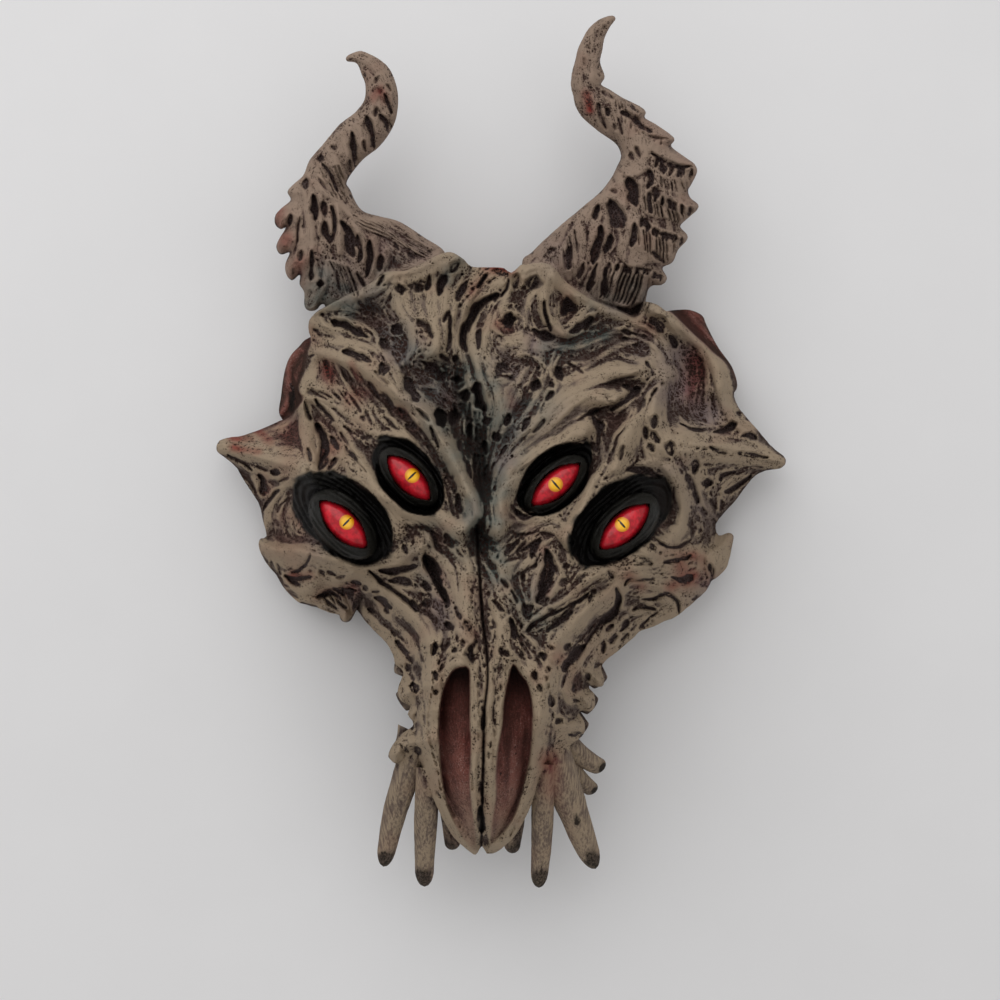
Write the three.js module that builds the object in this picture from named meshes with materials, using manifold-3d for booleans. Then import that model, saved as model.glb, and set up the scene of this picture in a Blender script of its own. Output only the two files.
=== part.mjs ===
// A horned demon mask with four eyes, cast in resin, lying on its back with the face up.
// Millimetres. +X is to the right of the face as it is looked at, +Y towards the horns, +Z out of the face.
// Every form is laid out as it lines up when it is seen from VIEW_DISTANCE straight in front.
// truePlace() then draws the near forms together, as the real mask has them.

import * as THREE from "three";
import { mergeVertices } from "three/addons/utils/BufferGeometryUtils.js";
import Module from "manifold-3d";

const wasm = await Module();
wasm.setup();

const VIEW_DISTANCE = 800;
const VIEW_CENTRE = new THREE.Vector2(0, -22);
const BOX_CENTRE = new THREE.Vector2(0.5, -2.4); // middle of the finished mask, moved to the origin

const WALL = 7; // thickness of the casting, measured straight down
const RIM_WIDTH = 7; // flat back edge that the mask lies on
const CROWN_BLOCK = 24; // solid depth behind the crown's lip, which the horns are set in
const FIT_GAP = 0.35; // room round each separate piece
const GRID = 6; // spacing of the carved surface's points
const UNDER_GRID = 9; // spacing of the plain underside
const CORE_GRID = 18; // spacing of the plain surface inside

// Heights along the middle of the face, as [y, height] from the crown to the tip of the snout.
const MIDDLE_HEIGHTS = [
  [92, 50],
  [60, 58],
  [30, 67],
  [0, 73],
  [-25, 81],
  [-50, 89],
  [-75, 95],
  [-100, 100],
  [-125, 100],
  [-145, 95],
  [-165, 84],
  [-185, 62],
];
// Height of the outer edge, and how far in from it the face reaches its full height.
const EDGE_HEIGHTS = [
  [92, 47],
  [70, 42],
  [52, 28],
  [35, 21],
  [0, 18],
  [-60, 20],
  [-78, 28],
  [-92, 44],
  [-112, 58],
  [-145, 60],
  [-185, 48],
];
const EDGE_RISES = [
  [92, 16],
  [60, 40],
  [30, 60],
  [-50, 56],
  [-80, 40],
  [-100, 26],
  [-140, 20],
  [-185, 13],
];
// Height of the underside: it lies flat within the rim and lifts under the snout and the spikes.
const SNOUT_UNDERSIDES = [
  [-76, 0],
  [-88, 8],
  [-105, 26],
  [-150, 34],
  [-190, 34],
];
const SPIKE_UNDERSIDE = 13;
const LIFT_WIDTH = 11;
const UNDER_STEP = 1; // how far the underside's cutter stays below the rim
const UNDER_DEPTH = 5;

// Outline of the bone, in stretches that follow on from each other, round from the crown's left lip.
const CROWN_LEFT = [
  [-7, 83], [-13, 83.5], [-19, 88.5], [-22.5, 89.5], [-28, 88.5], [-37, 84.5], [-52, 80.5], [-62, 74],
  [-79, 65], [-86, 58],
];
const CHEEK_LEFT = [
  [-86.5, 47.5], [-88, 36.5], [-90.5, 28.5], [-90, 19.5], [-97, 15], [-115.5, 7.5], [-125.5, 5],
  [-128, 2], [-125.5, -2],
];
const JAW_LEFT = [
  [-119.5, -7], [-109, -23.5], [-106, -38], [-109, -40.5], [-106.5, -49.5], [-101, -56.5],
  [-94, -65.5], [-86.5, -70.5], [-73, -74.5],
];
const SNOUT_LEFT = [
  [-70, -77], [-65.5, -74], [-57.5, -80.5], [-51.5, -86.5], [-46, -97.5], [-44, -112], [-40.5, -119],
  [-48.5, -129], [-50, -138],
];
const MUZZLE_LEFT = [
  [-46, -141.5], [-38.5, -138], [-34, -146], [-29, -160], [-22.5, -172.5], [-16, -179], [-11, -181.5],
  [-8, -177.5],
];
const MUZZLE_RIGHT = [
  [-6, -181], [0, -179.5], [8.5, -171.5], [15, -158], [18.5, -146], [23.5, -139], [30, -133.5],
  [37, -128], [38.5, -121],
];
const SNOUT_RIGHT = [
  [43.5, -114], [43, -108.5], [47, -105], [47, -99.5], [53, -92], [60.5, -85], [70, -80.5], [79, -75],
  [92.5, -63.5],
];
const CHEEK_RIGHT = [
  [99, -56.5], [105, -46.5], [105.5, -38], [99.5, -36.5], [98, -33], [106.5, -22.5], [115.5, -11],
  [126.5, -8], [129, -4.5],
];
const BROW_RIGHT = [
  [124, 1], [112, 14.5], [106, 24.5], [104.5, 34], [95.5, 44.5], [85.5, 54], [74, 64], [68.5, 66.5],
  [65, 61],
];
const CROWN_RIGHT = [
  [60.5, 60.5], [47, 66], [33.5, 73.5], [25, 82.5], [20.5, 85], [11.5, 84.5], [5.5, 81],
];
const OUTLINE = [
  ...CROWN_LEFT,
  ...CHEEK_LEFT,
  ...JAW_LEFT,
  ...SNOUT_LEFT,
  ...MUZZLE_LEFT,
  ...MUZZLE_RIGHT,
  ...SNOUT_RIGHT,
  ...CHEEK_RIGHT,
  ...BROW_RIGHT,
  ...CROWN_RIGHT,
];
// The edge that the mask lies on, drawn in from the outline and rounded.
const RIM = [
  [0, 79], [-22.5, 81.5], [-45, 75], [-70, 62.5], [-81, 52], [-84.5, 36.5], [-89, 16],
  [-94.5, 0.5], [-98, -22], [-100, -42.5], [-90, -61.5], [-67.5, -70], [-48.5, -85], [-37, -107.5],
  [-31.5, -157], [-9, -174], [11, -157], [25, -112], [50.5, -85], [75.5, -71.5], [93.5, -53.5],
  [95.5, -31], [100, -8.5], [102.5, 14], [95.5, 34], [77.5, 54.5], [56, 58], [31.5, 69],
  [13.5, 79],
];
// Lobes of red-brown flesh that show behind the bone.
const FLESH_LEFT = [
  [-74, 54.5], [-86, 50.5], [-92, 46], [-96.5, 38], [-98, 26], [-99, 16], [-90, 5], [-70, 14],
];
const FLESH_RIGHT = [
  [63, 60], [75, 62.5], [84.5, 63.5], [91, 61.5], [94, 56.5], [100, 45.5], [105.5, 34], [104.5, 23],
  [90, 23], [67.5, 41],
];
const FLESH_HEIGHT = 24;

// Raised ridges: the line they follow, with half width and height at each end. A crest is round or sharp.
const RIDGES = [
  {
    name: "brow left",
    line: [
      [-80, 45.5], [-63, 40], [-50.5, 30], [-37.5, 22], [-30, 11], [-18, -5.5], [-11.5, -20],
      [-11, -30],
    ],
    wide: [9, 8],
    high: [6, 11],
  },
  {
    name: "brow left plate",
    line: [[-88.5, 28.5], [-74, 22], [-59.5, 12], [-45, 5]],
    wide: [15, 10],
    high: [7, 5],
  },
  {
    name: "blade left",
    line: [[-88.5, 22], [-87.5, 8.5], [-83.5, -10.5]],
    wide: [6, 6],
    high: [9, 5],
    sharp: true,
  },
  { name: "spike left", line: [[-124, 2], [-107, -0.5], [-90, -6]], wide: [9, 13], high: [4, 8] },
  {
    name: "between the left eyes",
    line: [[-70, -0.5], [-59.5, -13], [-52, -23], [-46, -34.5]],
    wide: [7, 7],
    high: [5, 5],
  },
  {
    name: "under inner left eye",
    line: [[-50.5, -19.5], [-39.5, -27.5], [-27, -30], [-17, -35.5]],
    wide: [6, 7],
    high: [5, 7],
  },
  {
    name: "socket rim left",
    line: [[-106, -43.5], [-89, -46.5], [-74, -50], [-59.5, -53.5], [-45, -48], [-33.5, -40]],
    wide: [6, 6],
    high: [6, 5],
  },
  {
    name: "cheek strap left",
    line: [
      [-67.5, -55.5], [-54, -63.5], [-41.5, -73.5], [-32.5, -85], [-31.5, -107.5], [-32, -130],
      [-29, -150.5], [-22.5, -166], [-13.5, -177.5],
    ],
    wide: [7, 5],
    high: [5, 5],
  },
  {
    name: "nasal bone left",
    line: [[-17, -36.5], [-15.5, -53.5], [-15.5, -76], [-19, -92]],
    wide: [10, 8],
    high: [5, 4],
  },
  {
    name: "nasal bone right",
    line: [[-1, -26.5], [0, -49], [0, -71.5], [3.5, -92]],
    wide: [10, 8],
    high: [5, 4],
  },
  {
    name: "feather right low",
    line: [[38, 10.5], [22.5, 2], [9, -7.5], [0, -21], [-2.5, -33.5]],
    wide: [9, 9],
    high: [7, 9],
  },
  {
    name: "feather right middle",
    line: [[54, 23.5], [39.5, 24.5], [25, 16.5], [9, 5], [0, -7]],
    wide: [9, 8],
    high: [9, 5],
  },
  {
    name: "feather right high",
    line: [[63.5, 36], [48.5, 35.5], [34, 30.5], [20, 22], [10, 12]],
    wide: [8, 8],
    high: [8, 4],
  },
  {
    name: "leaf right tall",
    line: [[74, 33.5], [70, 22], [68.5, 9.5], [70, -2]],
    wide: [7, 8],
    high: [11, 4],
    sharp: true,
  },
  { name: "leaf right low", line: [[61.5, 15], [57, 5], [52, -7]], wide: [7, 7], high: [8, 4] },
  {
    name: "rim plate right",
    line: [[72, 65], [89, 49], [99, 34.5], [101.5, 21], [111.5, 10.5]],
    wide: [9, 8],
    high: [8, 5],
  },
  {
    name: "spike right",
    line: [[126, -4.5], [110, -1], [96.5, 1.5], [81, 4]],
    wide: [8, 12],
    high: [3, 7],
  },
  {
    name: "between the right eyes",
    line: [[50.5, -8.5], [43, -18.5], [36, -29], [29.5, -38]],
    wide: [7, 6],
    high: [5, 5],
  },
  {
    name: "socket rim right",
    line: [[77.5, -8.5], [83, -22], [79, -36.5], [70, -44.5], [56, -52], [40.5, -56.5]],
    wide: [6, 6],
    high: [6, 5],
  },
  {
    name: "cheek strap right",
    line: [
      [63, -55.5], [47.5, -65], [34, -76.5], [25, -87.5], [20, -107.5], [17, -131], [14.5, -152.5],
      [7, -169], [-1, -178],
    ],
    wide: [7, 5],
    high: [6, 5],
  },
  {
    name: "crown lip left",
    line: [[-72, 66], [-52, 76], [-37, 81.5], [-27, 86], [-20, 87]],
    wide: [9, 9],
    high: [4, 6],
  },
  {
    name: "crown lip right",
    line: [[6.5, 77], [13.5, 81.5], [22.5, 81.5], [33.5, 70.5], [47.5, 63], [60.5, 57]],
    wide: [8, 8],
    high: [4, 4],
  },
  {
    name: "crown lobe",
    line: [[-1, 62.5], [-6.5, 47.5], [-2.5, 29.5], [0, 14]],
    wide: [13, 10],
    high: [6, 4],
  },
  {
    name: "crown fold",
    line: [[23.5, 79], [21.5, 65.5], [29, 54.5], [38, 61]],
    wide: [7, 6],
    high: [4, 5],
  },
  {
    name: "knob plate right",
    line: [[100, -38], [101, -47], [95.5, -55.5]],
    wide: [8, 8],
    high: [5, 4],
  },
  {
    name: "knob plate left",
    line: [[-106, -43], [-97, -49], [-85.5, -48]],
    wide: [8, 8],
    high: [5, 4],
  },
];
// Sunken troughs, in the same form.
const TROUGHS = [
  {
    name: "valley",
    line: [[-4.5, 68], [-16, 52], [-21.5, 36.5], [-20, 18.5], [-12.5, 0.5], [-8, -22], [-9, -42.5]],
    wide: [10, 9],
    high: [-7, -5],
  },
  {
    name: "valley middle",
    line: [[-27, 29.5], [-14.5, 11.5], [-8, -8.5]],
    wide: [20, 14],
    high: [-10, -7],
  },
  { name: "hollow right", line: [[87.5, 35.5], [84.5, 17.5]], wide: [12, 12], high: [-8, -8] },
  { name: "nasal pit left", line: [[-32.5, -49], [-29, -60]], wide: [7, 6], high: [-8, -5] },
  { name: "nasal pit right", line: [[21.5, -49], [20, -61]], wide: [8, 7], high: [-8, -6] },
  { name: "crown pit", line: [[4, 58], [6.5, 56.5]], wide: [7, 7], high: [-7, -7] },
  {
    name: "hollow above the left brow",
    line: [[-57.5, 60], [-44, 45.5], [-36, 32]],
    wide: [12, 12],
    high: [-5, -5],
  },
  { name: "cheek hollow left", line: [[-76.5, -62.5], [-57.5, -69]], wide: [8, 8], high: [-5, -4] },
  { name: "cheek hollow right", line: [[45, -76], [67.5, -67]], wide: [8, 8], high: [-5, -4] },
  {
    name: "between the snout straps",
    line: [[-36, -62.5], [-27, -78.5]],
    wide: [8, 7],
    high: [-4, -3],
  },
];

// Each eye: centre, turn of its long axis in degrees, half sizes, and how far it leans out with the cheek.
const EYES = [
  { name: "eye_outer_left", at: [-70.5, -33], turn: -45, eye: [14.8, 6.4], lean: -14 },
  { name: "eye_inner_left", at: [-41, -12], turn: -46, eye: [13.7, 5.9], lean: -8 },
  { name: "eye_inner_right", at: [25, -15], turn: 41, eye: [14.2, 5.9], lean: 8 },
  { name: "eye_outer_right", at: [56, -34], turn: 42, eye: [14.8, 6.4], lean: 14 },
];
// The dark socket round each eye, in the same order: its centre, its turn and its half sizes.
const SOCKETS = [
  { at: [-71, -31.5], turn: -38, half: [28, 17] },
  { at: [-41.5, -11], turn: -50, half: [21, 12.5] },
  { at: [25, -12.5], turn: 43, half: [20.5, 12.5] },
  { at: [54.5, -31], turn: 40, half: [28.5, 16] },
];
const SOCKET_DEPTH = 10;
const LID_HEIGHT = 8;
const EYE_DOME = 6;

// Nostril openings, round from the top, and how deep they are sunk at the top and at the tip.
const NOSTRIL_LEFT = [
  [-16, -97], [-13, -100.5], [-12.5, -117.5], [-11.5, -129], [-15, -148], [-11, -165],
  [-11.5, -170.5], [-17.5, -165], [-24, -156], [-26.5, -141.5], [-27, -112], [-24, -104],
];
const NOSTRIL_RIGHT = [
  [5.5, -96], [9, -101], [13, -106.5], [15, -117.5], [13.5, -139], [10, -157], [1, -169.5],
  [-2, -162.5], [-1, -139], [0, -128], [2, -117.5], [3.5, -103],
];
const NOSTRIL_DEPTH = [17, 9];
const CLEFT = [[-10, -35.5], [-9, -58], [-7, -85], [-7.5, -118], [-7.5, -152.5], [-8, -178.5]];
const CLEFT_WIDTH = 2.2;
const CLEFT_DEPTH = 7;
const CLEFT_STEP = 9;

// Fangs and teeth: root and tip with their heights, half widths, and how far they bow sideways.
const TEETH = [
  {
    name: "fang outer left",
    root: [-37.5, -133],
    tip: [-52.5, -187],
    z: [60, 36],
    half: [7, 3.8],
    bow: 1.5,
  },
  {
    name: "fang inner left",
    root: [-32, -142.5],
    tip: [-34, -196],
    z: [63, 34],
    half: [6, 3.8],
    bow: 0.5,
  },
  {
    name: "fang inner right",
    root: [19.5, -141],
    tip: [17.5, -196.5],
    z: [63, 34],
    half: [5.4, 3.7],
    bow: -0.5,
  },
  {
    name: "fang outer right",
    root: [21, -131],
    tip: [43, -188],
    z: [60, 36],
    half: [9.6, 3.8],
    bow: 0,
  },
  {
    name: "tooth right high",
    root: [29.5, -131],
    tip: [47, -143],
    z: [50, 40],
    half: [5.2, 3.4],
    bow: 1,
  },
  {
    name: "tooth right low",
    root: [29.5, -140],
    tip: [43, -153.5],
    z: [46, 34],
    half: [4.8, 3.2],
    bow: 1,
  },
  {
    name: "tooth back left",
    root: [-21.5, -157],
    tip: [-21.5, -179.5],
    z: [44, 30],
    half: [5.4, 3.6],
    bow: 0,
  },
  {
    name: "tooth back right",
    root: [6.5, -157],
    tip: [5.5, -181],
    z: [44, 30],
    half: [5.4, 3.4],
    bow: 0,
  },
  {
    name: "knob left high",
    root: [-39.5, -97.5],
    tip: [-47.5, -96],
    z: [40, 36],
    half: [5, 3.6],
    bow: 0,
  },
  {
    name: "knob left middle",
    root: [-39.5, -110],
    tip: [-45, -113.5],
    z: [42, 38],
    half: [6, 4.4],
    bow: 0,
  },
  {
    name: "knob left low",
    root: [-40.5, -125.5],
    tip: [-47.5, -140],
    z: [46, 38],
    half: [6, 4.4],
    bow: -2,
  },
  { name: "barb left", root: [-66.5, -62.5], tip: [-70, -77], z: [34, 22], half: [5, 2.4], bow: 0 },
  { name: "knob right high", root: [39.5, -97.5], tip: [46, -105], z: [42, 38], half: [6, 4], bow: 0 },
  {
    name: "knob right middle",
    root: [34, -109.5],
    tip: [42.5, -115.5],
    z: [44, 38],
    half: [6, 4.4],
    bow: 0,
  },
  {
    name: "knob right low",
    root: [29.5, -119],
    tip: [38, -126.5],
    z: [46, 40],
    half: [6, 4.4],
    bow: 0,
  },
];

// Each horn as stations from its root: its two edges as seen, the height of its middle, its half thickness.
const HORN_LEFT = [
  { a: [-73, 56], b: [-25, 79.5], z: 27, half: 9 },
  { a: [-87.5, 64.5], b: [-26.5, 88.5], z: 28, half: 10 },
  { a: [-92.5, 75], b: [-42.5, 99.5], z: 31, half: 12 },
  { a: [-95, 88], b: [-54, 105.5], z: 34, half: 13 },
  { a: [-96, 101], b: [-65, 111], z: 36, half: 13 },
  { a: [-93.5, 115], b: [-68.5, 117.5], z: 36, half: 12 },
  { a: [-88, 126.5], b: [-63.5, 126], z: 36, half: 11 },
  { a: [-78.5, 139.5], b: [-53.5, 137], z: 36, half: 10.5 },
  { a: [-67.5, 147.5], b: [-47.5, 145], z: 37, half: 9.5 },
  { a: [-61, 156], b: [-46, 154.5], z: 38, half: 8 },
  { a: [-60.5, 164], b: [-47.5, 165], z: 39, half: 7 },
  { a: [-61.5, 170.5], b: [-52.5, 175], z: 40, half: 5.6 },
  { a: [-65.5, 174.5], b: [-61, 178.5], z: 40, half: 4 },
  { a: [-69.5, 175], b: [-67.5, 178], z: 39, half: 2 },
];
const HORN_RIGHT = [
  { a: [21.5, 71.5], b: [60.5, 54.5], z: 27, half: 9 },
  { a: [12, 84], b: [66.5, 69], z: 28, half: 10 },
  { a: [18.5, 92.5], b: [74, 76], z: 31, half: 12 },
  { a: [28.5, 102.5], b: [78.5, 88.5], z: 34, half: 13 },
  { a: [38, 111], b: [83, 101], z: 36, half: 13.5 },
  { a: [47, 119], b: [83.5, 113], z: 36, half: 13 },
  { a: [53, 129], b: [83, 124], z: 36, half: 12 },
  { a: [53, 136.5], b: [74, 135.5], z: 36, half: 11 },
  { a: [47, 140.5], b: [65.5, 146], z: 36, half: 10 },
  { a: [39.5, 146], b: [58.5, 155], z: 37, half: 9 },
  { a: [34.5, 155], b: [49.5, 161.5], z: 38, half: 8 },
  { a: [32, 166], b: [46, 167.5], z: 39, half: 7 },
  { a: [33.5, 178.5], b: [45, 178], z: 40, half: 6 },
  { a: [36.5, 186], b: [46.5, 185], z: 41, half: 5 },
  { a: [43, 192.5], b: [48.5, 191], z: 42, half: 3.4 },
  { a: [49.5, 196], b: [51.5, 194.5], z: 42, half: 1.6 },
];
// Ribs that run along each horn and end in blunt tips past its outer edge.
const HORN_RIBS_LEFT = [
  { root: [-84.5, 127.5], tip: [-100, 100.5], z: [40, 33], half: [3, 3], bow: -2 },
  { root: [-83, 115], tip: [-98, 87.5], z: [43, 32], half: [4, 3.6], bow: -2 },
  { root: [-80, 101], tip: [-94, 76.5], z: [44, 31], half: [4.5, 4], bow: -2 },
  { root: [-74.5, 90.5], tip: [-86, 64], z: [44, 31], half: [5, 4.2], bow: -2 },
];
const HORN_RIBS_RIGHT = [
  { root: [43, 166], tip: [65, 151], z: [42, 36], half: [3, 2.6], bow: 1 },
  { root: [50.5, 155], tip: [77.5, 139.5], z: [43, 35], half: [3.6, 3], bow: 1 },
  { root: [55, 147], tip: [87.5, 126.5], z: [44, 34], half: [4.4, 4], bow: 2 },
  { root: [63, 122], tip: [88.5, 110], z: [46, 34], half: [5, 3.4], bow: 1 },
  { root: [61, 106], tip: [83.5, 96.5], z: [46, 33], half: [5, 4], bow: 1 },
  { root: [53, 87], tip: [74, 76.5], z: [45, 32], half: [5, 4], bow: 1 },
];

const HORN_SIDES = 10;
const HORN_STEPS = 20;
const TOOTH_SIDES = 6;
const TOOTH_STEPS = 4;
const BLUNT_END = 0.5; // width of a tooth's cut end as a share of its last section
const TIP_CROWD = 1.5; // draws a tooth's sections together towards its tip
const TAPER = 1.4; // above 1, a tooth keeps its width near the root
const SOCKET_SIDES = 12;
const LID_SHARE = 0.72; // size of the swelling lids as a share of the socket
const LID_SINK = 4;
const EYE_SIDES = 12;
const FLESH_PULL = 0.12; // how far a flesh lobe draws in towards the top
const CROWN_START = 50; // y above which the casting is solid behind the lip
const CUT_TOP = 130; // above the highest point of the mask
const NEAR_POINTS = 8;
const NEAR_REACH = 9;
const SOCKET_SPREAD = 1.1;

const clamp = THREE.MathUtils.clamp;
const lerp = THREE.MathUtils.lerp;

// A value read from a table of [y, value] rows that run downwards.
function tableValue(rows, y) {
  for (let i = 1; i < rows.length; i++) {
    const [y0, v0] = rows[i - 1];
    const [y1, v1] = rows[i];
    if (y >= y1) return lerp(v0, v1, clamp((y - y0) / (y1 - y0), 0, 1));
  }
  return rows.at(-1)[1];
}

function smooth(t) {
  const u = clamp(t, 0, 1);
  return u * u * (3 - 2 * u);
}

// Nearest place on a line: the distance to it and the share of the way along.
function nearestOn(line, x, y, closed = false) {
  const count = closed ? line.length : line.length - 1;
  let best = { distance: Infinity, share: 0 };
  for (let i = 0; i < count; i++) {
    const [ax, ay] = line[i];
    const [bx, by] = line[(i + 1) % line.length];
    const dx = bx - ax;
    const dy = by - ay;
    const t = clamp(((x - ax) * dx + (y - ay) * dy) / (dx * dx + dy * dy), 0, 1);
    const distance = Math.hypot(x - ax - t * dx, y - ay - t * dy);
    if (distance < best.distance) best = { distance, share: (i + t) / count };
  }
  return best;
}

function inside(line, x, y) {
  let within = false;
  for (let i = 0, j = line.length - 1; i < line.length; j = i++) {
    const [ax, ay] = line[i];
    const [bx, by] = line[j];
    if (ay > y !== by > y && x < ((bx - ax) * (y - ay)) / (by - ay) + ax) within = !within;
  }
  return within;
}

// Distance in from a closed line, negative outside it.
function depthInside(line, x, y) {
  const { distance } = nearestOn(line, x, y, true);
  return inside(line, x, y) ? distance : -distance;
}

function strokeHeight(stroke, x, y) {
  const { distance, share } = nearestOn(stroke.line, x, y);
  const u = distance / lerp(stroke.wide[0], stroke.wide[1], share);
  if (u >= 1) return 0;
  const fall = stroke.sharp ? 1 - u : (1 - u * u) ** 2;
  return fall * lerp(stroke.high[0], stroke.high[1], share);
}

// The plain swelling form of the face, without its ridges.
function domeHeight(x, y) {
  const edge = tableValue(EDGE_HEIGHTS, y);
  const reach = clamp(depthInside(OUTLINE, x, y) / tableValue(EDGE_RISES, y), 0, 1);
  return edge + (tableValue(MIDDLE_HEIGHTS, y) - edge) * Math.sin((reach * Math.PI) / 2);
}

// How far out from a socket's centre a point lies, as a share of the way to its edge.
function socketShare({ at, turn, half }, x, y) {
  const angle = THREE.MathUtils.degToRad(turn);
  const dx = x - at[0];
  const dy = y - at[1];
  const along = (dx * Math.cos(angle) + dy * Math.sin(angle)) / half[0];
  const across = (dy * Math.cos(angle) - dx * Math.sin(angle)) / half[1];
  return Math.hypot(along, across);
}

function faceHeight(x, y) {
  let height = domeHeight(x, y);
  for (const stroke of RIDGES) height += strokeHeight(stroke, x, y);
  for (const stroke of TROUGHS) height += strokeHeight(stroke, x, y);
  return height;
}

function undersideHeight(x, y) {
  const outside = -depthInside(RIM, x, y);
  const spikes = (SPIKE_UNDERSIDE + UNDER_STEP) * smooth(outside / LIFT_WIDTH) - UNDER_STEP;
  return Math.max(spikes, tableValue(SNOUT_UNDERSIDES, y) - UNDER_STEP);
}

// A closed solid from any closed geometry.
function solid(geometry) {
  const bare = geometry.clone();
  bare.deleteAttribute("normal");
  bare.deleteAttribute("uv");
  bare.clearGroups();
  const merged = mergeVertices(bare, 1e-3);
  return new wasm.Manifold(
    new wasm.Mesh({
      numProp: 3,
      vertProperties: new Float32Array(merged.attributes.position.array),
      triVerts: new Uint32Array(merged.index.array),
    }),
  );
}

function movePoints(geometry, place) {
  const position = geometry.getAttribute("position");
  const point = new THREE.Vector3();
  for (let i = 0; i < position.count; i++) {
    point.fromBufferAttribute(position, i);
    place(point);
    position.setXYZ(i, point.x, point.y, point.z);
  }
  return geometry;
}

// An upright block over an outline.
function outlineBlock(line, low, high) {
  const shape = new THREE.Shape(line.map(([x, y]) => new THREE.Vector2(x, y)));
  const geometry = new THREE.ExtrudeGeometry(
    shape, { depth: high - low, steps: 1, bevelEnabled: false },
  );
  return geometry.translate(0, 0, low);
}

// A slab of square cells whose upper and lower sides follow the heights that are given.
function heightSlab(low, high, spacing, topHeight, bottomHeight) {
  const width = high.x - low.x;
  const length = high.y - low.y;
  const across = Math.round(width / spacing);
  const along = Math.round(length / spacing);
  const slab = new THREE.BoxGeometry(width, length, 1, across, along, 1);
  slab.translate((low.x + high.x) / 2, (low.y + high.y) / 2, 0);
  return movePoints(slab, (point) => {
    point.z = point.z > 0 ? topHeight(point.x, point.y) : bottomHeight(point.x, point.y);
  });
}

// A bent and tapered tooth, horn rib or knob with a blunt end.
function tooth({ root, tip, z, half, bow }) {
  const geometry = new THREE.CylinderGeometry(1, 1, 1, TOOTH_SIDES, TOOTH_STEPS);
  const length = Math.hypot(tip[0] - root[0], tip[1] - root[1]);
  const side = new THREE.Vector2((tip[1] - root[1]) / length, (root[0] - tip[0]) / length);
  return movePoints(geometry, (point) => {
    const share = 1 - (0.5 - point.y) ** TIP_CROWD;
    const radius = lerp(half[0], half[1], share ** TAPER) * (share > 0.99 ? BLUNT_END : 1);
    const sideways = point.x * radius + bow * Math.sin(share * Math.PI);
    point.set(
      lerp(root[0], tip[0], share) + side.x * sideways,
      lerp(root[1], tip[1], share) + side.y * sideways,
      lerp(z[0], z[1], share) + point.z * radius,
    );
  });
}

// The station at a share of a horn's length, with both its edges moved out by a little room.
function hornStation(stations, share, room) {
  const place = clamp(share, 0, 1) * (stations.length - 1);
  const before = stations[Math.min(Math.floor(place), stations.length - 2)];
  const after = stations[Math.min(Math.floor(place), stations.length - 2) + 1];
  const part = place - stations.indexOf(before);
  const mix = (key) => before[key].map((value, i) => lerp(value, after[key][i], part));
  const a = mix("a");
  const b = mix("b");
  const width = Math.hypot(b[0] - a[0], b[1] - a[1]);
  return {
    middle: [(a[0] + b[0]) / 2, (a[1] + b[1]) / 2],
    side: [(b[0] - a[0]) / width, (b[1] - a[1]) / width],
    halfWidth: width / 2 + room,
    z: lerp(before.z, after.z, part),
    half: lerp(before.half, after.half, part) + room,
  };
}

function hornBody(stations, room = 0) {
  const geometry = new THREE.CylinderGeometry(1, 1, 1, HORN_SIDES, HORN_STEPS);
  movePoints(geometry, (point) => {
    const station = hornStation(stations, point.y + 0.5, room);
    const rootRoom = point.y < 0.01 - 0.5 ? room : 0;
    const sideways = point.x * station.halfWidth;
    point.set(
      station.middle[0] + station.side[0] * sideways,
      station.middle[1] + station.side[1] * sideways - rootRoom,
      station.z + point.z * station.half,
    );
  });
  return solid(geometry);
}

function hornSolid(stations, ribs) {
  let horn = hornBody(stations);
  for (const rib of ribs) horn = horn.add(solid(tooth(rib)));
  return horn;
}

// The closed line moved inwards at each corner by a distance that may change with y.
function insetLine(line, distanceAt) {
  return line.map(([x, y], i) => {
    const [px, py] = line[(i + line.length - 1) % line.length];
    const [nx, ny] = line[(i + 1) % line.length];
    const length = Math.hypot(nx - px, ny - py);
    const distance = distanceAt(y);
    const inward = inside(line, x + (ny - py) / length, y - (nx - px) / length) ? 1 : -1;
    return [x + (inward * distance * (ny - py)) / length, y - (inward * distance * (nx - px)) / length];
  });
}

// A narrow blade that follows a line, whose floor lies at the heights that are given.
function blade(line, width, step, floorHeight) {
  const curve = new THREE.SplineCurve(line.map(([x, y]) => new THREE.Vector2(x, y)));
  const block = new THREE.BoxGeometry(width, 1, 1, 1, Math.ceil(curve.getLength() / step), 1);
  return movePoints(block, (point) => {
    const at = curve.getPointAt(point.y + 0.5);
    const ahead = curve.getTangentAt(point.y + 0.5);
    const high = point.z > 0 ? CUT_TOP : floorHeight(at.x, at.y);
    point.set(at.x + ahead.y * point.x, at.y - ahead.x * point.x, high);
  });
}

// A cutter over an outline, whose floor lies at the heights that are given.
function cutter(line, floorHeight) {
  const block = outlineBlock(line, 0, CUT_TOP);
  return movePoints(block, (point) => {
    if (point.z < CUT_TOP / 2) point.z = floorHeight(point.x, point.y);
  });
}

function nostrilDepth(y) {
  const [top, tip] = [NOSTRIL_LEFT[0][1], NOSTRIL_LEFT[6][1]];
  return lerp(NOSTRIL_DEPTH[0], NOSTRIL_DEPTH[1], clamp((top - y) / (top - tip), 0, 1));
}

// An ellipsoid lying on the face, turned and leaned as its eye is, and sunk by a depth.
function restingBall({ at, turn, lean }, halves, sink, sides) {
  const ball = new THREE.SphereGeometry(1, sides, sides / 2);
  ball.rotateX(Math.PI / 2);
  ball.scale(...halves);
  ball.rotateZ(THREE.MathUtils.degToRad(turn));
  ball.rotateY(THREE.MathUtils.degToRad(lean));
  return ball.translate(at[0], at[1], faceHeight(...at) - sink);
}

function socketCut(eye, socket) {
  const frame = { ...socket, lean: eye.lean };
  return solid(restingBall(frame, [...socket.half, SOCKET_DEPTH], 0, SOCKET_SIDES));
}

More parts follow.
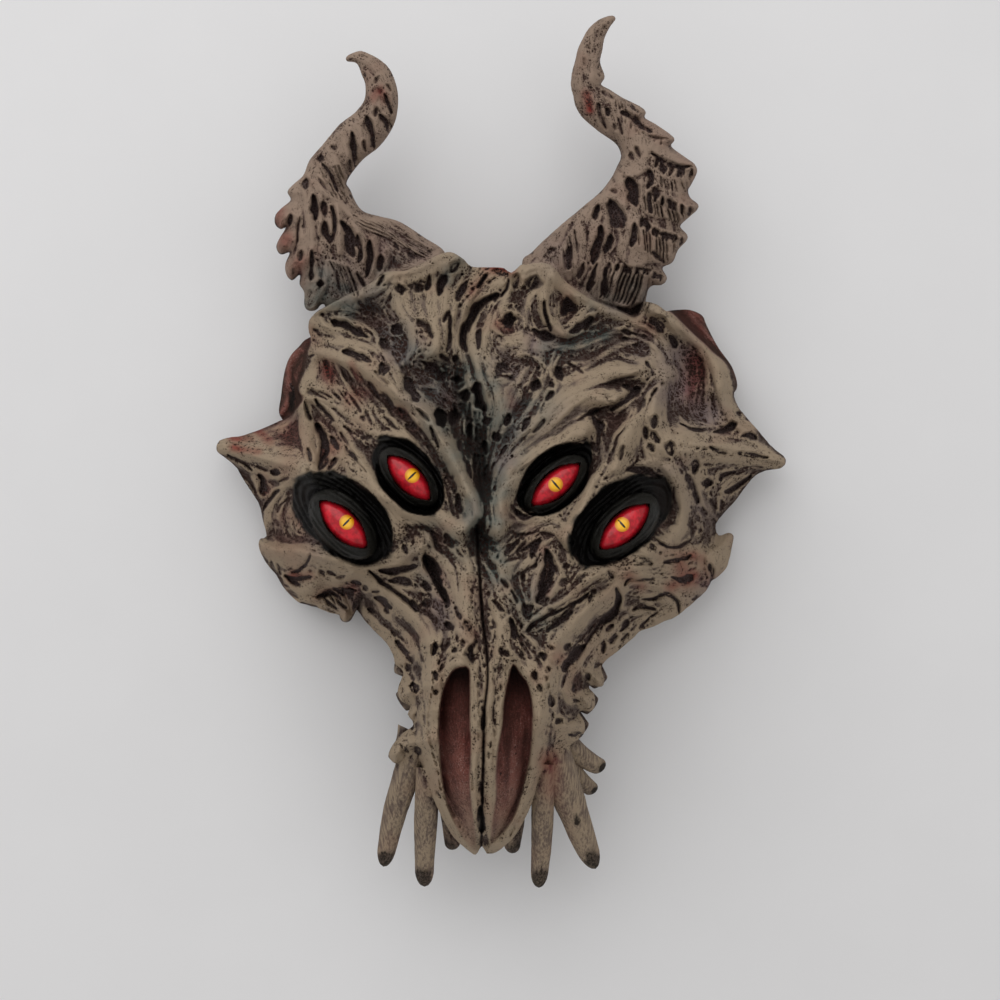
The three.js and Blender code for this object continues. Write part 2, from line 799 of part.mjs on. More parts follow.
function lids(eye, socket) {
  const [long, wide] = socket.half;
  return solid(restingBall(eye, [long * LID_SHARE, wide * LID_SHARE, LID_HEIGHT], LID_SINK, SOCKET_SIDES));
}

function eyeDome(eye, room = 0) {
  const halves = [eye.eye[0] + room, eye.eye[1] + room, EYE_DOME + room];
  return solid(restingBall(eye, halves, 0, EYE_SIDES));
}

// The lowest height of the carving round about a place, which the hollow stays under.
function lowestNear(x, y) {
  let lowest = Infinity;
  for (let i = 0; i < NEAR_POINTS; i++) {
    const turn = (i / NEAR_POINTS) * 2 * Math.PI;
    const nx = x + NEAR_REACH * Math.cos(turn);
    const ny = y + NEAR_REACH * Math.sin(turn);
    let height = faceHeight(nx, ny);
    for (const socket of SOCKETS) {
      if (socketShare(socket, nx, ny) > SOCKET_SPREAD) continue;
      height = Math.min(height, faceHeight(...socket.at) - SOCKET_DEPTH);
    }
    if (nearestOn(CLEFT, nx, ny).distance < NEAR_REACH) height -= CLEFT_DEPTH;
    for (const nostril of [NOSTRIL_LEFT, NOSTRIL_RIGHT]) {
      if (depthInside(nostril, nx, ny) > -2) height -= nostrilDepth(ny);
    }
    lowest = Math.min(lowest, height);
  }
  return lowest;
}

function fleshLobe(line) {
  const block = outlineBlock(line, 0, FLESH_HEIGHT);
  const [mx, my] = line.at(-1);
  return movePoints(block, (point) => {
    const pull = point.z > 0 ? FLESH_PULL : 0;
    point.x = lerp(point.x, mx, pull);
    point.y = lerp(point.y, my, pull);
  });
}

function maskSolid() {
  const box = new THREE.Box2().setFromPoints(OUTLINE.map(([x, y]) => new THREE.Vector2(x, y)));
  const low = box.min.clone().subScalar(GRID);
  const high = box.max.clone().addScalar(GRID);
  const slab = solid(heightSlab(low, high, GRID, faceHeight, () => 0));
  const below = solid(heightSlab(low, high, UNDER_GRID, undersideHeight, () => -UNDER_DEPTH));
  let mask = slab.intersect(solid(outlineBlock(OUTLINE, -1, CUT_TOP))).subtract(below);
  for (const line of [FLESH_LEFT, FLESH_RIGHT]) mask = mask.add(solid(fleshLobe(line)));
  EYES.forEach((eye, i) => {
    mask = mask.subtract(socketCut(eye, SOCKETS[i])).add(lids(eye, SOCKETS[i]));
  });

  const coreLine = insetLine(RIM, (y) => (y > CROWN_START ? CROWN_BLOCK : RIM_WIDTH));
  const coreTop = (x, y) => Math.max(lowestNear(x, y) - WALL, 2);
  const core = solid(heightSlab(low, high, CORE_GRID, coreTop, () => -2));
  mask = mask.subtract(core.intersect(solid(outlineBlock(coreLine, -3, CUT_TOP))));

  for (const nostril of [NOSTRIL_LEFT, NOSTRIL_RIGHT]) {
    mask = mask.subtract(solid(cutter(nostril, (x, y) => faceHeight(x, y) - nostrilDepth(y))));
  }
  const slit = blade(CLEFT, CLEFT_WIDTH, CLEFT_STEP, (x, y) => faceHeight(x, y) - CLEFT_DEPTH);
  mask = mask.subtract(solid(slit));
  for (const row of TEETH) mask = mask.add(solid(tooth(row)));
  for (const eye of EYES) mask = mask.subtract(eyeDome(eye, FIT_GAP));
  return mask.subtract(hornBody(HORN_LEFT, FIT_GAP)).subtract(hornBody(HORN_RIGHT, FIT_GAP));
}

// Draws each point in towards the line of sight by its height, and puts the origin under the middle.
function truePlace(point) {
  const nearness = 1 - point.z / VIEW_DISTANCE;
  point.x = VIEW_CENTRE.x + (point.x - VIEW_CENTRE.x) * nearness - BOX_CENTRE.x;
  point.y = VIEW_CENTRE.y + (point.y - VIEW_CENTRE.y) * nearness - BOX_CENTRE.y;
}

function piece(name, made, material) {
  const { numProp, vertProperties, triVerts } = made.getMesh();
  const count = vertProperties.length / numProp;
  const places = new Float32Array(count * 3);
  for (let i = 0; i < count; i++) places.set(vertProperties.subarray(i * numProp, i * numProp + 3), i * 3);
  const geometry = new THREE.BufferGeometry();
  geometry.setAttribute("position", new THREE.BufferAttribute(places, 3));
  geometry.setIndex(new THREE.BufferAttribute(triVerts, 1));
  movePoints(geometry, truePlace);
  geometry.computeVertexNormals();
  const mesh = new THREE.Mesh(geometry, material);
  mesh.name = name;
  return mesh;
}

const bone = new THREE.MeshStandardMaterial({ color: 0xb3a48c, roughness: 0.72, metalness: 0 });
const horn = new THREE.MeshStandardMaterial({ color: 0x9c8a74, roughness: 0.74, metalness: 0 });
const redEye = new THREE.MeshStandardMaterial({ color: 0xa5161a, roughness: 0.12, metalness: 0 });

const group = new THREE.Group();
group.add(piece("mask", maskSolid(), bone));
group.add(piece("horn_left", hornSolid(HORN_LEFT, HORN_RIBS_LEFT), horn));
group.add(piece("horn_right", hornSolid(HORN_RIGHT, HORN_RIBS_RIGHT), horn));
for (const eye of EYES) group.add(piece(eye.name, eyeDome(eye), redEye));

export default group;
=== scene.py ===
import math
import bmesh
import bpy
import numpy as np
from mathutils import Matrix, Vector, noise


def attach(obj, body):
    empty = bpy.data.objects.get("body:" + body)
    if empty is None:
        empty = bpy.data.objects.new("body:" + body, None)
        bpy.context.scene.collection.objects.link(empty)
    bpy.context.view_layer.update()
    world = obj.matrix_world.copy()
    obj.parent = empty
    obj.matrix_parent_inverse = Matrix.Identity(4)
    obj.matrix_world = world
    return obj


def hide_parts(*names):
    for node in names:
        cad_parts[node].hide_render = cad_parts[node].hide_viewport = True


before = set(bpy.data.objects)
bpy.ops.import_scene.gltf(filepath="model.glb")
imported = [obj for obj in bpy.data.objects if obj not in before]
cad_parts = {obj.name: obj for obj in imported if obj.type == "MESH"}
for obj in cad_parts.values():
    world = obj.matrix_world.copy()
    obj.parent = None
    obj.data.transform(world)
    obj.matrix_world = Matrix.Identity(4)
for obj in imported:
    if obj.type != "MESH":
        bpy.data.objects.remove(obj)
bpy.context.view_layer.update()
millimetre = 0.001
print("frame loaded")
# The mask is laid out as it lines up for an eye straight above it, in millimetres, and trueX and
# trueY then draw the near forms together, as the real casting has them.
layout = {
    "viewDistance": 800.0,
    "viewX": 0.0,
    "viewY": -22.0,
    "boxX": 0.5,
    "boxY": -2.4,
    "cell": 0.45,  # spacing of the relief's own map
    "low": (-134.0, -204.0),
    "high": (134.0, 204.0),
}

# Height along the middle of the face, height of its outer edge, and how far in the edge rounds over.
faceProfile = {
    "middle": [
        (92, 50), (60, 58), (30, 67), (0, 73), (-25, 81), (-50, 89), (-75, 95), (-100, 100),
        (-125, 100), (-145, 95), (-165, 84), (-185, 62),
    ],
    "edge": [
        (92, 47), (70, 42), (52, 28), (35, 21), (0, 18), (-60, 20), (-78, 28), (-92, 44),
        (-112, 58), (-145, 60), (-185, 48),
    ],
    "rise": [(92, 16), (60, 40), (30, 60), (-50, 56), (-80, 40), (-100, 26), (-140, 20), (-185, 13)],
    "underside": [(-76, 0), (-88, 8), (-105, 26), (-150, 34), (-190, 34)],
}

# Every line is given as its start and then the step to each next point, in millimetres.
outline = [-7, 83, -6, 0.5, -3, 3, -3, 2, -3.5, 1.5, -5.5, -1.5, -4.5, -2, -4.5, -2.5, -6, -2.5, -4.5,
    0, -4.5, -1, -5.5, -4, -4.5, -2.5, -8, -4, -9, -5, -4, -2.5, -3, -3.5, -0.5, -4.5, 1.5, -5.5, -1.5,
    -4.5, -1.5, -8, -2, -5.5, -0.5, -3.5, 2, -4.5, -4.5, -5.5, -4, -2.5, -10, -4.5, -8.5, -3, -7, -1,
    -4, -1.5, -1.5, -3, 0.5, -2.5, 2.5, -2, 5.5, -4.5, 5.5, -8.5, 5, -8, 2, -7.5, 1.5, -7, -2.5, -1, -1,
    -2.5, 0.5, -4, 2.5, -4.5, 5, -6.5, 3, -4.5, 4, -4.5, 4.5, -3.5, 7.5, -2, 5.5, -2, 3.5, -1, 3, -3,
    3.5, 2.5, 1.5, 3, 3.5, -4.5, 4, -4.5, 6, -6, 3, -5.5, 1, -4, 3.5, -3.5, -2, -5.5, -0.5, -4.5, 2,
    -3.5, 3.5, -2, -1, -3.5, 2.5, -4.5, -4.5, -3.5, -4, -4.5, -2.5, -4.5, 0.5, -3, 3, -2.5, 4, 2, 4.5,
    1, 4.5, -8, 2.5, -7.5, 2.5, -6.5, 6.5, -12.5, 6.5, -6.5, 5, -3, 3, 3.5, 2, -3, 6, 1.5, 8.5, 8.5,
    6.5, 13.5, 3.5, 12, 5, 7, 4, 3.5, 5.5, 3.5, 5, 4.5, 0.5, 5.5, -2.5, 4.5, 4.5, 0, 2.5, 2.5, 0, 5.5,
    -2.5, 3.5, 4.5, -0.5, 2, 1.5, 0, 4, -1, 3.5, 2.5, 3.5, 4.5, 3.5, 7.5, 6.5, 2.5, 2.5, 7, 2.5, 4, 2,
    5, 2, 6.5, 5, 7, 6.5, 3, 4.5, 3.5, 2.5, 3.5, 4, 1.5, 5.5, 1, 4.5, 0.5, 4.5, -2.5, 1.5, -4.5, -1, -1,
    4.5, 4, 5.5, 5, 5.5, 5, 7, 4, 4, 5, 2, 6, 1, 2.5, 3, -1, 3, -4, 3, -6, 6.5, -6, 7, -4, 5, -2, 5, 0,
    5, -1.5, 5, -3.5, 5.5, -5.5, 4.5, -5.5, 5.5, -4.5, 4, -6.5, 6.5, -5, 3.5, -4, 2.5, -5, 1, -2, -2.5,
    -2.5, -4.5, -7.5, 3, -6, 2.5, -6.5, 3, -7, 4.5, -5, 4.5, -3.5, 4.5, -4.5, 2.5, -4.5, 0, -4.5, -0.5,
    -2.5, -0.5, -4, -3.5, -3, 2, -4.5, 0.5]
rim = [0, 79, -22.5, 2.5, -22.5, -6.5, -25, -12.5, -11, -10.5, -3.5, -15.5, -4.5, -20.5, -5.5, -15.5,
    -3.5, -22.5, -2, -20.5, 10, -19, 22.5, -8.5, 19, -15, 11.5, -22.5, 5.5, -49.5, 22.5, -17, 20, 17,
    14, 45, 25.5, 27, 25, 13.5, 18, 18, 2, 22.5, 4.5, 22.5, 2.5, 22.5, -7, 20, -18, 20.5, -21.5, 3.5,
    -24.5, 11, -18, 10]
fleshLeft = [-73, 54.5, -13, -3.5, -4.5, -4, -4, -4.5, -2.5, -7, -1.5, -10.5, -0.5, -9, 8, -5.5, 14.5,
    12.5]
fleshRight = [63, 60, 10, 2.5, 6, 1, 6.5, 0, 5.5, -2.5, 2, -4.5, 5, -9.5, 7, -10.5, 0.5, -10, -15.5,
    -3.5, -22.5, 18]

# The large forms, each with its line, its half width and its height at both ends.
forms = [
    ([-80, 45.5, 17, -5.5, 12.5, -10, 13, -8, 7.5, -11, 12, -16.5, 6.5, -14.5, 0.5, -10], (9, 8),
        (6, 11)),
    ([-88.5, 28.5, 14.5, -6.5, 14.5, -10, 14.5, -7], (15, 10), (7, 5)),
    ([-124, 2, 17, -2.5, 17, -5.5], (9, 13), (4, 8)),
    ([-70, -0.5, 10.5, -12.5, 7.5, -10, 6, -11.5], (7, 7), (5, 5)),
    ([-50.5, -19.5, 11, -8, 12.5, -2.5, 10, -5.5], (6, 7), (5, 7)),
    ([-106, -43.5, 17, -3, 15, -3.5, 14.5, -3.5, 14.5, 5.5, 11.5, 8], (6, 6), (6, 5)),
    ([-67.5, -55.5, 13.5, -8, 12.5, -10, 9, -11.5, 1, -22.5, -0.5, -22.5, 3, -20.5, 6.5, -15.5, 9,
        -11.5], (7, 5), (5, 5)),
    ([-17, -36.5, 1.5, -17, 0, -22.5, -3.5, -16], (10, 8), (5, 4)),
    ([-1, -26.5, 1, -22.5, 0, -22.5, 3.5, -20.5], (10, 8), (5, 4)),
    ([38, 10.5, -15.5, -8.5, -13.5, -9.5, -9, -13.5, -2.5, -12.5], (9, 9), (7, 9)),
    ([54, 23.5, -14.5, 1, -14.5, -8, -16, -11.5, -9, -12], (9, 8), (9, 5)),
    ([63.5, 36, -15, -0.5, -14.5, -5, -14, -8.5, -10, -10], (8, 8), (8, 4)),
    ([61.5, 15, -4.5, -10, -5, -12], (7, 7), (8, 4)),
    ([72, 65, 17, -16, 10, -14.5, 2.5, -13.5, 10, -10.5], (9, 8), (8, 5)),
    ([126, -4.5, -16, 3.5, -13.5, 2.5, -15.5, 2.5], (8, 12), (3, 7)),
    ([50.5, -8.5, -7.5, -10, -7, -10.5, -6.5, -9], (7, 6), (5, 5)),
    ([77.5, -8.5, 5.5, -13.5, -4, -14.5, -9, -8, -14, -7.5, -15.5, -4.5], (6, 6), (6, 5)),
    ([63, -55.5, -15.5, -9.5, -13.5, -11.5, -9, -11, -5, -20, -3, -23.5, -2.5, -21.5, -7.5, -16.5, -8,
        -9], (7, 5), (6, 5)),
    ([-72, 66, 20, 10, 15, 5.5, 10, 4.5, 7, 1], (9, 9), (4, 6)),
    ([6.5, 77, 7, 4.5, 9, 0, 11, -11, 14, -7.5, 13, -6], (8, 8), (4, 4)),
    ([-1, 62.5, -5.5, -15, 4, -18, 2.5, -15.5], (13, 10), (6, 4)),
    ([23.5, 79, -2, -13.5, 7.5, -11, 9, 6.5], (7, 6), (4, 5)),
    ([100, -38, 1, -9, -5.5, -8.5], (8, 8), (5, 4)),
    ([-106, -43, 9, -6, 11.5, 1], (8, 8), (5, 4)),
    ([-4.5, 68, -11.5, -16, -5.5, -15.5, 1.5, -18, 7.5, -18, 4.5, -22.5, -1, -20.5], (10, 9), (-7, -5)),
    ([-27, 29.5, 12.5, -18, 6.5, -20], (20, 14), (-10, -7)),
    ([85.5, 40, 2, -17], (15, 14), (-8, -8)),
    ([74, 30, 3.5, -11.5], (9, 9), (-5, -5)),
    ([-57.5, 60, 13.5, -14.5, 8, -13.5], (12, 12), (-5, -5)),
    ([-76.5, -62.5, 19, -6.5], (8, 8), (-5, -4)),
    ([45, -76, 22.5, 9], (8, 8), (-5, -4)),
    ([-36, -62.5, 9, -16], (8, 7), (-4, -3)),
]
# The same, for crests that come to an edge.
crests = [
    ([-88.5, 22, 1, -13.5, 4, -19], (6, 6), (9, 5)),
    ([74, 33.5, -4, -11.5, -1.5, -12.5, 1.5, -11.5], (7, 8), (11, 4)),
]

# Bones and strands that lie on the forms: smooth, and kept light by the dry brush.
strands = {
    "left brow": [
        ([-74, 42, 12, -4, 10, -7.5, 7, -6.5, 7, -2.5, 5, -5.5, 4, -7.5, 3.5, -7, 5.5, -8, 4.5, -8, 4,
        -7.5, 1, -6.5], (3, 4.2), (2.6, 3.4)), ([-82, 44.5, 8, -1.5, 7.5, -3], (3, 2.4), (1.6, 1.4)),
        ([-83, 41, -3.5, -8, -2, -7.5], (2.6, 2.2), (1.6, 1.8)),
        ([-88.5, 26, 8.5, -6.5, 7, -7.5, 5.5, -8, 5.5, -8, 5.5, -10, 6, -10], (1.6, 3.2), (1.2, 1.8)),
        ([-88, 25, 11.5, -4, 10, -5, 8, -7.5], (1.4, 1.2), (1, 0.8)),
        ([-74, 42, 4.5, -11, 4.5, -8, 5.5, -9, 3.5, -6.5], (1.3, 1), (0.9, 0.7)),
        ([-67.5, 40, 6.5, -10, 7, -9, 7, -9, 7.5, -6], (1.3, 1.2), (1, 0.8)),
        ([-60.5, 37.5, 8.5, -10, 7, -7.5, 9, -8, 5.5, -9], (1.2, 1), (0.9, 0.8)),
        ([-88, 23, 3.5, -12, 2.5, -9, -1, -10.5], (1.2, 1.4), (1.4, 1)),
        ([-72, 12, 2.5, -7, -2.5, -8, -6.5, -5.5], (1.4, 1.2), (1.4, 0.9)),
        ([-56, 7.5, 7.5, 0, 8, -2.5, 7, -5.5, 4.5, -8, 2.5, -10, -0.5, -8], (1.4, 1.3), (1, 0.9)),
    ],
    "left spike": [
        ([-127, 3, 10, 3, 12.5, 3.5, 10, 4.5, 5.5, 5.5], (1.4, 2), (0.8, 1.2)),
        ([-126.5, 0.5, 11.5, -2.5, 11.5, -2, 13.5, -1, 13.5, 2], (1.6, 2.2), 1.2),
        ([-123.5, -3, 11, -5.5, 10, -3.5, 9, -1, 6, 2.5], (1.5, 2.4), (1, 1.8)),
        ([-87.5, -10.5, -7, -4.5, -6.5, -6, -3.5, -8, -0.5, -8.5], (2.4, 2.6), 1.8),
        ([-95.5, -17.5, -3, -7.5, -0.5, -8, 2.5, -7, 6.5, -3.5], 1.4, (0.9, 1)),
        ([-112.5, -9.5, 2.5, -6.5, 3, -6], (1.2, 1), (0.8, 0.6)),
    ],
    "left cheek": [
        ([-107, -42.5, 7, -1, 8, -1.5, 6.5, -2], (2.4, 2.8), 1.6),
        ([-85.5, -47, 9, -2, 9, -3, 10, -1.5, 9, 1.5, 8, 4.5, 6.5, 4.5], (2, 1.8), 1.4),
        ([-96.5, -63.5, 9, 1, 9, 2.5, 8.5, 3, 6, 2.5], (2.4, 1.6), (1.6, 1.2)),
        ([-87.5, -67, 7.5, 0, 8, 1, 5.5, 2.5], (1.3, 1.6), 1), ([-84.5, -70, 7, 0, 6.5, 2], 1, 0.8),
        ([-67.5, -62.5, -1, -5.5, -1.5, -7], 2.2, (1.6, 1.2)),
        ([-104.5, -47, 5.5, -7.5, 5.5, -7], (1.3, 1.4), 0.9),
        ([-66.5, -55, 9, -4.5, 9, -7, 7, -6, 7.5, -9, 3.5, -9], (2.6, 3), (1.8, 2)),
        ([-63, -62.5, 7, -5.5, 8.5, -9, 8, -9, 3.5, -10], 1.8, (1.4, 1.2)),
        ([-59.5, -55.5, 9, -1, 10, 0.5, 6.5, 3.5], 1.2, (1, 0.9)),
        ([-56.5, -56, 9, -5, 9, -1.5, 5, -1], 1.2, (1, 0.8)),
        ([-62, -67, 1.5, -6.5, 5.5, -6, 8, -8.5, 6.5, -8], (1.6, 1.8), 1.2),
    ],
    "nose left": [
        ([-50.5, -22, 6.5, -5.5, 8, -1, 8, -1.5, 6.5, -4], (2.8, 2.6), (1.6, 1.8)),
        ([-30.5, -29, 6, 0, 4.5, -4, 1, -6], (2.4, 1.6), (1.8, 1.2)),
        ([-10.5, -28.5, -1, -4.5, -4.5, -2.5], (2.2, 1.8), (1.8, 1.2)),
        ([-34, -43.5, -2, -6.5, 2, -9, 3.5, -7], (1.2, 1), (1.2, 1)),
        ([-33.5, -43.5, 5.5, -3.5, 5.5, -5.5, 2.5, -10, 2, -10], (1.6, 2.2), 1.2),
        ([-37, -35.5, 5.5, -4.5, 3.5, -7], 1, 0.9),
        ([-26, -38, 4.5, -6.5, 6, -4.5, 3, -9], (1, 1.4), (0.9, 1)),
        ([-15.5, -55.5, -0.5, -11.5, 0.5, -12, 4, -10.5], (2.8, 2), (1.4, 1.2)),
        ([-30.5, -71.5, 5.5, -5.5, 6, -4.5, 4.5, -3.5], (1.2, 1.4), (1.2, 1)),
        ([-18, -72.5, -3.5, -8, -5.5, -4.5, -5.5, -4.5], (1.3, 1.6), 1),
        ([-24.5, -67, -0.5, -7, -2, -6.5], 0.9, (0.9, 0.7)),
        ([-29, -80.5, 4.5, -8, 6.5, -3.5, 4.5, -4], (1.2, 1.4), 1),
    ],
    "nose right": [
        ([13.5, -12.5, -6.5, -1.5, -5, -3.5, -0.5, -8, 2, -6.5], (2.8, 2.2), (2.4, 1.6)),
        ([4.5, -32, 8, 1, 9, 1, 6.5, -4, 4.5, -6, 1, -5.5], (3.2, 2.2), (2, 1.6)),
        ([25, -39, -7, -3.5, -6.5, -5.5, -4.5, -6.5], 1.2, (1, 0.9)),
        ([16, -36.5, -7, -5.5, -6.5, -5], 1, 0.8),
        ([21.5, -47, -4.5, -8.5, -2.5, -8, 1.5, -6.5], (1.5, 1.2), (1.4, 1)),
        ([25, -47, 3, -8.5, -3, -7, -4.5, -4.5], (1.4, 1.2), (1.2, 1)),
        ([1, -53.5, 6, 1.5, 6.5, 2], (2.2, 1.4), (1.2, 0.9)),
        ([-1, -49, 3.5, -9, 4.5, -9, 4, -8, 6, -4.5], 1.4, 1),
        ([-3.5, -67, 3.5, -10, -1, -11, -1, -8], (2, 1.8), (1.2, 1)),
        ([5.5, -74, 3.5, -5.5, 6.5, -5.5, 4.5, -7], (1.2, 1.4), 0.9),
        ([2.5, -75, 0, -10, 3, -7], (1.2, 1), (0.9, 0.8)),
    ],
    "right cheek": [
        ([45, -56, -11, -6.5, -9.5, -6.5, -8.5, -6, -5, -4.5], 1.5, (1.4, 1.2)),
        ([51.5, -58, -11, -4.5, -11, -7.5, -8, -6], 1.2, 1),
        ([63, -55.5, -9, -3.5, -7, -7, -9, -8, -7.5, -7.5, -5.5, -7], (2.2, 3.2), (1.6, 2.2)),
        ([74, -49, -11, -3, -10, -3.5], 1.6, 1.2),
        ([54, -62.5, 1, -7.5, 6, -2.5, 9, 1], (2.6, 1.4), (1.8, 1)),
        ([60.5, -60, 8, -1.5, 7, -1, 5.5, -3.5, 1, -4.5, -4.5, -3.5, -7.5, -3], (1.4, 1.8), (1.4, 1.4)),
        ([63, -67, 7, 2, 5.5, -3], 1.4, 1), ([92.5, -63.5, -7, 2, -6.5, -1], (1.6, 1.4), 1),
        ([50.5, -78, 8, 5.5, 7, 2.5], (1.6, 1.4), (1.2, 0.8)),
        ([56.5, -84, -8, -4, -7, -7, -3, -6], (2, 1.6), (1.4, 1.2)),
        ([51.5, -78, -8.5, -8, -7, -8, -4.5, -9], (1.6, 1.4), (1.2, 1)),
        ([74, -43.5, 7, -1, 6.5, 1, 2.5, -6.5, -2, -8], 1.4, 1), ([74, -53.5, 7, -1, 7, 2.5], 1.2, 1),
        ([63, -43.5, 4.5, -3.5, 6.5, -2], (2, 1.4), (1.2, 1)),
    ],
    "right socket": [
        ([47.5, -15, 11, 4.5, 9, 5.5, 5.5, -1, 4.5, -6, 3.5, -8, 1.5, -8.5, -2.5, -7], (1.8, 2.8),
        (1.2, 2.2)), ([85.5, -5, 2.5, -10, 4.5, -9, 4.5, -7], (1.6, 1.4), 1),
        ([90, 2, -2.5, -10.5, 2.5, -11, 3.5, -9.5, -1, -11, -2.5, -5.5], 1.6, 1),
        ([44, -12, -4.5, -7.5, -5.5, -8, -4.5, -8, 1, -7.5], (2.6, 1.8), (1.8, 1.4)),
        ([46, 5, 1, -8, -3, -9], (1.2, 1.8), (1, 1.4)),
    ],
    "right feathers": [
        ([39.5, 9, -8, 1.5, -8, -5.5, -10, -6.5, -8, -7, -4.5, -9], (3.4, 2.6), (2.6, 1.8)),
        ([52.5, 24, -8.5, 1.5, -9, -4.5, -8, -6, -10, -8, -10, -7.5], (4.2, 2.2), (3, 1.4)),
        ([62, 36.5, -10, -0.5, -9.5, -4, -10, -5.5, -9, -7, -9, -9], (3, 1.8), (2.6, 1.2)),
        ([47.5, 44.5, -9, -6.5, -9, -9, -8, -7], (1.6, 1.4), (1.2, 1)),
        ([61, 50, -10.5, -4.5, -9, -4.5, -8, -2], (1.8, 1.4), (1.2, 1)),
        ([72, 40, -9, 1, -8, 2], 1.2, 0.8), ([27, 12, -7, -8, -9, -7], 1, (0.9, 0.8)),
    ],
    "right leaves": [
        ([74, 32.5, 0.5, -9.5, 0.5, -11.5, 2.5, -11], (1.5, 1.6), (2.4, 1.2)),
        ([72, 31, -5.5, -6, -3, -9, 0, -11, 4, -9], (1.3, 1.4), (1.8, 1)),
        ([69.5, 25, -2.5, -11, 1.5, -11], 0.8, (0.8, 0.6)),
        ([61.5, 14, -3, -7, -3.5, -7.5, -3.5, -8], (2.6, 2.2), (2, 1.2)),
        ([62, 12, 1, -9, -2, -8], 1.1, (1.2, 0.8)),
        ([60.5, 15, -7.5, -8, -4.5, -9, -3.5, -7.5], 1, (1.4, 0.8)),
    ],
    "right rim": [
        ([92, 48, 5, -7, 4, -9, 0.5, -9, 4, -9], (3.4, 3), (2.4, 2)),
        ([65.5, 65, 7.5, -3.5, 8, -7, 9, -7.5], (1.8, 2.2), 1.6),
        ([92.5, 41, 1, -11, -1, -10.5, 3, -7.5], 1.6, 1.4),
        ([77.5, 9.5, 8, -2, 10, 1, 10, 1], (1.6, 1.4), (1.2, 1)),
        ([106, 12, 9, -7, 11, -8], (1.8, 1.4), (1.2, 0.8)),
        ([85.5, 3, 11, 0, 12.5, -2.5, 12.5, -4, 6.5, -2], 1.6, (1.4, 1)),
        ([90, -5, 11.5, 1, 12, -2, 12.5, -1], (1.6, 1.4), (1.2, 0.8)),
        ([95.5, -31, 4.5, 9, 6, 7, 9, 4.5], 1.2, 0.8),
        ([99, -37.5, -2, -7, -1.5, -7.5], (2.6, 2), (1.6, 1.2)),
    ],
    "crown left": [
        ([-83, 62.5, 13, 5.5, 9.5, 5.5, 8.5, 5.5, 9, 1.5, 9, 3.5, 7.5, 4, 6.5, -1], (2.6, 3.2),
        (2, 2.4)), ([-81, 50, 11, -1, 10.5, -2, 9, -4, 4.5, -7.5], (1.8, 1.6), (1.4, 1.2)),
        ([-82, 60, 5.5, -5.5, 8, -4.5, 8, -2], 1.4, (1.2, 1)),
        ([-72, 60, 8, -2, 7.5, -4.5, 2.5, -6.5], 1.3, 1),
        ([-52, 44.5, 5, -10.5, 3, -9], (1.2, 1.4), 1.2),
        ([-44, 75, -1, -9, 4.5, -8, 1, -10.5, -3.5, -8.5], (3.2, 1.8), 1.2),
        ([-31.5, 80.5, 1, -10.5, 1.5, -11, 1, -11, -4.5, -5], (3, 2.6), 1.4),
        ([-20, 82.5, -3.5, -10, -1.5, -9, 1.5, -11.5], (2.2, 1.6), (1.4, 1.2)),
        ([-17, 77, -3.5, -11, 0.5, -11.5, -0.5, -10, -3, -9], 1.3, 1.2),
        ([-10, 71.5, -5.5, -6.5, -3, -10.5, 0, -9, 3, -7.5, 3, -8], (2, 1.5), (2, 1.4)),
        ([0, 74, -5.5, -2.5, -5.5, -3.5], (3, 2.4), (2, 1.6)),
        ([-24.5, 38, 3, -1.5, -1, -6.5, 5.5, -2.5, 3.5, 4.5, -2, 5.5, -4.5, 0.5], 1.1, (1.2, 1.2)),
        ([-36, 30, 7, 0, 5.5, -5, 4.5, -3, 4.5, 4.5], (1.6, 1.2), (1.4, 1)),
        ([-46, 38, 3.5, -9, 6.5, -7, 6.5, -3.5], 1.3, (1.2, 1)),
        ([-11.5, 30, 1.5, -9, -1.5, -11.5, 0.5, -13.5, 3, -13.5], (1, 0.9), (1, 0.9)),
        ([-15.5, 14, 1, -12, 2, -10.5, 2, -11.5], 0.9, (0.9, 0.8)),
        ([-27, 5, 7, -5.5, 4.5, -8, 4.5, -11], 1, 0.8),
    ],
    "crown right": [
        ([6.5, 79.5, 9, 3.5, 7, -0.5, 3.5, -5.5, 8, -5.5, 10, -5.5, 10, -4.5, 9, -1.5], (3.2, 2.6),
        (2, 2)),
        ([21.5, 79, -2, -7.5, 1, -9, 4, -6.5, 5, -2.5, 6.5, 2.5, 7, 6.5], (2.6, 2), (2.2, 1.8)),
        ([4.5, 48, 6, -0.5], 6.4, 3), ([16, 46.5, 4, 0.5], 4.6, 2),
        ([7, 78, -3.5, -8, -3.5, -8.5], (2.4, 1.6), 1.2),
        ([14.5, 70, -3, -7.5, 0, -6.5], (2.8, 1.8), (1.2, 1)),
        ([3.5, 62.5, 5.5, -1, 2, -3.5, -3, -3.5], 1.2, (1.4, 1.2)),
        ([-2, 61, -0.5, -5, 3.5, -3.5], 1.2, 1.2),
        ([-10, 61, -2.5, -6.5, -1, -7.5, 2, -7, 2.5, -7, 3.5, -8], 1.5, (1.6, 1.4)),
        ([-4.5, 60, -2, -7.5, -0.5, -7], (2, 1.4), (1.2, 1)),
        ([-5.5, 35.5, 3.5, -5.5, 5.5, -1.5, 5.5, 2.5, 3.5, 7], (1.8, 1.6), (1.4, 1.2)),
        ([18, 50, 7, -2, 9, -1, 11, 4, 11, 4.5], (2.6, 1.6), 1.2),
        ([25, 44.5, -3.5, -7, -3.5, -8.5, -4.5, -8, -6.5, -9], 1.1, (1.1, 1)),
        ([15.5, 42, 5, -4.5, 4, -6.5], 1, (1.2, 0.9)),
        ([0, 25, -1, -9, -3.5, -9, -1, -11, -1, -12], (2.4, 1), (1.2, 1)),
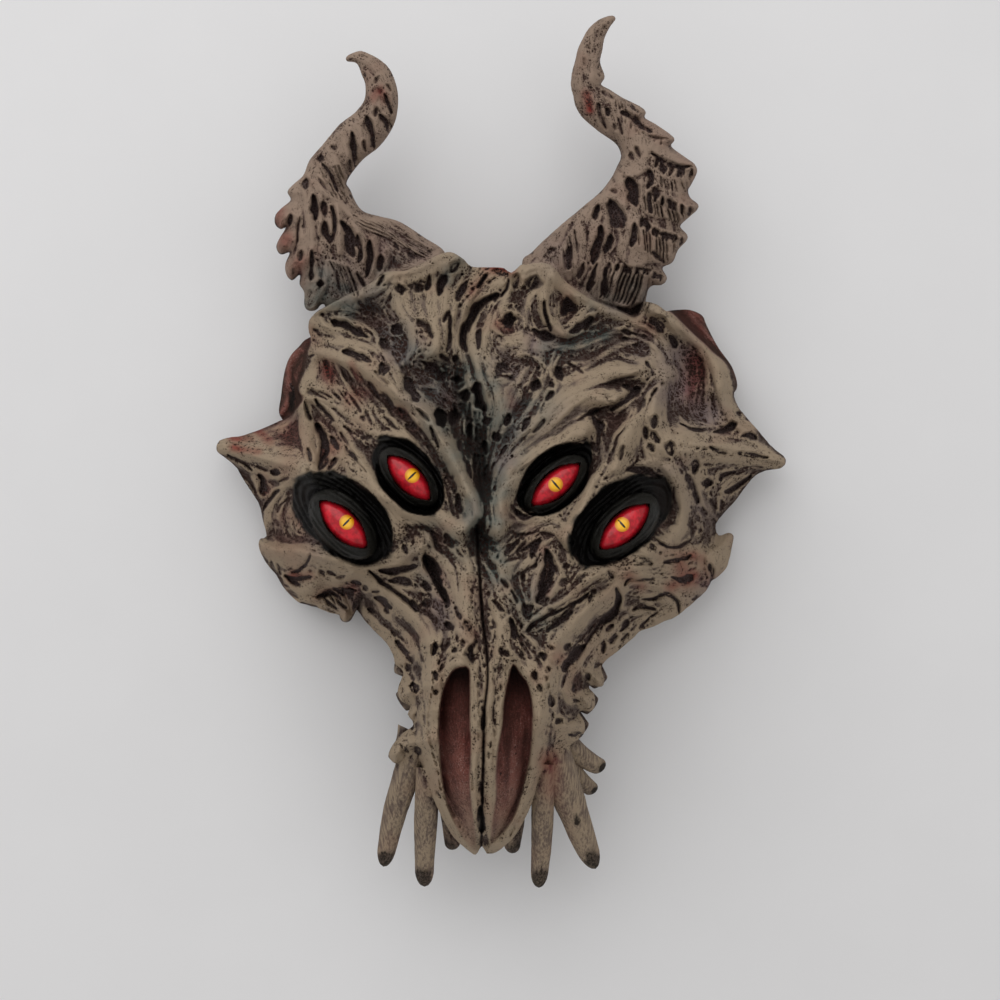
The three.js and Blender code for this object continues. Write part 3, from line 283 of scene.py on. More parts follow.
        ([7, 26.5, -1.5, -9, -5.5, -10, -2, -9.5, -2.5, -13], (1.2, 1), (1, 0.9)),
        ([18, 21, -5.5, -9, -7, -10, -5.5, -9.5, -3.5, -10], (1.1, 1), (1, 0.9)),
        ([23.5, 18.5, -7.5, -9, -9, -8], 1, 0.8), ([27, 43, -7, -9, -6.5, -7.5], 1.2, 1),
        ([56, 60, 10.5, -4.5, 7.5, -6.5, 3.5, -7], 1.4, 1.2),
        ([50.5, 53.5, 10.5, -2.5, 9, -5.5, 4, -6.5], 1.2, 1),
    ],
    "muzzle": [
        ([-30.5, -90.5, -0.5, -17, 0, -18, 1, -15.5, 3.5, -14, 6, -13, 7, -10], (3, 2.4), (1.8, 1.6)),
        ([-34, -96, -1, -16, 0, -18, 2.5, -14.5, 4.5, -12.5], (1.4, 1.2), (1.2, 1)),
        ([-26, -99.5, 3.5, 3.5, 4.5, 1.5, 4.5, -2.5, 2, -8], (1.5, 1.3), (1.2, 1)),
        ([-10, -94, -0.5, -18, 0.5, -18, -2, -19, 1.5, -13.5], (1.5, 1.1), (1.4, 1.2)),
        ([-4.5, -96, -0.5, -16, 0.5, -18, 0, -22.5, -0.5, -20.5], (1.8, 1.6), 1.4),
        ([2, -96, -0.5, -11.5, -1.5, -11, -1.5, -12.5, -0.5, -21.5], (1.1, 0.9), (1.2, 1)),
        ([5.5, -90.5, 5.5, -8, 4.5, -9, 2, -11.5, -0.5, -15.5, -2, -14.5, -5, -13.5, -8, -11.5],
        (1.8, 2.6), (1.4, 2)),
        ([21.5, -90.5, 0, -17, -1, -16.5, -1.5, -15, -3, -13.5], (2.4, 1.6), (1.6, 1.2)),
        ([27, -96, -2, -11.5, 0, -11.5], 1.4, (1.2, 1)),
        ([-13.5, -178.5, 2.5, -2, 2, 2.5], (2.4, 1.6), (1.4, 1)),
        ([-5.5, -178.5, 3.5, -1, 4.5, 2.5], 2.4, (1.4, 1)), ([-43, -96, 2.5, -9, 2, -9], 1.4, 1.2),
        ([-38, -115, -2.5, -8, 2.5, -9], 1.4, 1.2), ([-43, -133.5, -3, -3], 3, 1.6),
        ([33.5, -97.5, -4, -10, 3, -7.5, 4.5, 1], (1.8, 2.2), (1.4, 1.6)),
        ([27, -119, 3.5, -5, 3.5, 2], (2, 2.2), 1.4),
    ],
    "left horn": [
        ([-72, 142.5, 2.5, -9.5, 1.5, -8.5], (2.8, 2.4), (2.2, 2)),
        ([-77.5, 135.5, 4.5, -8, 3, -7.5], (2, 1.8), 1.6),
        ([-64, 147, 2, -8, 1, -8], (2.6, 2.2), (2.2, 2)),
        ([-57.5, 155, 2.5, -9, 1.5, -7], (2.2, 2), (2, 1.8)),
        ([-52, 161.5, 2.5, -6.5, 1.5, -5], (1.6, 1.4), 1.4),
        ([-62, 161.5, 4.5, -3.5, 3.5, -3.5], (1.6, 1.4), (1.4, 1.2)),
        ([-57.5, 173, 3.5, -7, -2.5, -7], (2.2, 2), 1),
        ([-65.5, 176, 7, -2, 6.5, -7, 3.5, -9], (2.2, 1.8), (1, 1.2)),
        ([-88, 125.5, 7, -8, 11, -8, 9.5, -6.5, 12, -6, 12.5, -6.5], (1.8, 1.6), 1.4),
        ([-66.5, 110, 10, -3.5, 9.5, -3.5, 9, -6, 9, -6.5], (1.1, 1), (1.2, 1)),
        ([-67.5, 107, 10, -4, 12.5, -4.5, 12.5, -8.5], 0.9, (1, 0.9)),
        ([-65, 103, 11, -5.5, 11, -3, 9, -6.5], 0.9, (1, 0.9)),
        ([-80, 129, 4.5, -9, 5.5, -7], 0.9, (1, 0.9)),
        ([-76.5, 131, 4.5, -10, 5.5, -10], 0.9, (1, 0.9)),
        ([-82, 124, 5.5, -7.5, 5.5, -6.5], 0.9, (0.9, 0.8)),
        ([-81, 115.5, 0, -9, 1, -8], (1.6, 1.4), (2, 1.8)),
        ([-73, 111, 1, -10, 0, -11.5], (1.8, 1.6), (2, 1.8)),
        ([-66.5, 104, 4, -7, 0.5, -12], 1.4, (1.8, 1.6)),
        ([-57, 96, 0, -11, -1, -9], (2.2, 1.8), (1.8, 1.6)),
        ([-89, 119, 0.5, -6, 2, -5.5, 2, -10.5, -3, -12], (2.4, 2.6), 1.6),
        ([-51, 90.5, 1, -8], (1.6, 1.4), (1.4, 1.2)),
        ([-76.5, 85, 8, -2.5, 6.5, -8.5], (1.6, 1.4), (1.2, 1)),
        ([-74.5, 68, 11.5, 2, 11.5, 3.5], (2, 1.4), (1.6, 1.2)),
        ([-78.5, 82.5, -0.5, -8.5, -3, -6], 1.4, 1.2), ([-71, 80.5, 1.5, -8], 1.2, (1, 0.9)),
    ],
    "right horn": [
        ([48.5, 195, -6, -4.5, -4.5, -6.5, -3, -8, 0, -10, 3, -10], 2, (0.8, 1)),
        ([45, 192, 0, -9, -2.5, -8, 0.5, -8, 6.5, -5.5], 1.6, (0.8, 1)),
        ([40.5, 160, 6.5, -7.5, 5, -8, 4.5, -8], (1.8, 1.6), 1),
        ([47, 115.5, -4, -4.5, -4.5, -5, -3.5, -5], (1.8, 1.6), 1.2),
        ([47.5, 115, 1, -9, -1, -11, -2.5, -7], (1.8, 1.4), (1.8, 1.2)),
        ([63, 121, 1, -8, 4.5, -5.5], (2.4, 1.6), (1.8, 1.2)),
        ([52, 125.5, -3.5, -6.5, 6.5, -4, 1.5, -5.5], (2, 1.6), 1.2),
        ([55, 84, -4.5, -17], 0.9, (3.2, 3)), ([58.5, 83, -4, -16], 0.9, (3.2, 3)),
        ([62, 82.5, -3.5, -16.5], 0.9, (3.2, 3)), ([65.5, 80.5, -3.5, -13.5], 0.9, (3.2, 3)),
        ([66.5, 103, 1, -16], 0.9, (2.6, 3.2)), ([70, 100.5, 2, -13.5], 0.9, (2.6, 3.2)),
        ([74, 97.5, 1.5, -9.5], 0.9, (2.6, 3.2)), ([71, 118.5, 2, -12.5], 0.9, (2, 2.6)),
        ([74.5, 116.5, 3, -11.5], 0.9, (2, 2.6)), ([78.5, 114, 2.5, -10], 0.9, (2, 2.6)),
        ([25, 97, -5, -6.5, -4.5, -5.5], (2.2, 1.8), 1.2),
        ([29.5, 100.5, -4.5, -8.5, -1.5, -7], 1.4, 1),
    ],
}

# Holes between the strands, dark inside.
holes = {
    "crown": [
        ([-75, 58, 7, -2, 8, -5], (2.6, 1.6), 4), ([-70, 45, 5, -1, 7, -4], (1.7, 1.6), 3.4),
        ([-53, 39, 1, -5], 2.4, 3.6), ([-42, 33, 2, -5, 3, -5], (2.4, 3), 5),
        ([-33, 39, 5, -3], 3.4, 3), ([-28, 35, 2, -3], 2.2, 3), ([-19, 34, 0, -2], 3, 4.4),
        ([-36, 59, 4, -5, 2, -3], (2.2, 1.4), 2), ([-48, 57, 4, -3], 2.6, 3),
        ([-53, 50, 3, -4], 2.2, 3), ([-45, 74, 1, -3], 2.6, 2.4), ([-38, 75, 2, -3], 1.6, 2),
        ([-32, 79, -2, -7], 1.4, 2.2), ([-24, 79, -3, -5, -1, -4], (2.4, 1.4), 3.4),
        ([-19, 85, -3, -4], 2, 2.4), ([-23, 63, -2, -5], 1.2, 2),
        ([-15, 76, -3, -4, -2, -4], (1.8, 1.4), 2.6), ([-6, 79, -4, -6], (2, 1.4), 3),
        ([-2, 81, 5, -2], 1.6, 2.6), ([0, 70, -7, -4, -5, -4, -3, -6, -1, -6, 1, -5], (2.4, 1.6), 4.6),
        ([-22, 61, 0, -9, -2, -7], 1, 2), ([-20, 43, -1, -3], 1.4, 2.2), ([-27, 44, 3, -3], 1.4, 2),
        ([-9, 54, -1, -8], 1.6, 2.4), ([2, 58, 4, 1], 5, 5), ([0, 38, 3, -2], 5.2, 2.6),
        ([-5, 27, 0, 0], 1.4, 2.4), ([16, 79, -2, -6], 3.2, 2), ([4, 80, 0, -6, -3, -5], 0.9, 2.2),
        ([8, 79, -1, -6], 2, 1.8), ([30, 69, 0, -4, -2, -3], 3, 4.4),
        ([20, 68, 1, -7, 2, -7], 1.1, 2.4), ([15, 54, 4, -2, 6, -1], 2.2, 3.6),
        ([42, 60, -4, -3, -6, -3], 2.2, 3.6), ([17, 32, -2, -5], (1.6, 2.2), 4),
        ([25, 37, 2, -5], 2.5, 3.4), ([22, 30, 1, -2], 1.6, 2.6), ([23, 26, -3, -4], 1.4, 2.6),
        ([31, 39, 6, -4], 1, 1.6), ([4, 17, -2, -5], 1.7, 3.2), ([13, 15, -3, -5], 1.5, 3.2),
        ([19, 15, -4, -6], 0.9, 1.6), ([-7, 15, 1, -3], 2, 2.6), ([-14, 28, -1, -5], 2.4, 3),
        ([-10, 31, 1, -8, 2, -5], 2.2, 5), ([-28, 18, 2, -6], 3.4, 5), ([-20, 18, -2, -6], 3, 4.4),
        ([-13, 12, 0, -7], 1.2, 3), ([-7, 4, 1, -6], 1.6, 3.4), ([-3, 8, 2, -3], 1.8, 2.6),
        ([3, 3, -2, -4], 1.3, 2.4), ([-18, 4, 0, -4], 1.6, 2.4), ([-12, -2, 1, -8], 1.2, 2.6),
        ([-5, -7, -1, -7], 1.2, 2.4), ([-15, -5, 2, -7], 1, 2), ([68, 60, 5, -6], 3.4, 2.4),
        ([76, 52, 3, -5], 2.4, 3.6), ([60, 47, 6, -3], 2.8, 1.6), ([55, 54, 4, -1], 1.8, 1.6),
        ([68, 60, 7, -2], 2.2, 2),
    ],
    "left brow": [
        ([-70, 36, 2, -5], 0.9, 1.4), ([-66, 38, 3, -6], 1, 1.5), ([-58, 31, 4, -8], 1.2, 2),
        ([-52, 26, 5, -8], 1.3, 2), ([-45, 19, 7, -9], 1.8, 2.4), ([-67, 24, 4, -6], 0.9, 1.4),
        ([-61, 18, 3, -6], 1, 1.6), ([-52, 15, 6, -6], 1.2, 1.8), ([-42, 11, 6, -6], 1.4, 2),
        ([-37, 19, 5, -6], 1.2, 1.8), ([-32, 11, 4, -10], 1.2, 2), ([-85, 27, 7, -4], 0.9, 1.3),
        ([-82, 21, 6, -8], 1.2, 1.6), ([-78, 41, 1, -5], 1.8, 1.8), ([-72, 9, 5, -9, 7, -10], 0.8, 1.4),
        ([-83, 12, 4, -6, 0, -8, -3, -5], (2, 2.6), 5.4), ([-88, 22, 3, -8], 0.9, 2),
        ([-83, 23, 4, -6, 4, -3], (0.7, 1.2), 2), ([-76, 7, 3, -6], 1.6, 3),
        ([-87, 2, 2, -6], 1.1, 2.4), ([-86, -7, 1, -3], 0.9, 1.6), ([-78, -7, 5, 4], 1.2, 2.4),
        ([-70, 2, 6, -6], 1.4, 2.4), ([-82, 27, 6, -3], 0.8, 1.8), ([-70, 27, 0, -2], 0.9, 1.6),
        ([-63, 16, 2, -2], 1, 1.6), ([-71, 12, 7, -5], 0.7, 1.6), ([-62, 6, 4, 1], 0.9, 1.6),
        ([-65, 10, 5, -5], 0.9, 1.2), ([-25, -12, 3, -10, 1, -7], 0.9, 1.6),
        ([-19, -19, 1, -9], 1.3, 2), ([-67, 31, 5, -7], 0.8, 1.2), ([-74, 28, 6, -7], 0.8, 1.2),
        ([-56, 36, 6, -6], 0.8, 1.2),
    ],
    "left side": [
        ([-109, -11, 2, -3, 1, -6], (1.4, 2.6), 3.4), ([-106, -27, 2, 4, 5, 5], (0.8, 1.3), 2.4),
        ([-94, 30, 1, -5, -1, -5], (1, 1.6), 3), ([-123, -1, 6, -3, 5, -5], (0.8, 1.2), 2.2),
        ([-119, -7, 5, -6, 4, -6], 0.9, 1.4), ([-105, 1, 3, 0], 0.8, 1.2),
        ([-110, -7, 5, -2], 0.8, 1.6), ([-103, -9, 4, -1], 1.8, 2.2), ([-99, -14, 5, 2], 0.9, 1.6),
        ([-97, -55, 5, -3, 7, 1], (1.4, 2.4), 3.4), ([-82, -66, 6, 2, 9, 1], (1.2, 2.6), 4.4),
        ([-78, -67, 5, -4], 1, 2.2), ([-74, -66, 5, -5], 1.2, 2.4), ([-68, -59, 4, -1], 1.8, 3),
        ([-65, -66, 0, -7], (2.2, 1.4), 3.6), ([-89, -68, 3, -2, 4, -1], 1.3, 2.4),
        ([-80, -71, 5, -1], 0.8, 1.6), ([-96, -62, 6, -4], 1, 1.6), ([-103, -49, 2, -7], 0.9, 1.8),
        ([-100, -50, 1, -5], 0.8, 1.6), ([-85, -47, -1, -3, -4, -3, -4, -1], 0.9, 2.2),
        ([-81, -54, 2, -2], 1.5, 2.2), ([-77, -54, 2, -2], 1.2, 1.8), ([-74, -57, 4, 1], 0.9, 1.6),
        ([-101, -31, 1, -3], 0.9, 1.2), ([-100, -28, 2, 4, 4, 3], 0.8, 1.6),
    ],
    "nose": [
        ([-55, -54, 9, 0, 8, 2], (0.8, 1.9), 3), ([-50, -58, 5, 0, 5, -2], (1, 2.4), 3),
        ([-34, -47, 3, -6, 3, -7, 4, -8], (3.6, 2.4), 8), ([-35, -59, 3, -4], 1.6, 2.6),
        ([-60, -54, 6, -4, 7, -5, 10, -9], (1.2, 0.9), 3), ([-63, -61, 3, -1], 1.6, 2.6),
        ([-58, -63, 4, 0], 1.2, 2.4), ([-56, -66, 4, -1, 3, -4], (1.6, 2), 3.4),
        ([-59, -72, 3, -1], 1.4, 2.2), ([-51, -71, 1, -2], 1.3, 2), ([-34, -67, 2, -3], 2, 2.6),
        ([-40, -67, 4, -5], 1, 2), ([-24, -78, 2, -3], 2.2, 3.4), ([-23, -67, -1, -4], 1.4, 2.8),
        ([-20, -70, 2, -6], 1.5, 2.4), ([-16, -77, 2, -4], 2, 2.4), ([-29, -87, -1, -5], 1.8, 3),
        ([-47, -86, 5, -5, 3, -5], 1.8, 2.8), ([-49, -82, 2, -1], 1, 1.6),
        ([-18, -85, 1, -3], 1.3, 2.2), ([-11, -85, -3, -5, 2, -4], (1.2, 2.2), 2.6),
        ([-31, -36, 3, -7, 2, -4], (1.2, 1), 2.2), ([-25, -37, 3, -6], 1.6, 2),
        ([-44, -43, 2, -4], 1.5, 2.4), ([-20, -44, 3, -3], 1.2, 1.6), ([-14, -44, 1, -3], 1, 1.4),
        ([-35, -37, 1, -5], 0.8, 1.2), ([21, -45, 1, -7, -1, -8, -4, -8], (3.6, 3), 5.4),
        ([5, -42, -2, -5], 1.5, 2.2), ([12, -40, -4, -5], 1.2, 2), ([17, -42, -3, -5], 1.5, 2.2),
        ([10, -55, 1, -3], 1.2, 1.6), ([1, -58, 3, -4], 1, 1.8), ([5, -63, 3, -6], 1, 1.8),
        ([5, -75, 2, -9], 2, 3.6), ([-3, -67, 5, -5], 1.2, 2), ([-3, -77, 1, -3], 1.2, 1.4),
        ([-5, -63, 0, -3], 1, 1.4), ([11, -70, 3, -4], 2.6, 2.4), ([13, -80, 3, 3, 5, 2], 1.1, 2.8),
        ([27, -74, 5, 5, 8, 6], (1.2, 0.8), 2.6), ([28, -60, 2, 3], 1.2, 1.2),
        ([40, -67, 1, 3], 1.2, 2), ([22, -81, 4, 4, 6, 5], (1.6, 2), 2.2), ([22, -71, 2, -1], 1.2, 1.4),
        ([0, -88, 1, -4], 1.2, 2), ([10, -91, 0, -2], 1.1, 1.6), ([19, -91, 1, -3], 1.3, 2),
        ([12, -86, 2, -2], 1, 1.2), ([23, -88, 1, -2], 1, 1.4), ([30, -90, 2, 1], 1.2, 1.4),
        ([-5, -49, 3, -4], 2, 1.6), ([-4, -44, 3, -1], 1.6, 1.4),
    ],
    "right cheek": [
        ([52, -62, 1, -6, -4, -6, -4, -3], (1.2, 2.2), 4.4), ([45, -77, -4, -6, -3, -4], 0.8, 2),
        ([38, -87, -6, -5, -5, -7], (1.6, 2.8), 4.4), ([14, -79, 8, 5, 10, 6, 8, 5], (1, 0.8), 2.6),
        ([73, -50, 7, 0, 6, 3], 1.8, 3), ([77, -57, 5, -2, 4, 2], (0.8, 3.2), 3),
        ([94, -50, 1, -4, 0, -6], (1.2, 1.8), 3), ([70, -40, 4, -3, 6, -1, 6, 4], 0.8, 2),
        ([56, -61, 2, 3, 5, 0, 6, 1], 1, 2), ([58, -62, 4, 1], 1.2, 1.6),
        ([63, -67, 6, 1, 6, 2, 5, -4, 1, -5], (0.8, 1), 2.4), ([59, -72, 4, 2, 7, -1], (0.8, 1.6), 2.6),
        ([63, -80, 4, 5, 4, 3], 1, 2.2), ([57, -76, -3, -5], 1.6, 2.4), ([52, -82, -2, -4], 1.4, 2),
        ([47, -85, -1, -6], 1.4, 2), ([50, -78, -2, -3], 1.2, 1.8), ([55, -85, 3, 3], 1.2, 1.8),
        ([68, -42, 1, -3], 1.6, 2), ([63, -50, 5, 0], 1.4, 2), ([41, -62, 2, -2], 1, 1.4),
        ([40, -67, 1, 0], 1.3, 2), ([49, -54, 2, -3], 1.3, 1.8), ([28, -52, 3, 1], 1.2, 1.6),
        ([27, -60, 2, 3], 1.2, 1.6), ([22, -88, 1, -2], 0.9, 1.6), ([9, -90, 1, -1], 1, 1.6),
        ([18, -91, 1, -2], 1.2, 2), ([21, -97, 1, -2], 0.8, 1.6), ([14, -100, 1, -2], 1.2, 1.8),
        ([38, -100, 2, -3], 1.5, 2.2), ([42, -98, 3, 2], 1.2, 1.8), ([29, -90, 2, 3], 1.2, 2),
        ([12, -72, 3, 2], 1.5, 2), ([18, -69, 4, 3], 1.5, 2), ([29, -72, 4, 3], 1.6, 2),
        ([35, -68, 4, 4], 1.3, 1.8), ([56, -45, 3, 2], 1, 1.4), ([86, -67, 3, 2], 1.2, 1.6),
    ],
    "right brow": [
        ([70, 16, -1, -6], (2.4, 1.8), 3), ([68, 8, 3, -4], 2, 2.6), ([65, 10, 1, -5], 1.4, 2),
        ([76, 4, 0, -6], (2, 2.4), 3), ([67, 3, 2, -3], 1.6, 2), ([65, 23, -3, -6], 1.2, 1.6),
        ([65, 40, 3, -4, -2, -4], 1.5, 2.4), ([56, 29, 3, -2, -3, -5], 1.5, 2.4),
        ([42, 14, 3, -5, -1, -6], 1.4, 2.2), ([68, 25, 3, 4], 1, 1.6), ([73, 32, 0, -2], 0.7, 1.6),
        ([81, 12, 5, -2, 7, 1], (0.8, 1.4), 2.4), ([96, 9, 5, 1, 5, 2], (0.8, 3), 3.4),
        ([109, 7, 3, 1, 3, -2], (1.2, 2.2), 3), ([94, 2, 4, -2, 4, -1], (0.8, 2), 3),
        ([107, -1, 6, -1, 8, -1], (2, 0.9), 3), ([86, -5, 3, -1], 3.6, 3), ([93, -13, 0, -3], 3.2, 3.4),
        ([83, -10, 2, -5, 4, -8], (1.6, 2), 2.4), ([99, -13, 1, 2, 6, 2], (1.8, 0.8), 2.6),
        ([106, -9, 6, 2, 7, 0], 0.6, 1.6), ([102, -19, 5, 3, 6, 5], (1.8, 0.8), 2.4),
        ([95, -22, 2, -4], 1.2, 1.8), ([100, -22, -1, -5], 1, 1.6), ([91, -25, 1, -4], 1.2, 1.6),
        ([88, 8, 2, -2], 1.2, 1.4), ([93, 5, 3, -1], 1, 1.4), ([78, -16, 0, -6], 0.6, 1),
        ([45, 12, 1, -4], 2, 3), ([50, 18, 7, 5, 6, 5], (1.6, 2.4), 4.2), ([45, 18, -5, -3], 1.2, 2.2),
        ([41, 4, 3, -4], 1.4, 1.8), ([56, 2, -2, -6], 1.2, 1.4), ([57, -9, 8, 0, 7, -3], 2.2, 2.4),
        ([32, -37, 0, -5], 0.8, 1.4), ([7, -27, 4, -3, 5, 2], (1.6, 1), 2.4),
        ([4, -46, 2, 3, 3, 3], 1.4, 2.2), ([9, -45, 5, 3, 4, 3], 1, 2),
        ([14, -48, 1, 4, 3, 4], 1.4, 2.4),
    ],
    "muzzle": [
        ([-29, -99, 0, -4], 1.6, 2.6), ([-30, -107, 1, -2], 1.4, 2), ([-25, -96, -2, -3], 1, 1.8),
        ([-22, -90, 2, 2], 1.1, 2), ([-16, -90, 1, -2], 1.1, 1.8), ([-26, -90, 3, 4], 1, 1.6),
        ([-39, -104, 1, -4], 2.2, 5), ([-40, -97, -2, -2], 1.8, 2.4), ([-40, -122, 1, -4], 1.4, 2.6),
        ([-36, -133, -1, -4], 2.2, 3), ([-43, -132, 3, -3], 1.4, 2), ([-28, -153, 2, -4], 1, 1.8),
        ([-7, -117, -1, -9], 1.4, 3), ([-9, -160, 0, -7, 0, -4], (1.4, 2.2), 5),
        ([15, -99, 0, -4], 1.4, 2.4), ([17, -105, 1, -3], 1, 2), ([22, -109, 1, -5], 1.6, 3.2),
        ([21, -98, 0, -2], 0.9, 1.4), ([33, -105, 1, -3], 1.4, 2.6), ([25, -123, 3, 2], 1.8, 2.6),
        ([32, -128, 6, 0], 1.6, 3), ([33, -111, 3, -1], 1, 2), ([1, -90, 3, -2], 1.8, 2.4),
        ([-31, -128, 1, -3], 0.9, 1.2), ([-34, -119, 1, -4], 0.9, 1.2), ([19, -157, -1, -3], 1, 1.4),
        ([-6, -67, 1, -18], 0.8, 1), ([33, -164, 1, -3], 1.9, 1.2), ([-9, -148, 0, -7], 0.9, 2),
        ([-13, -144, 1, -9], 0.8, 1.4),
    ],
    "left horn": [
        ([-85, 116, 1, -6, 1, -6], (2, 2.2), 5), ([-80, 112, 1, -6], 1.8, 3.2),
        ([-79, 103, 2, -5, 1, -4], 2.3, 3.6), ([-76, 110, 2, -7, -1, -8], 1.2, 2.8),
        ([-71, 103, 3, -4, 1, -7, 1, -4], (2.2, 2.6), 4.2), ([-64, 98, 1, -8, -1, -5], 1.1, 3),
        ([-59, 95, 0, -8, -1, -8], 1.6, 4), ([-54, 88, 0, -6], 1.9, 3), ([-87, 123, -1, -4], 2.2, 3),
        ([-81, 76, 0, -2], 2.4, 4), ([-85, 72, -1, -7], 2.6, 1.6), ([-99, 106, 0, -4], 2.2, 0.8),
        ([-97, 95, -1, -7], 2.8, 1), ([-91, 85, -1, -7], 2.8, 1.1), ([-94, 107, 0, -6], 1, 2.4),
        ([-90, 106, -1, -13], 0.8, 1.8), ([-89, 90, -1, -4], 1.6, 2),
        ([-84, 90, 0, -7, -1, -6], 1.5, 3.4), ([-74, 81, 2, -9], 1.4, 2.2), ([-65, 80, 4, -6], 1.2, 2),
        ([-52, 80, -3, -5], 1.2, 2.2), ([-47, 93, 2, -3], 1.2, 2), ([-40, 89, 2, -2], 1.4, 1.8),
        ([-81, 133, 0, -3], 1.8, 2.6), ([-80, 129, 4, -5, 3, -7], (1.2, 1), 2.4),
        ([-82, 123, 5, -6], 0.8, 1.6), ([-67, 144, 1, -9, 1, -8], (1, 2.6), 3.6),
        ([-60, 151, 2, -7, 1, -8], (2, 1.6), 3.2), ([-68, 131, 0, -7, -1, -3], (1.8, 1.4), 2.8),
        ([-62, 140, 1, -5], 1, 1.8), ([-54, 152, 3, -5, 1, -4], (1.4, 2.2), 3.2),
        ([-55, 155, -1, -4], 1, 1.6), ([-52, 161, 2, -5, 1, -4], (1.2, 1), 2.4),
        ([-57, 162, 4, 0], 1.8, 1), ([-62, 170, 1, -2], 1.4, 2), ([-57, 165, 2, 3], 0.9, 1.2),
        ([-51, 165, 2, -3], 0.9, 1.4), ([-76, 137, 2, -2], 1.2, 1.8), ([-68, 150, 3, -1], 0.8, 1),
        ([-60, 161, 0, -2], 1, 1.6),
    ],
    "right horn": [
        ([55, 153, 5, -2, 5, -4, 4, -3], (1.3, 1.6), 3), ([65, 144, 5, -3, 6, -1], 1, 1.6),
        ([68, 134, 5, -4, 6, -2, 7, 0], (0.9, 1.2), 3), ([66, 127, 2, -4, -1, -4], 1.8, 3.4),
        ([58, 123, 2, -6, 2, -6], (2.6, 3.4), 5), ([50, 112, 2, -5, 3, -5], (3.4, 4.4), 4.6),
        ([44, 110, -1, -6], (1.6, 2), 3.6), ([46, 101, -2, -8, -1, -8], (2.2, 3.2), 4.6),
        ([50, 97, -2, -7], (2.4, 2), 3.6), ([31, 92, 0, -4, 0, -5], 1.8, 2.8),
        ([70, 119, 2, -4], 2.2, 2.8), ([68, 117, 1, -9], 1.4, 2.6), ([76, 114, 3, -5], 1.4, 2),
        ([61, 103, -1, -6, -1, -5], (1.6, 1.8), 2.6), ([64, 105, 4, -4], 1.8, 2.6),
        ([72, 98, 4, -2, 3, -1], (1.6, 2), 3), ([69, 90, 5, -5], 1, 2),
        ([49, 83, -1, -6, -1, -6], (1.2, 2), 3.4), ([45, 85, -3, -6, -2, -6], (1.2, 1.6), 3),
        ([40, 75, 3, 2], 1.4, 2.4), ([54, 65, 6, -2, 4, 4], (2, 2.2), 3.4), ([61, 83, 7, -1], 0.9, 2),
        ([68, 79, 5, 0], 1.6, 2.6), ([82, 108, 2, -1], 0.6, 1.2),
        ([44, 157, 1, -6, 3, -6], (1.8, 1.2), 2.4), ([48, 155, 1, -4], 1.6, 2.4),
        ([39, 162, 1, -8], 2.6, 1), ([46, 162, 6, -3], 1.4, 2), ([55, 159, 8, -6], 1, 2),
        ([54, 150, 1, -7], 0.8, 1.6), ([51, 148, 1, -3], 0.9, 1.4), ([61, 137, 2, -4], 1.4, 1.8),
        ([58, 135, 2, -3], 1.2, 1.6), ([50, 124, 2, -3], 1.2, 1.6), ([50, 117, 3, -1], 1.4, 1.8),
        ([39, 189, 1, -1], 1.2, 1.4), ([47, 191, 0, -2], 1.2, 1.4), ([39, 183, 1, -2], 0.8, 1),
        ([37, 177, 1, -4], 0.8, 1), ([22, 90, 3, 2], 2, 1.6), ([38, 85, -2, -6], 1.6, 2),
    ],
}

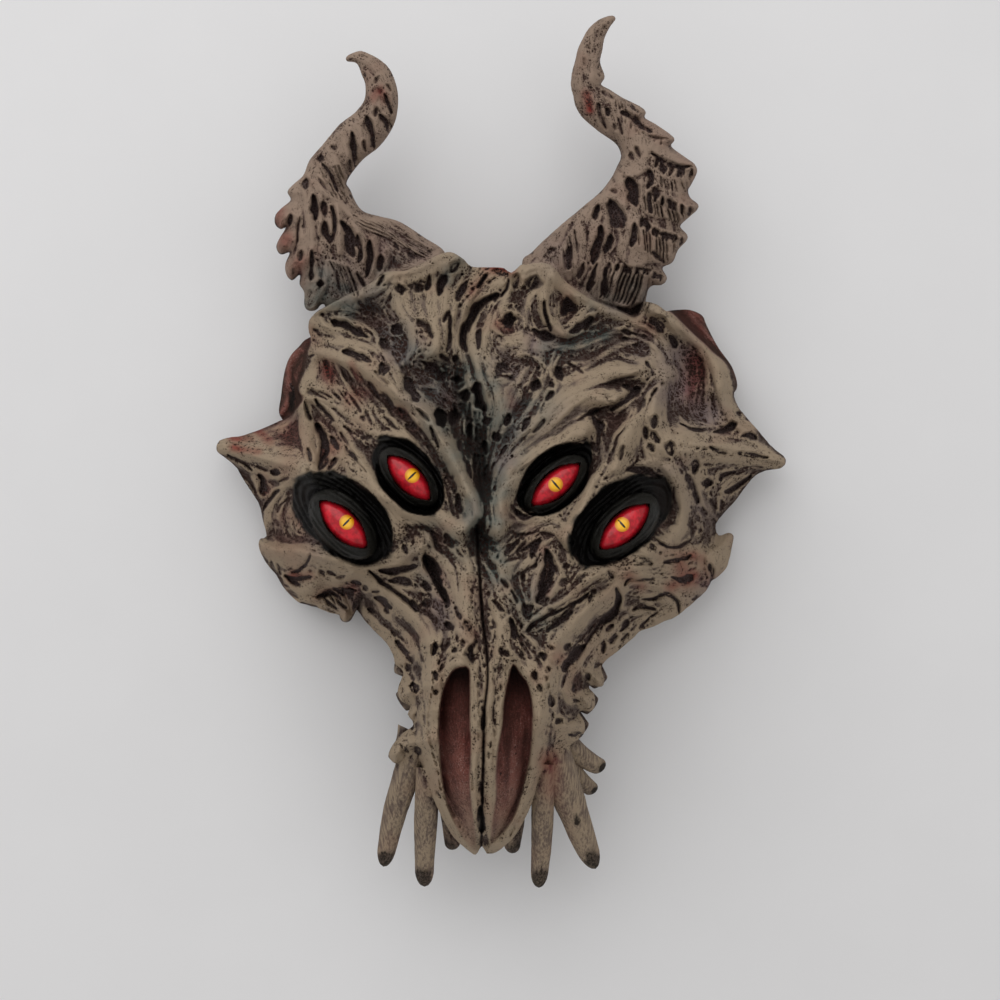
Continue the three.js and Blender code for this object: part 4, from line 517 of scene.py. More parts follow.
# Smooth plates that end in a step: their outline, root, tip, and height at the root and at the tip.
plates = {
    "feather high": ([20, 28.5, 8, 4, 10, 4, 9, 3.5, 8, 0, 8.5, -3, -5, -3.5, -10, -3, -8, -2.5, -9,
        -4.5, -8, -4.5, -5.5, -2.5], 20, 21, 63, 36.5, 0.4, 4.0),
    "feather middle": ([13.5, 9.5, 8, 8, 7.5, 5.5, 9, 4.5, 9, 1, 6, -3, 1, -3, -6.5, -3, -8, -3.5, -7,
        -4.5, -7.5, -4.5, -8, -5, -7, -3.5], 13.5, 5, 53.5, 24, 0.4, 4.6),
    "feather low": ([-1, -14, 4.5, 9, 9, 6.5, 9, 5.5, 8, 4, 6.5, 1, 4, -2.5, -2, -3.5, -8.5, -3.5, -8,
        -3.5, -8, -5.5, -6.5, -5, -4.5, -7.5, -2.5, -3], 1, -17.5, 39.5, 9, 0.6, 4.2),
    "spur": ([0, -19.5, 3.5, 5.5, 5.5, 3, 5, -1, -2, -4, -4.5, -3.5, -1.5, -5.5, 1, -6, -4.5, -3, -3.5,
        6.5], 2.5, -32, 13.5, -12.5, 0.8, 3.4),
    "under inner right eye": ([3.5, -32, 7.5, 3.5, 9, 0, 8, -2.5, 4.5, -5.5, 1, -8.5, -4, 2, -4.5, 4.5,
        -7, 2.5, -7, -1, -5.5, 1], 4.5, -34, 33, -44.5, 1.2, 2.6),
    "leaf low": ([47.5, -10.5, 3, 8.5, 3.5, 7, 4.5, 7, 3.5, 3, 1.5, -5.5, -0.5, -7.5, -2.5, -7, -4,
        -4.5], 51.5, -9.5, 61.5, 14, 0.4, 4.2),
    "rim right": ([88.5, 51, 5, -4, 5.5, -5, 5, -8, 1.5, -9, 2.5, -6.5, -4.5, -1.5, -4.5, 5, -2, 8,
        -3.5, 8, -4.5, 6.5], 106, 17.5, 90, 50, 1.6, 2.4),
    "cheek plate right": ([70, -37, 5.5, 4, 6.5, 1, 4, -3.5, -1.5, -5.5, -7, -2, -5.5, 0], 71, -39, 86,
        -36, 0.8, 2.8),
    "knob plate right": ([94.5, -38, 5.5, 1.5, 5, -1.5, -0.5, -7.5, -3, -6.5, -4.5, -4.5, -4, -0.5,
        -0.5, 8], 93.5, -53.5, 103.5, -39, 1.0, 2.4),
    "nose wedge": ([0, -52, 6.5, 3, 8, 2, 1.5, -3, -7, -4.5, -6, -5.5, -3, -2.5], 1, -60, 15.5, -48,
        0.8, 2.0),
    "cheek plate left": ([-108.5, -42, 7.5, 0, 8.5, -1, 8, -4, 3.5, -3.5, -7, -1, -9, -0.5, -7.5, 3],
        -83, -50, -107.5, -42.5, 0.8, 2.8),
    "under inner left eye": ([-52, -17.5, 6, -6.5, 7.5, -1.5, 9, -1, 8, -4, 4, -5, -4, -5, -5.5, 2.5,
        -7, 4, -8.5, 0.5, -6, 5.5], -50.5, -20, -20.5, -38, 0.8, 2.4),
    "brow end": ([-19, -12, 5.5, -4, 3, -6, 0.5, -8, -3.5, -5.5, -4.5, -0.5, -1.5, 7, 2, 7], -17, -13,
        -13.5, -34.5, 1.0, 2.8),
    "cheek lobe left": ([-47, -64.5, 7.5, -4, 7, -6, 6, -7, 0, -6, -6, 2, -6, 6.5, -6, 6.5], -47, -65,
        -27, -86, 1.0, 2.2),
    "fan 1": ([45, 165, 8, -3.5, 7.5, -4, 5, -4, 0, -3.5, -5, 2, -7.5, 3.5, -7, 4], 47, 163.5, 63, 151,
        0.4, 2.0),
    "fan 2": ([54, 154.5, 9, -5.5, 8, -4.5, 7, -4, -1, -3.5, -7.5, 2, -7.5, 4.5, -6, 4.5], 58.5, 151,
        72, 137, 0.4, 2.2),
    "fan 3": ([54.5, 148, 6, 2, 7, -7, 10, -7.5, 10, -6.5, 1, -3.5, -3, 0, -7, 4, -6.5, 2.5, -4.5, 2.5,
        -2, -6.5, -3.5, -4, -4.5, -1, -3.5, 6, -1, 10], 57.5, 148, 79, 124, 0.2, 3.4),
    "fan 4": ([63, 122, 3.5, -1, 7.5, -3.5, 8, -4.5, 7, -3.5, -4.5, -5, -3.5, -2.5, -5.5, 2.5, -7, 2,
        -4.5, 6.5], 65, 121, 79, 102, 0.4, 2.4),
    "fan 5": ([58, 107.5, 3.5, 2.5, 3, -3.5, 5.5, -3.5, 7.5, -5, 6.5, -1.5, -1, -4.5, -4, -2, -3, -5,
        -8.5, 0, -6.5, -2.5, -6, 2.5, -2, 6.5, 3.5, 8], 60.5, 108.5, 68.5, 82.5, 0.4, 3.0),
    "fan 6": ([44, 87, 4, 1.5, 3, -3.5, 6.5, -1, 10, -1, 8, -4, -1.5, -4, -4.5, 0, -3.5, -3.5, -1, -5.5,
        -10, -1, -9, 2, -4.5, 3.5], 47.5, 88, 55, 65, 0.4, 2.8),
    "scale low": ([22, 85, 5, 8, 6.5, 8, 4, 0.5, 1.5, -6.5, -0.5, -10, -4.5, -6, -4.5, -5, -4, 5], 35,
        101, 29.5, 74, 2.2, 0.8),
    "scale high": ([47.5, 117.5, 3.5, 8, 4, 0, 1.5, -8, 1, -8, -1.5, -7.5, -5.5, 0, -3, 7.5], 52, 125.5,
        52, 102, 1.8, 0.4),
    "lobe 1": ([-92.5, 119, 3, -2, -4, -10.5, -2.5, -6.5, -3, -0.5, -2, 3.5, 2.5, 6.5], -91, 118.5, -99,
        99.5, 0.2, 2.2),
    "lobe 2": ([-90.5, 112, 1, -10, -2.5, -10.5, -2, -5, -3.5, 0, -3.5, 4, 2, 6, 4.5, 9.5], -90, 111,
        -97, 87, 0.2, 2.4),
    "lobe 3": ([-89, 97.5, 4.5, -2.5, -1.5, -10, -2, -9, -4, -1, -3.5, 2, -1, 4.5, 3, 6.5], -86.5, 97,
        -92, 75, 0.2, 2.4),
    "lobe 4": ([-84.5, 85, 4.5, -2.5, -1.5, -10, -1.5, -8.5, -3, -1, -2, 3, 0, 7.5], -82, 84, -85.5,
        63.5, 0.2, 2.4),
    "crown panel": ([-46, 71.5, 9, 2, 12.5, -3, 3, -4.5, -3.5, -6, -9, -3.5, -9, 4.5], -45, 68, -23.5,
        63.5, 1.0, 1.6),
    "crown lobe": ([-2.5, 31, 6, 2, 5.5, -3, 1, -6, -3.5, -6.5, -5.5, -1.5, -3.5, 5], 0, 17.5, 4.5, 32,
        0.8, 2.0),
    "blade left": ([-92, 24, 3, 2.5, 2.5, -8, 3.5, -13.5, 2, -13.5, -3.5, -4.5, -4, 11, -2.5, 13.5],
        -83.5, -11, -89, 24, 0.8, 3.4),
    "leaf tall": ([68.5, -4, -3.5, 9, 0, 11.5, 4.5, 10, 4.5, 6.5, 1.5, -8, 1, -13.5, 2, -12], 72, -5,
        74, 32, 0.2, 3.6),
    "left lip": ([-52, 79.5, 8, 1, 10, 4, 9, 3.5, 5.5, -1, -2, -5.5, -9, -2.5, -10, -4, -8, 0], -49.5,
        77, -20, 86, 1.0, 2.2),
    "right lip": ([6.5, 79.5, 7, 4.5, 8, 0, 4.5, -5, -2.5, -7.5, -5.5, -2.5, -6.5, 4.5, -4.5, 0.5], 18,
        70, 13.5, 84, 0.8, 2.0),
    "strap left": ([-67.5, -55.5, 5.5, 0, 8, -4.5, 8, -6, -2.5, -4, -8, 5, -8.5, 5], -66.5, -56, -47,
        -68, 1.4, 1.8),
    "strap right": ([63, -54.5, 4.5, -2.5, -9, -6.5, -11, -9, -9, -9, -9, -9, -6, -5.5, -2, 6.5, 5.5, 7,
        9, 9, 11, 9], 63, -56, 23.5, -93, 2.0, 2.6),
    "muzzle rim left": ([-31.5, -95, 4, -1, 1, -11.5, -1.5, -22.5, 1.5, -18, 4, -12.5, 7, -12, 4, -7.5,
        -5.5, 1.5, -7, 7, -5.5, 11.5, -3.5, 12, -1, 18, 0, 18], -30.5, -97.5, -13.5, -178.5, 1.4, 1.6),
    "muzzle rim right": ([11, -95, 7, -1, 3.5, -11.5, -1.5, -22.5, -3, -22.5, -6, -14.5, -9, -11, -3,
        1.5, 7, 10.5, 6, 13.5, 3, 22.5, 1, 18], 13.5, -97.5, 0, -177, 1.4, 1.6),
}

# Rows of teeth and of fine lines: where their upper ends stand, how they run, how many there are, their
# half width and depth.
combs = {
    "fan 3 teeth": ([70, 132, 5.5, -3.5, 6.5, -1, 5.5, -1], (-0.7, -4.0), 7, 1.1, 3.2),
    "fan 3 lines": ([68.5, 127.5, 7, -4.5, 10, -2], (1.2, -5.0), 9, 0.4, 1.8),
    "fan 4 teeth": ([71, 116.5, 7.5, -4, 8, -3.5], (-0.4, -3.6), 6, 1.0, 2.8),
    "fan 4 lines": ([65.5, 115.5, 8.5, -3.5, 10.5, -5.5], (1.2, -7.0), 10, 0.4, 1.8),
    "fan 5 teeth": ([64.5, 105.5, 5.5, -4.5, 5.5, -3.5, 7.5, -2], (-0.8, -4.0), 8, 1.0, 3.0),
    "fan 5 lines": ([60.5, 103, 7, -4.5, 7, -3.5, 6.5, -2], (0.8, -10.0), 11, 0.4, 1.9),
    "fan 6 teeth": ([50.5, 85, 8, -2, 8, -0.5, 7.5, -4], (-0.7, -2.6), 9, 0.9, 2.4),
    "fan 6 lines": ([49.5, 83, 8, -1.5, 8, -2, 5.5, -4.5], (-4.4, -14.0), 12, 0.45, 2.0),
    "fan 1 lines": ([47.5, 160.5, 6.5, -2.5, 9, -4.5], (0.6, -3.4), 8, 0.4, 1.4),
    "fan 2 lines": ([57.5, 151, 8, -5.5, 9, -5.5], (-0.6, -3.6), 8, 0.4, 1.4),
    "left fibres": ([-67.5, 110, 2, -4, 2.5, -6.5], (34.0, -17.0), 7, 0.35, 1.2),
    "left fan": ([-82, 129, 5.5, -1, 4.5, 1], (7.0, -15.0), 6, 0.4, 1.4),
    "left web": ([-76.5, 85, 5.5, -2, 3.5, -0.5], (5.0, -13.0), 6, 0.5, 1.6),
    "scale lines": ([33.5, 98.5, -3.5, -3.5, -3, -4.5], (1.5, -10.0), 4, 0.4, 1.4),
    "muzzle left high": ([-30, -97.5, -2, -14.5, 0.5, -16], (0.2, -2.4), 9, 0.55, 1.3),
    "muzzle left low": ([-31, -129, 2.5, -15.5, 4.5, -13.5, 6, -11.5], (1.2, -2.6), 10, 0.5, 1.2),
    "muzzle right high": ([20, -99.5, 2, -12.5, -1.5, -17], (0.0, -2.4), 8, 0.55, 1.3),
    "muzzle right low": ([19.5, -132, -3.5, -19, -6, -12.5, -7.5, -9.5], (-1.2, -2.6), 11, 0.5, 1.2),
    "muzzle middle": ([-3.5, -101, 1, -15.5, -3, -22.5], (0.1, -3.2), 8, 0.4, 1.0),
    "muzzle middle left": ([-10.5, -97.5, 1, -14.5, -0.5, -18], (0.1, -3.2), 7, 0.4, 1.0),
    "comb left cheek": ([-80, -64.5, 5.5, 2, 6, 0.5], (3.4, -5.4), 6, 0.7, 2.2),
}

# The relief is drawn on a map of square cells that lies over the mask as seen from above.
cell = layout["cell"]
columnX = np.arange(layout["low"][0], layout["high"][0], cell)
rowY = np.arange(layout["low"][1], layout["high"][1], cell)
mapX, mapY = np.meshgrid(columnX, rowY)
mapShape = mapX.shape
waveX = np.fft.rfftfreq(mapShape[1], cell)[None, :]
waveY = np.fft.fftfreq(mapShape[0], cell)[:, None]


def blur(field, reach):
    damp = np.exp(-2 * (math.pi * reach) ** 2 * (waveX**2 + waveY**2))
    return np.fft.irfft2(np.fft.rfft2(field) * damp, s=mapShape)


def softNoise(reach, seed):
    made = blur(np.random.default_rng(seed).normal(size=mapShape), reach)
    return made / made.std()


def clamp01(field):
    return np.clip(field, 0, 1)


def ease(field):
    part = clamp01(field)
    return part * part * (3 - 2 * part)


def readMap(field, x, y):
    across = np.clip((np.asarray(x) - columnX[0]) / cell, 0, mapShape[1] - 1.001)
    along = np.clip((np.asarray(y) - rowY[0]) / cell, 0, mapShape[0] - 1.001)
    i, j = across.astype(int), along.astype(int)
    u, v = across - i, along - j
    lower = field[j, i] * (1 - u) + field[j, i + 1] * u
    upper = field[j + 1, i] * (1 - u) + field[j + 1, i + 1] * u
    return lower * (1 - v) + upper * v


def tableValue(rows, y):
    down = np.array(rows, float)[::-1]
    return np.interp(y, down[:, 0], down[:, 1])


# The points of a line, which is given as pairs, or else as its start and the step to each next point.
def pointsOf(line):
    points = np.array(line, float)
    return points if points.ndim == 2 else np.cumsum(points.reshape(-1, 2), axis=0)


# A smooth curve through the points, with a point about every step.
def smoothLine(line, step=1.6, closed=False):
    points = pointsOf(line)
    if closed:
        padded = np.vstack([points[-1], points, points[0], points[1]])
    else:
        padded = np.vstack([2 * points[0] - points[1], points, 2 * points[-1] - points[-2]])
    made = []
    for p0, p1, p2, p3 in zip(padded, padded[1:], padded[2:], padded[3:]):
        count = max(1, int(round(np.hypot(*(p2 - p1)) / step)))
        for t in np.arange(count)[:, None] / count:
            tangentIn, tangentOut = (p2 - p0) / 2, (p3 - p1) / 2
            made.append(
                (2 * t**3 - 3 * t**2 + 1) * p1
                + (t**3 - 2 * t**2 + t) * tangentIn
                + (3 * t**2 - 2 * t**3) * p2
                + (t**3 - t**2) * tangentOut
            )
    if not closed:
        made.append(points[-1])
    return np.vstack(made)


# The part of the map within reach of some points.
def windowRound(points, reach):
    low, high = points.min(0) - reach, points.max(0) + reach
    i0, i1 = np.searchsorted(columnX, (low[0], high[0]))
    j0, j1 = np.searchsorted(rowY, (low[1], high[1]))
    return slice(j0, j1), slice(i0, i1)


# The strokes stray by this much, as cut by hand: how far a stray runs, and its size.
wander = {"wide": (4.2, 0.42), "fine": (1.1, 0.1)}
strayX, strayY = mapX.copy(), mapY.copy()
for seed, (reach, size) in enumerate(wander.values(), 11):
    strayX += size * softNoise(reach, seed)
    strayY += size * softNoise(reach, seed + 4)


def placesIn(window, stray):
    return (strayX[window], strayY[window]) if stray else (mapX[window], mapY[window])


# Distance from a line over a window of the map, the share of the way along it, and its direction.
def nearLine(points, window, closed=False, stray=True):
    x, y = placesIn(window, stray)
    ends = np.vstack([points, points[:1]]) if closed else points
    best = np.full(x.shape, 1e9)
    share = np.zeros(x.shape)
    turnX = np.zeros(x.shape)
    turnY = np.zeros(x.shape)
    for i, (a, b) in enumerate(zip(ends, ends[1:])):
        dx, dy = b - a
        length2 = dx * dx + dy * dy + 1e-9
        t = clamp01(((x - a[0]) * dx + (y - a[1]) * dy) / length2)
        far = (x - a[0] - t * dx) ** 2 + (y - a[1] - t * dy) ** 2
        closer = far < best
        best = np.where(closer, far, best)
        share = np.where(closer, i + t, share)
        turnX = np.where(closer, (dx * dx - dy * dy) / length2, turnX)
        turnY = np.where(closer, 2 * dx * dy / length2, turnY)
    return np.sqrt(best), share / max(1, len(ends) - 1), turnX, turnY


def depthInside(points, window, stray=False):
    distance = nearLine(points, window, closed=True, stray=stray)[0]
    x, y = placesIn(window, stray)
    within = np.zeros(x.shape, bool)
    for (ax, ay), (bx, by) in zip(points, np.roll(points, 1, axis=0)):
        if ay == by:
            continue
        within ^= ((ay > y) != (by > y)) & (x < (bx - ax) * (y - ay) / (by - ay) + ax)
    return np.where(within, distance, -distance)


def depthMap(line, reach=20, closedStep=1.6):
    points = smoothLine(line, closedStep, closed=True)
    window = windowRound(points, reach)
    made = np.full(mapShape, -float(reach))
    made[window] = depthInside(points, window)
    return made


def bothEnds(value):
    return value if isinstance(value, tuple) else (value, value)


def between(ends, share):
    first, last = bothEnds(ends)
    return first + (last - first) * share


everywhere = (slice(None), slice(None))
outlinePoints = smoothLine(outline, closed=True)
boneDepth = depthInside(outlinePoints, everywhere)
fleshDepth = np.maximum(depthMap(fleshLeft), depthMap(fleshRight))
rimDepth = depthMap(rim, 200)

# The plain form, without strands: the dome of the face, its ridges and troughs.
edgeHigh = tableValue(faceProfile["edge"], mapY)
reachIn = clamp01(boneDepth / tableValue(faceProfile["rise"], mapY))
domeHigh = tableValue(faceProfile["middle"], mapY) - edgeHigh
formHigh = edgeHigh + domeHigh * np.sin(reachIn * math.pi / 2)
for line, wide, high in forms + crests:
    points = smoothLine(line)
    window = windowRound(points, max(wide) + 2)
    distance, share, _, _ = nearLine(points, window)
    u = clamp01(distance / between(wide, share))
    fall = (1 - u) if (line, wide, high) in crests else (1 - u * u) ** 2
    formHigh[window] += fall * between(high, share)
print("form of the face drawn")

carving = {
    "strandReach": 9,  # map around a strand that is worked on
    "strandEnds": (0.55, 0.45),  # width left at a strand's ends, and what its middle adds
    "strandUneven": 0.07,
    "strandTall": 1.3,
    "strandRound": 1.5,  # lower is fuller and steeper at the sides
    "strandFoot": 1.4,  # how far a strand's foot runs out, in its half widths
    "flank": 0.1,  # groove beside a strand, as a share of its height
    "holeReach": 8,
    "holeUneven": 0.17,
    "holeSwell": 1.2,  # makes up for the tapering
    "holeEnd": 0.3,  # width of a hole's ends, as a share of its middle
    "holeWall": 0.75,  # share of a hole's half width that its wall takes
    "lip": 0.6,  # raised lip round a hole
    "combBend": 0.2,  # how far a comb's hole bends sideways in its middle
    "strandInHole": 0.85,  # share of a strand that a hole takes away
    "flowReach": 5.0,
    "holeFlow": 0.8,  # how much a hole turns the grain, where a strand counts 1
    "pits": 14000,
    "pitCalm": 0.45,  # no pits where the strands are smoother than this
    "pitBare": -0.9,  # no pits where their noise is below this
    "pitHalf": (0.38, 0.95),
    "pitDeep": (0.6, 1.6),
    "coarseGrain": 0.26,
    "fineGrain": 0.2,
}

uneven = softNoise(1.3, 17)
strandHigh = np.zeros(mapShape)
flankLow = np.zeros(mapShape)
calm = np.zeros(mapShape)
holeDeep = np.zeros(mapShape)
holeDark = np.zeros(mapShape)
holeLip = np.zeros(mapShape)
# Way of the grain, with its angle doubled; where no stroke is near, it runs nearly upright.
flowX = np.full(mapShape, -1e-4)
flowY = np.full(mapShape, -1e-4)


def addFlow(window, distance, turnX, turnY, weight=1.0):
    near = np.exp(-((distance / carving["flowReach"]) ** 2)) * weight
    flowX[window] += near * turnX
    flowY[window] += near * turnY


endWidth, midWidth = carving["strandEnds"]
for region in strands.values():
    for line, wide, high in region:
        points = smoothLine(line)
        window = windowRound(points, carving["strandReach"])
        distance, share, turnX, turnY = nearLine(points, window)
        taper = np.sqrt(clamp01(4 * np.minimum(share, 1 - share) + 0.1))
        halfWidth = between(wide, share) * (endWidth + midWidth * taper)
        halfWidth *= 1 + carving["strandUneven"] * uneven[window]
        u = distance / halfWidth
        tall = between(high, share) * carving["strandTall"]
        body = (1 - clamp01(u / carving["strandFoot"]) ** 2) ** carving["strandRound"]
        strandHigh[window] = np.maximum(strandHigh[window], body * tall)
        calm[window] = np.maximum(calm[window], ease(1.25 - u) * clamp01(halfWidth / 2))
        side = np.exp(-(((distance - halfWidth) - 0.5) / 0.5) ** 2)
        flankLow[window] = np.maximum(flankLow[window], side * tall * carving["flank"])
        addFlow(window, distance, turnX, turnY)

plateShape = {"edge": 1.5, "flank": 1.2, "step": 1.2}
for plate, rootX, rootY, tipX, tipY, rootHigh, tipHigh in plates.values():
    points = smoothLine(plate, plateShape["step"], closed=True)
    window = windowRound(points, 4)
    depth = depthInside(points, window, stray=True)
    runX, runY = tipX - rootX, tipY - rootY
    share = ((mapX[window] - rootX) * runX + (mapY[window] - rootY) * runY) / (runX**2 + runY**2)
    edge = np.sqrt(1 - (1 - clamp01(depth / plateShape["edge"])) ** 2)
    tall = rootHigh + (tipHigh - rootHigh) * clamp01(share)
    strandHigh[window] = np.maximum(strandHigh[window], edge * tall)
    calm[window] = np.maximum(calm[window], ease(depth / 2))
    side = np.exp(-(((-depth - 0.5) / 0.55) ** 2)) * (depth < 0)
    flankLow[window] = np.maximum(flankLow[window], side * plateShape["flank"] * clamp01(tall / 3))


def cutHole(line, wide, deep):
    points = smoothLine(line)
    window = windowRound(points, carving["holeReach"])
    distance, share, turnX, turnY = nearLine(points, window)
    taper = carving["holeEnd"] + (1 - carving["holeEnd"]) * np.sqrt(clamp01(4 * share * (1 - share)))
    halfWidth = carving["holeSwell"] * between(wide, share) * taper
    halfWidth *= 1 + carving["holeUneven"] * uneven[window]
    u = distance / halfWidth
    wall = ease((1 - u) / carving["holeWall"])
    holeDeep[window] = np.maximum(holeDeep[window], wall * deep)
    holeDark[window] = np.maximum(holeDark[window], ease((1.12 - u) / 0.5) * clamp01(0.35 + deep / 4))
    edge = np.exp(-(((distance - halfWidth) - 0.55) / 0.5) ** 2)
    holeLip[window] = np.maximum(holeLip[window], edge * carving["lip"] * clamp01(deep / 2.5))
    addFlow(window, distance, turnX, turnY, carving["holeFlow"])


for region in holes.values():
    for line, wide, deep in region:
        cutHole(line, wide, deep)
for line, (runX, runY), count, wide, deep in combs.values():
    row = smoothLine(line)
    for share in (np.arange(count) + 0.5) / count:
        x, y = row[int(share * (len(row) - 1))]
        bent = (x + runX / 2 + carving["combBend"], y + runY / 2)
        cutHole([(x, y), bent, (x + runX, y + runY)], wide, deep)
strandHigh *= 1 - carving["strandInHole"] * clamp01(holeDark * 1.2)
flowX, flowY = blur(flowX, 1.5), blur(flowY, 1.5)
angle = np.arctan2(flowY, flowX) / 2
grainX, grainY = np.cos(angle), np.sin(angle)
print("strands and holes drawn")


# Streaks a noise out along the grain.
def streaks(field, length, steps=14):
    total = field.copy()
    for sign in (1, -1):
        x, y = mapX.copy(), mapY.copy()
        lastX, lastY = grainX * sign, grainY * sign
        for _ in range(steps):
            x += lastX * length / steps
            y += lastY * length / steps
            i = np.clip(((x - columnX[0]) / cell).round().astype(int), 0, mapShape[1] - 1)
            j = np.clip(((y - rowY[0]) / cell).round().astype(int), 0, mapShape[0] - 1)
            nextX, nextY = grainX[j, i], grainY[j, i]
            turn = np.sign(nextX * lastX + nextY * lastY)
            turn[turn == 0] = 1
            lastX, lastY = nextX * turn, nextY * turn
            total += field[j, i]
    total -= total.mean()
    return total / total.std()


coarseStreak = streaks(softNoise(0.55, 21), 8, 22)
fineStreak = streaks(softNoise(0.3, 22), 5, 16)
print("grain drawn")

# Pits of the spongy bone, scattered along the grain between the smooth strands.
random = np.random.default_rng(31)
pitDeep = np.zeros(mapShape)
pitLip = np.zeros(mapShape)
taken = holeDark > 0.15
low, high = np.array(layout["low"]), np.array(layout["high"])
pitDensity = softNoise(5, 32)
for place in low + (high - low) * random.random((carving["pits"], 2)):
    size, stretch, depth = random.random(3)
    i = int((place[0] - columnX[0]) / cell)
    j = int((place[1] - rowY[0]) / cell)
    if i >= mapShape[1] or j >= mapShape[0] or taken[j, i]:
        continue
    if calm[j, i] > carving["pitCalm"] or pitDensity[j, i] < carving["pitBare"]:
        continue
    half = between(carving["pitHalf"], size**1.6)
    long = half * (1.1 + 1.8 * stretch**2)
    deep = between(carving["pitDeep"], depth)
    window = windowRound(place[None, :], long + 2.2)
    dx, dy = strayX[window] - place[0], strayY[window] - place[1]
    along = dx * grainX[j, i] + dy * grainY[j, i]
    across = dy * grainX[j, i] - dx * grainY[j, i]
    u = np.hypot(along / long, across / half)
    edge = (u - 1) * half
    pitDeep[window] = np.maximum(pitDeep[window], ease((1 - u) / 0.6) * deep)
    pitLip[window] = np.maximum(pitLip[window], np.exp(-(((edge - 0.45) / 0.4) ** 2)))
    taken[window] |= u < 1.35
rough = 1 - 0.85 * clamp01(calm)
print("pits drawn")

# Sockets, lids and eyes. Sizes are half sizes; lean tips a form down towards the right.
eyes = {
    "eye_outer_left": {
        "at": (-70.5, -33), "turn": -45, "eye": (14.8, 6.4), "lean": -14,
        "socketAt": (-70.5, -29.5), "socketTurn": -40, "socket": (26.5, 16.5), "iris": (-69, -32),
    },
    "eye_inner_left": {
        "at": (-41, -12), "turn": -46, "eye": (13.7, 5.9), "lean": -8,
        "socketAt": (-41.5, -11), "socketTurn": -50, "socket": (21, 12.5), "iris": (-39.5, -11),
    },
    "eye_inner_right": {
        "at": (25, -15), "turn": 41, "eye": (14.2, 5.9), "lean": 8,
        "socketAt": (25, -12.5), "socketTurn": 43, "socket": (20.5, 12.5), "iris": (25, -15),
    },
    "eye_outer_right": {
        "at": (56, -34), "turn": 42, "eye": (14.8, 6.4), "lean": 14,
        "socketAt": (54, -31), "socketTurn": 40, "socket": (27, 15.5), "iris": (55, -33),
    },
}
lidShape = {
    "socketDepth": 10.0,
    "lidHigh": 8.0,
    "lidShare": 0.72,
    "lidSink": 4.0,
    "coverWide": 3.4,  # how far the lid runs round the eye
    "coverHigh": 1.2,  # and how far over it
    "coverSink": 0.6,
    "dome": 6.0,
    "gap": 0.35,
    "foldReach": 34,
    "wrinkle": 0.7,  # height of the lids' folds
    "wrinkleStep": 0.27,  # distance between folds, as a share of the eye's half size
    "edge": 0.9,  # swollen edge of the lids
}


# Heights of the upper and lower side of a turned and leaning ball, and where it stands.
def ballHeights(at, halves, turn, lean, level):
    t, n = math.radians(turn), math.radians(lean)
    spin = np.array([[math.cos(t), -math.sin(t), 0], [math.sin(t), math.cos(t), 0], [0, 0, 1]])
    tip = np.array([[math.cos(n), 0, math.sin(n)], [0, 1, 0], [-math.sin(n), 0, math.cos(n)]])
    turned = tip @ spin
    m = turned @ np.diag(1 / np.array(halves, float) ** 2) @ turned.T
    window = windowRound(np.array([at], float), max(halves) + 2)
    dx, dy = mapX[window] - at[0], mapY[window] - at[1]
    b = m[0, 2] * dx + m[1, 2] * dy
    c = m[0, 0] * dx**2 + 2 * m[0, 1] * dx * dy + m[1, 1] * dy**2 - 1
    inside = b * b - m[2, 2] * c
    root = np.sqrt(np.maximum(inside, 0))
    return window, inside > 0, level + (-b + root) / m[2, 2], level + (-b - root) / m[2, 2]


# Raises the form to a ball's upper side, or sinks it to the lower one.
def shapeByBall(at, halves, turn, lean, level, raised=True):
    window, inside, upper, lower = ballHeights(at, halves, turn, lean, level)
    form = formHigh[window]
    reached = np.maximum(form, upper) if raised else np.minimum(form, lower)
    formHigh[window] = np.where(inside, reached, form)
    return window


def almondShare(at, halves, turn, window):
    t = math.radians(turn)
    dx, dy = mapX[window] - at[0], mapY[window] - at[1]
    along = (dx * math.cos(t) + dy * math.sin(t)) / halves[0]
    across = (dy * math.cos(t) - dx * math.sin(t)) / halves[1]
    return np.abs(across) + along**2, np.hypot(along, across)


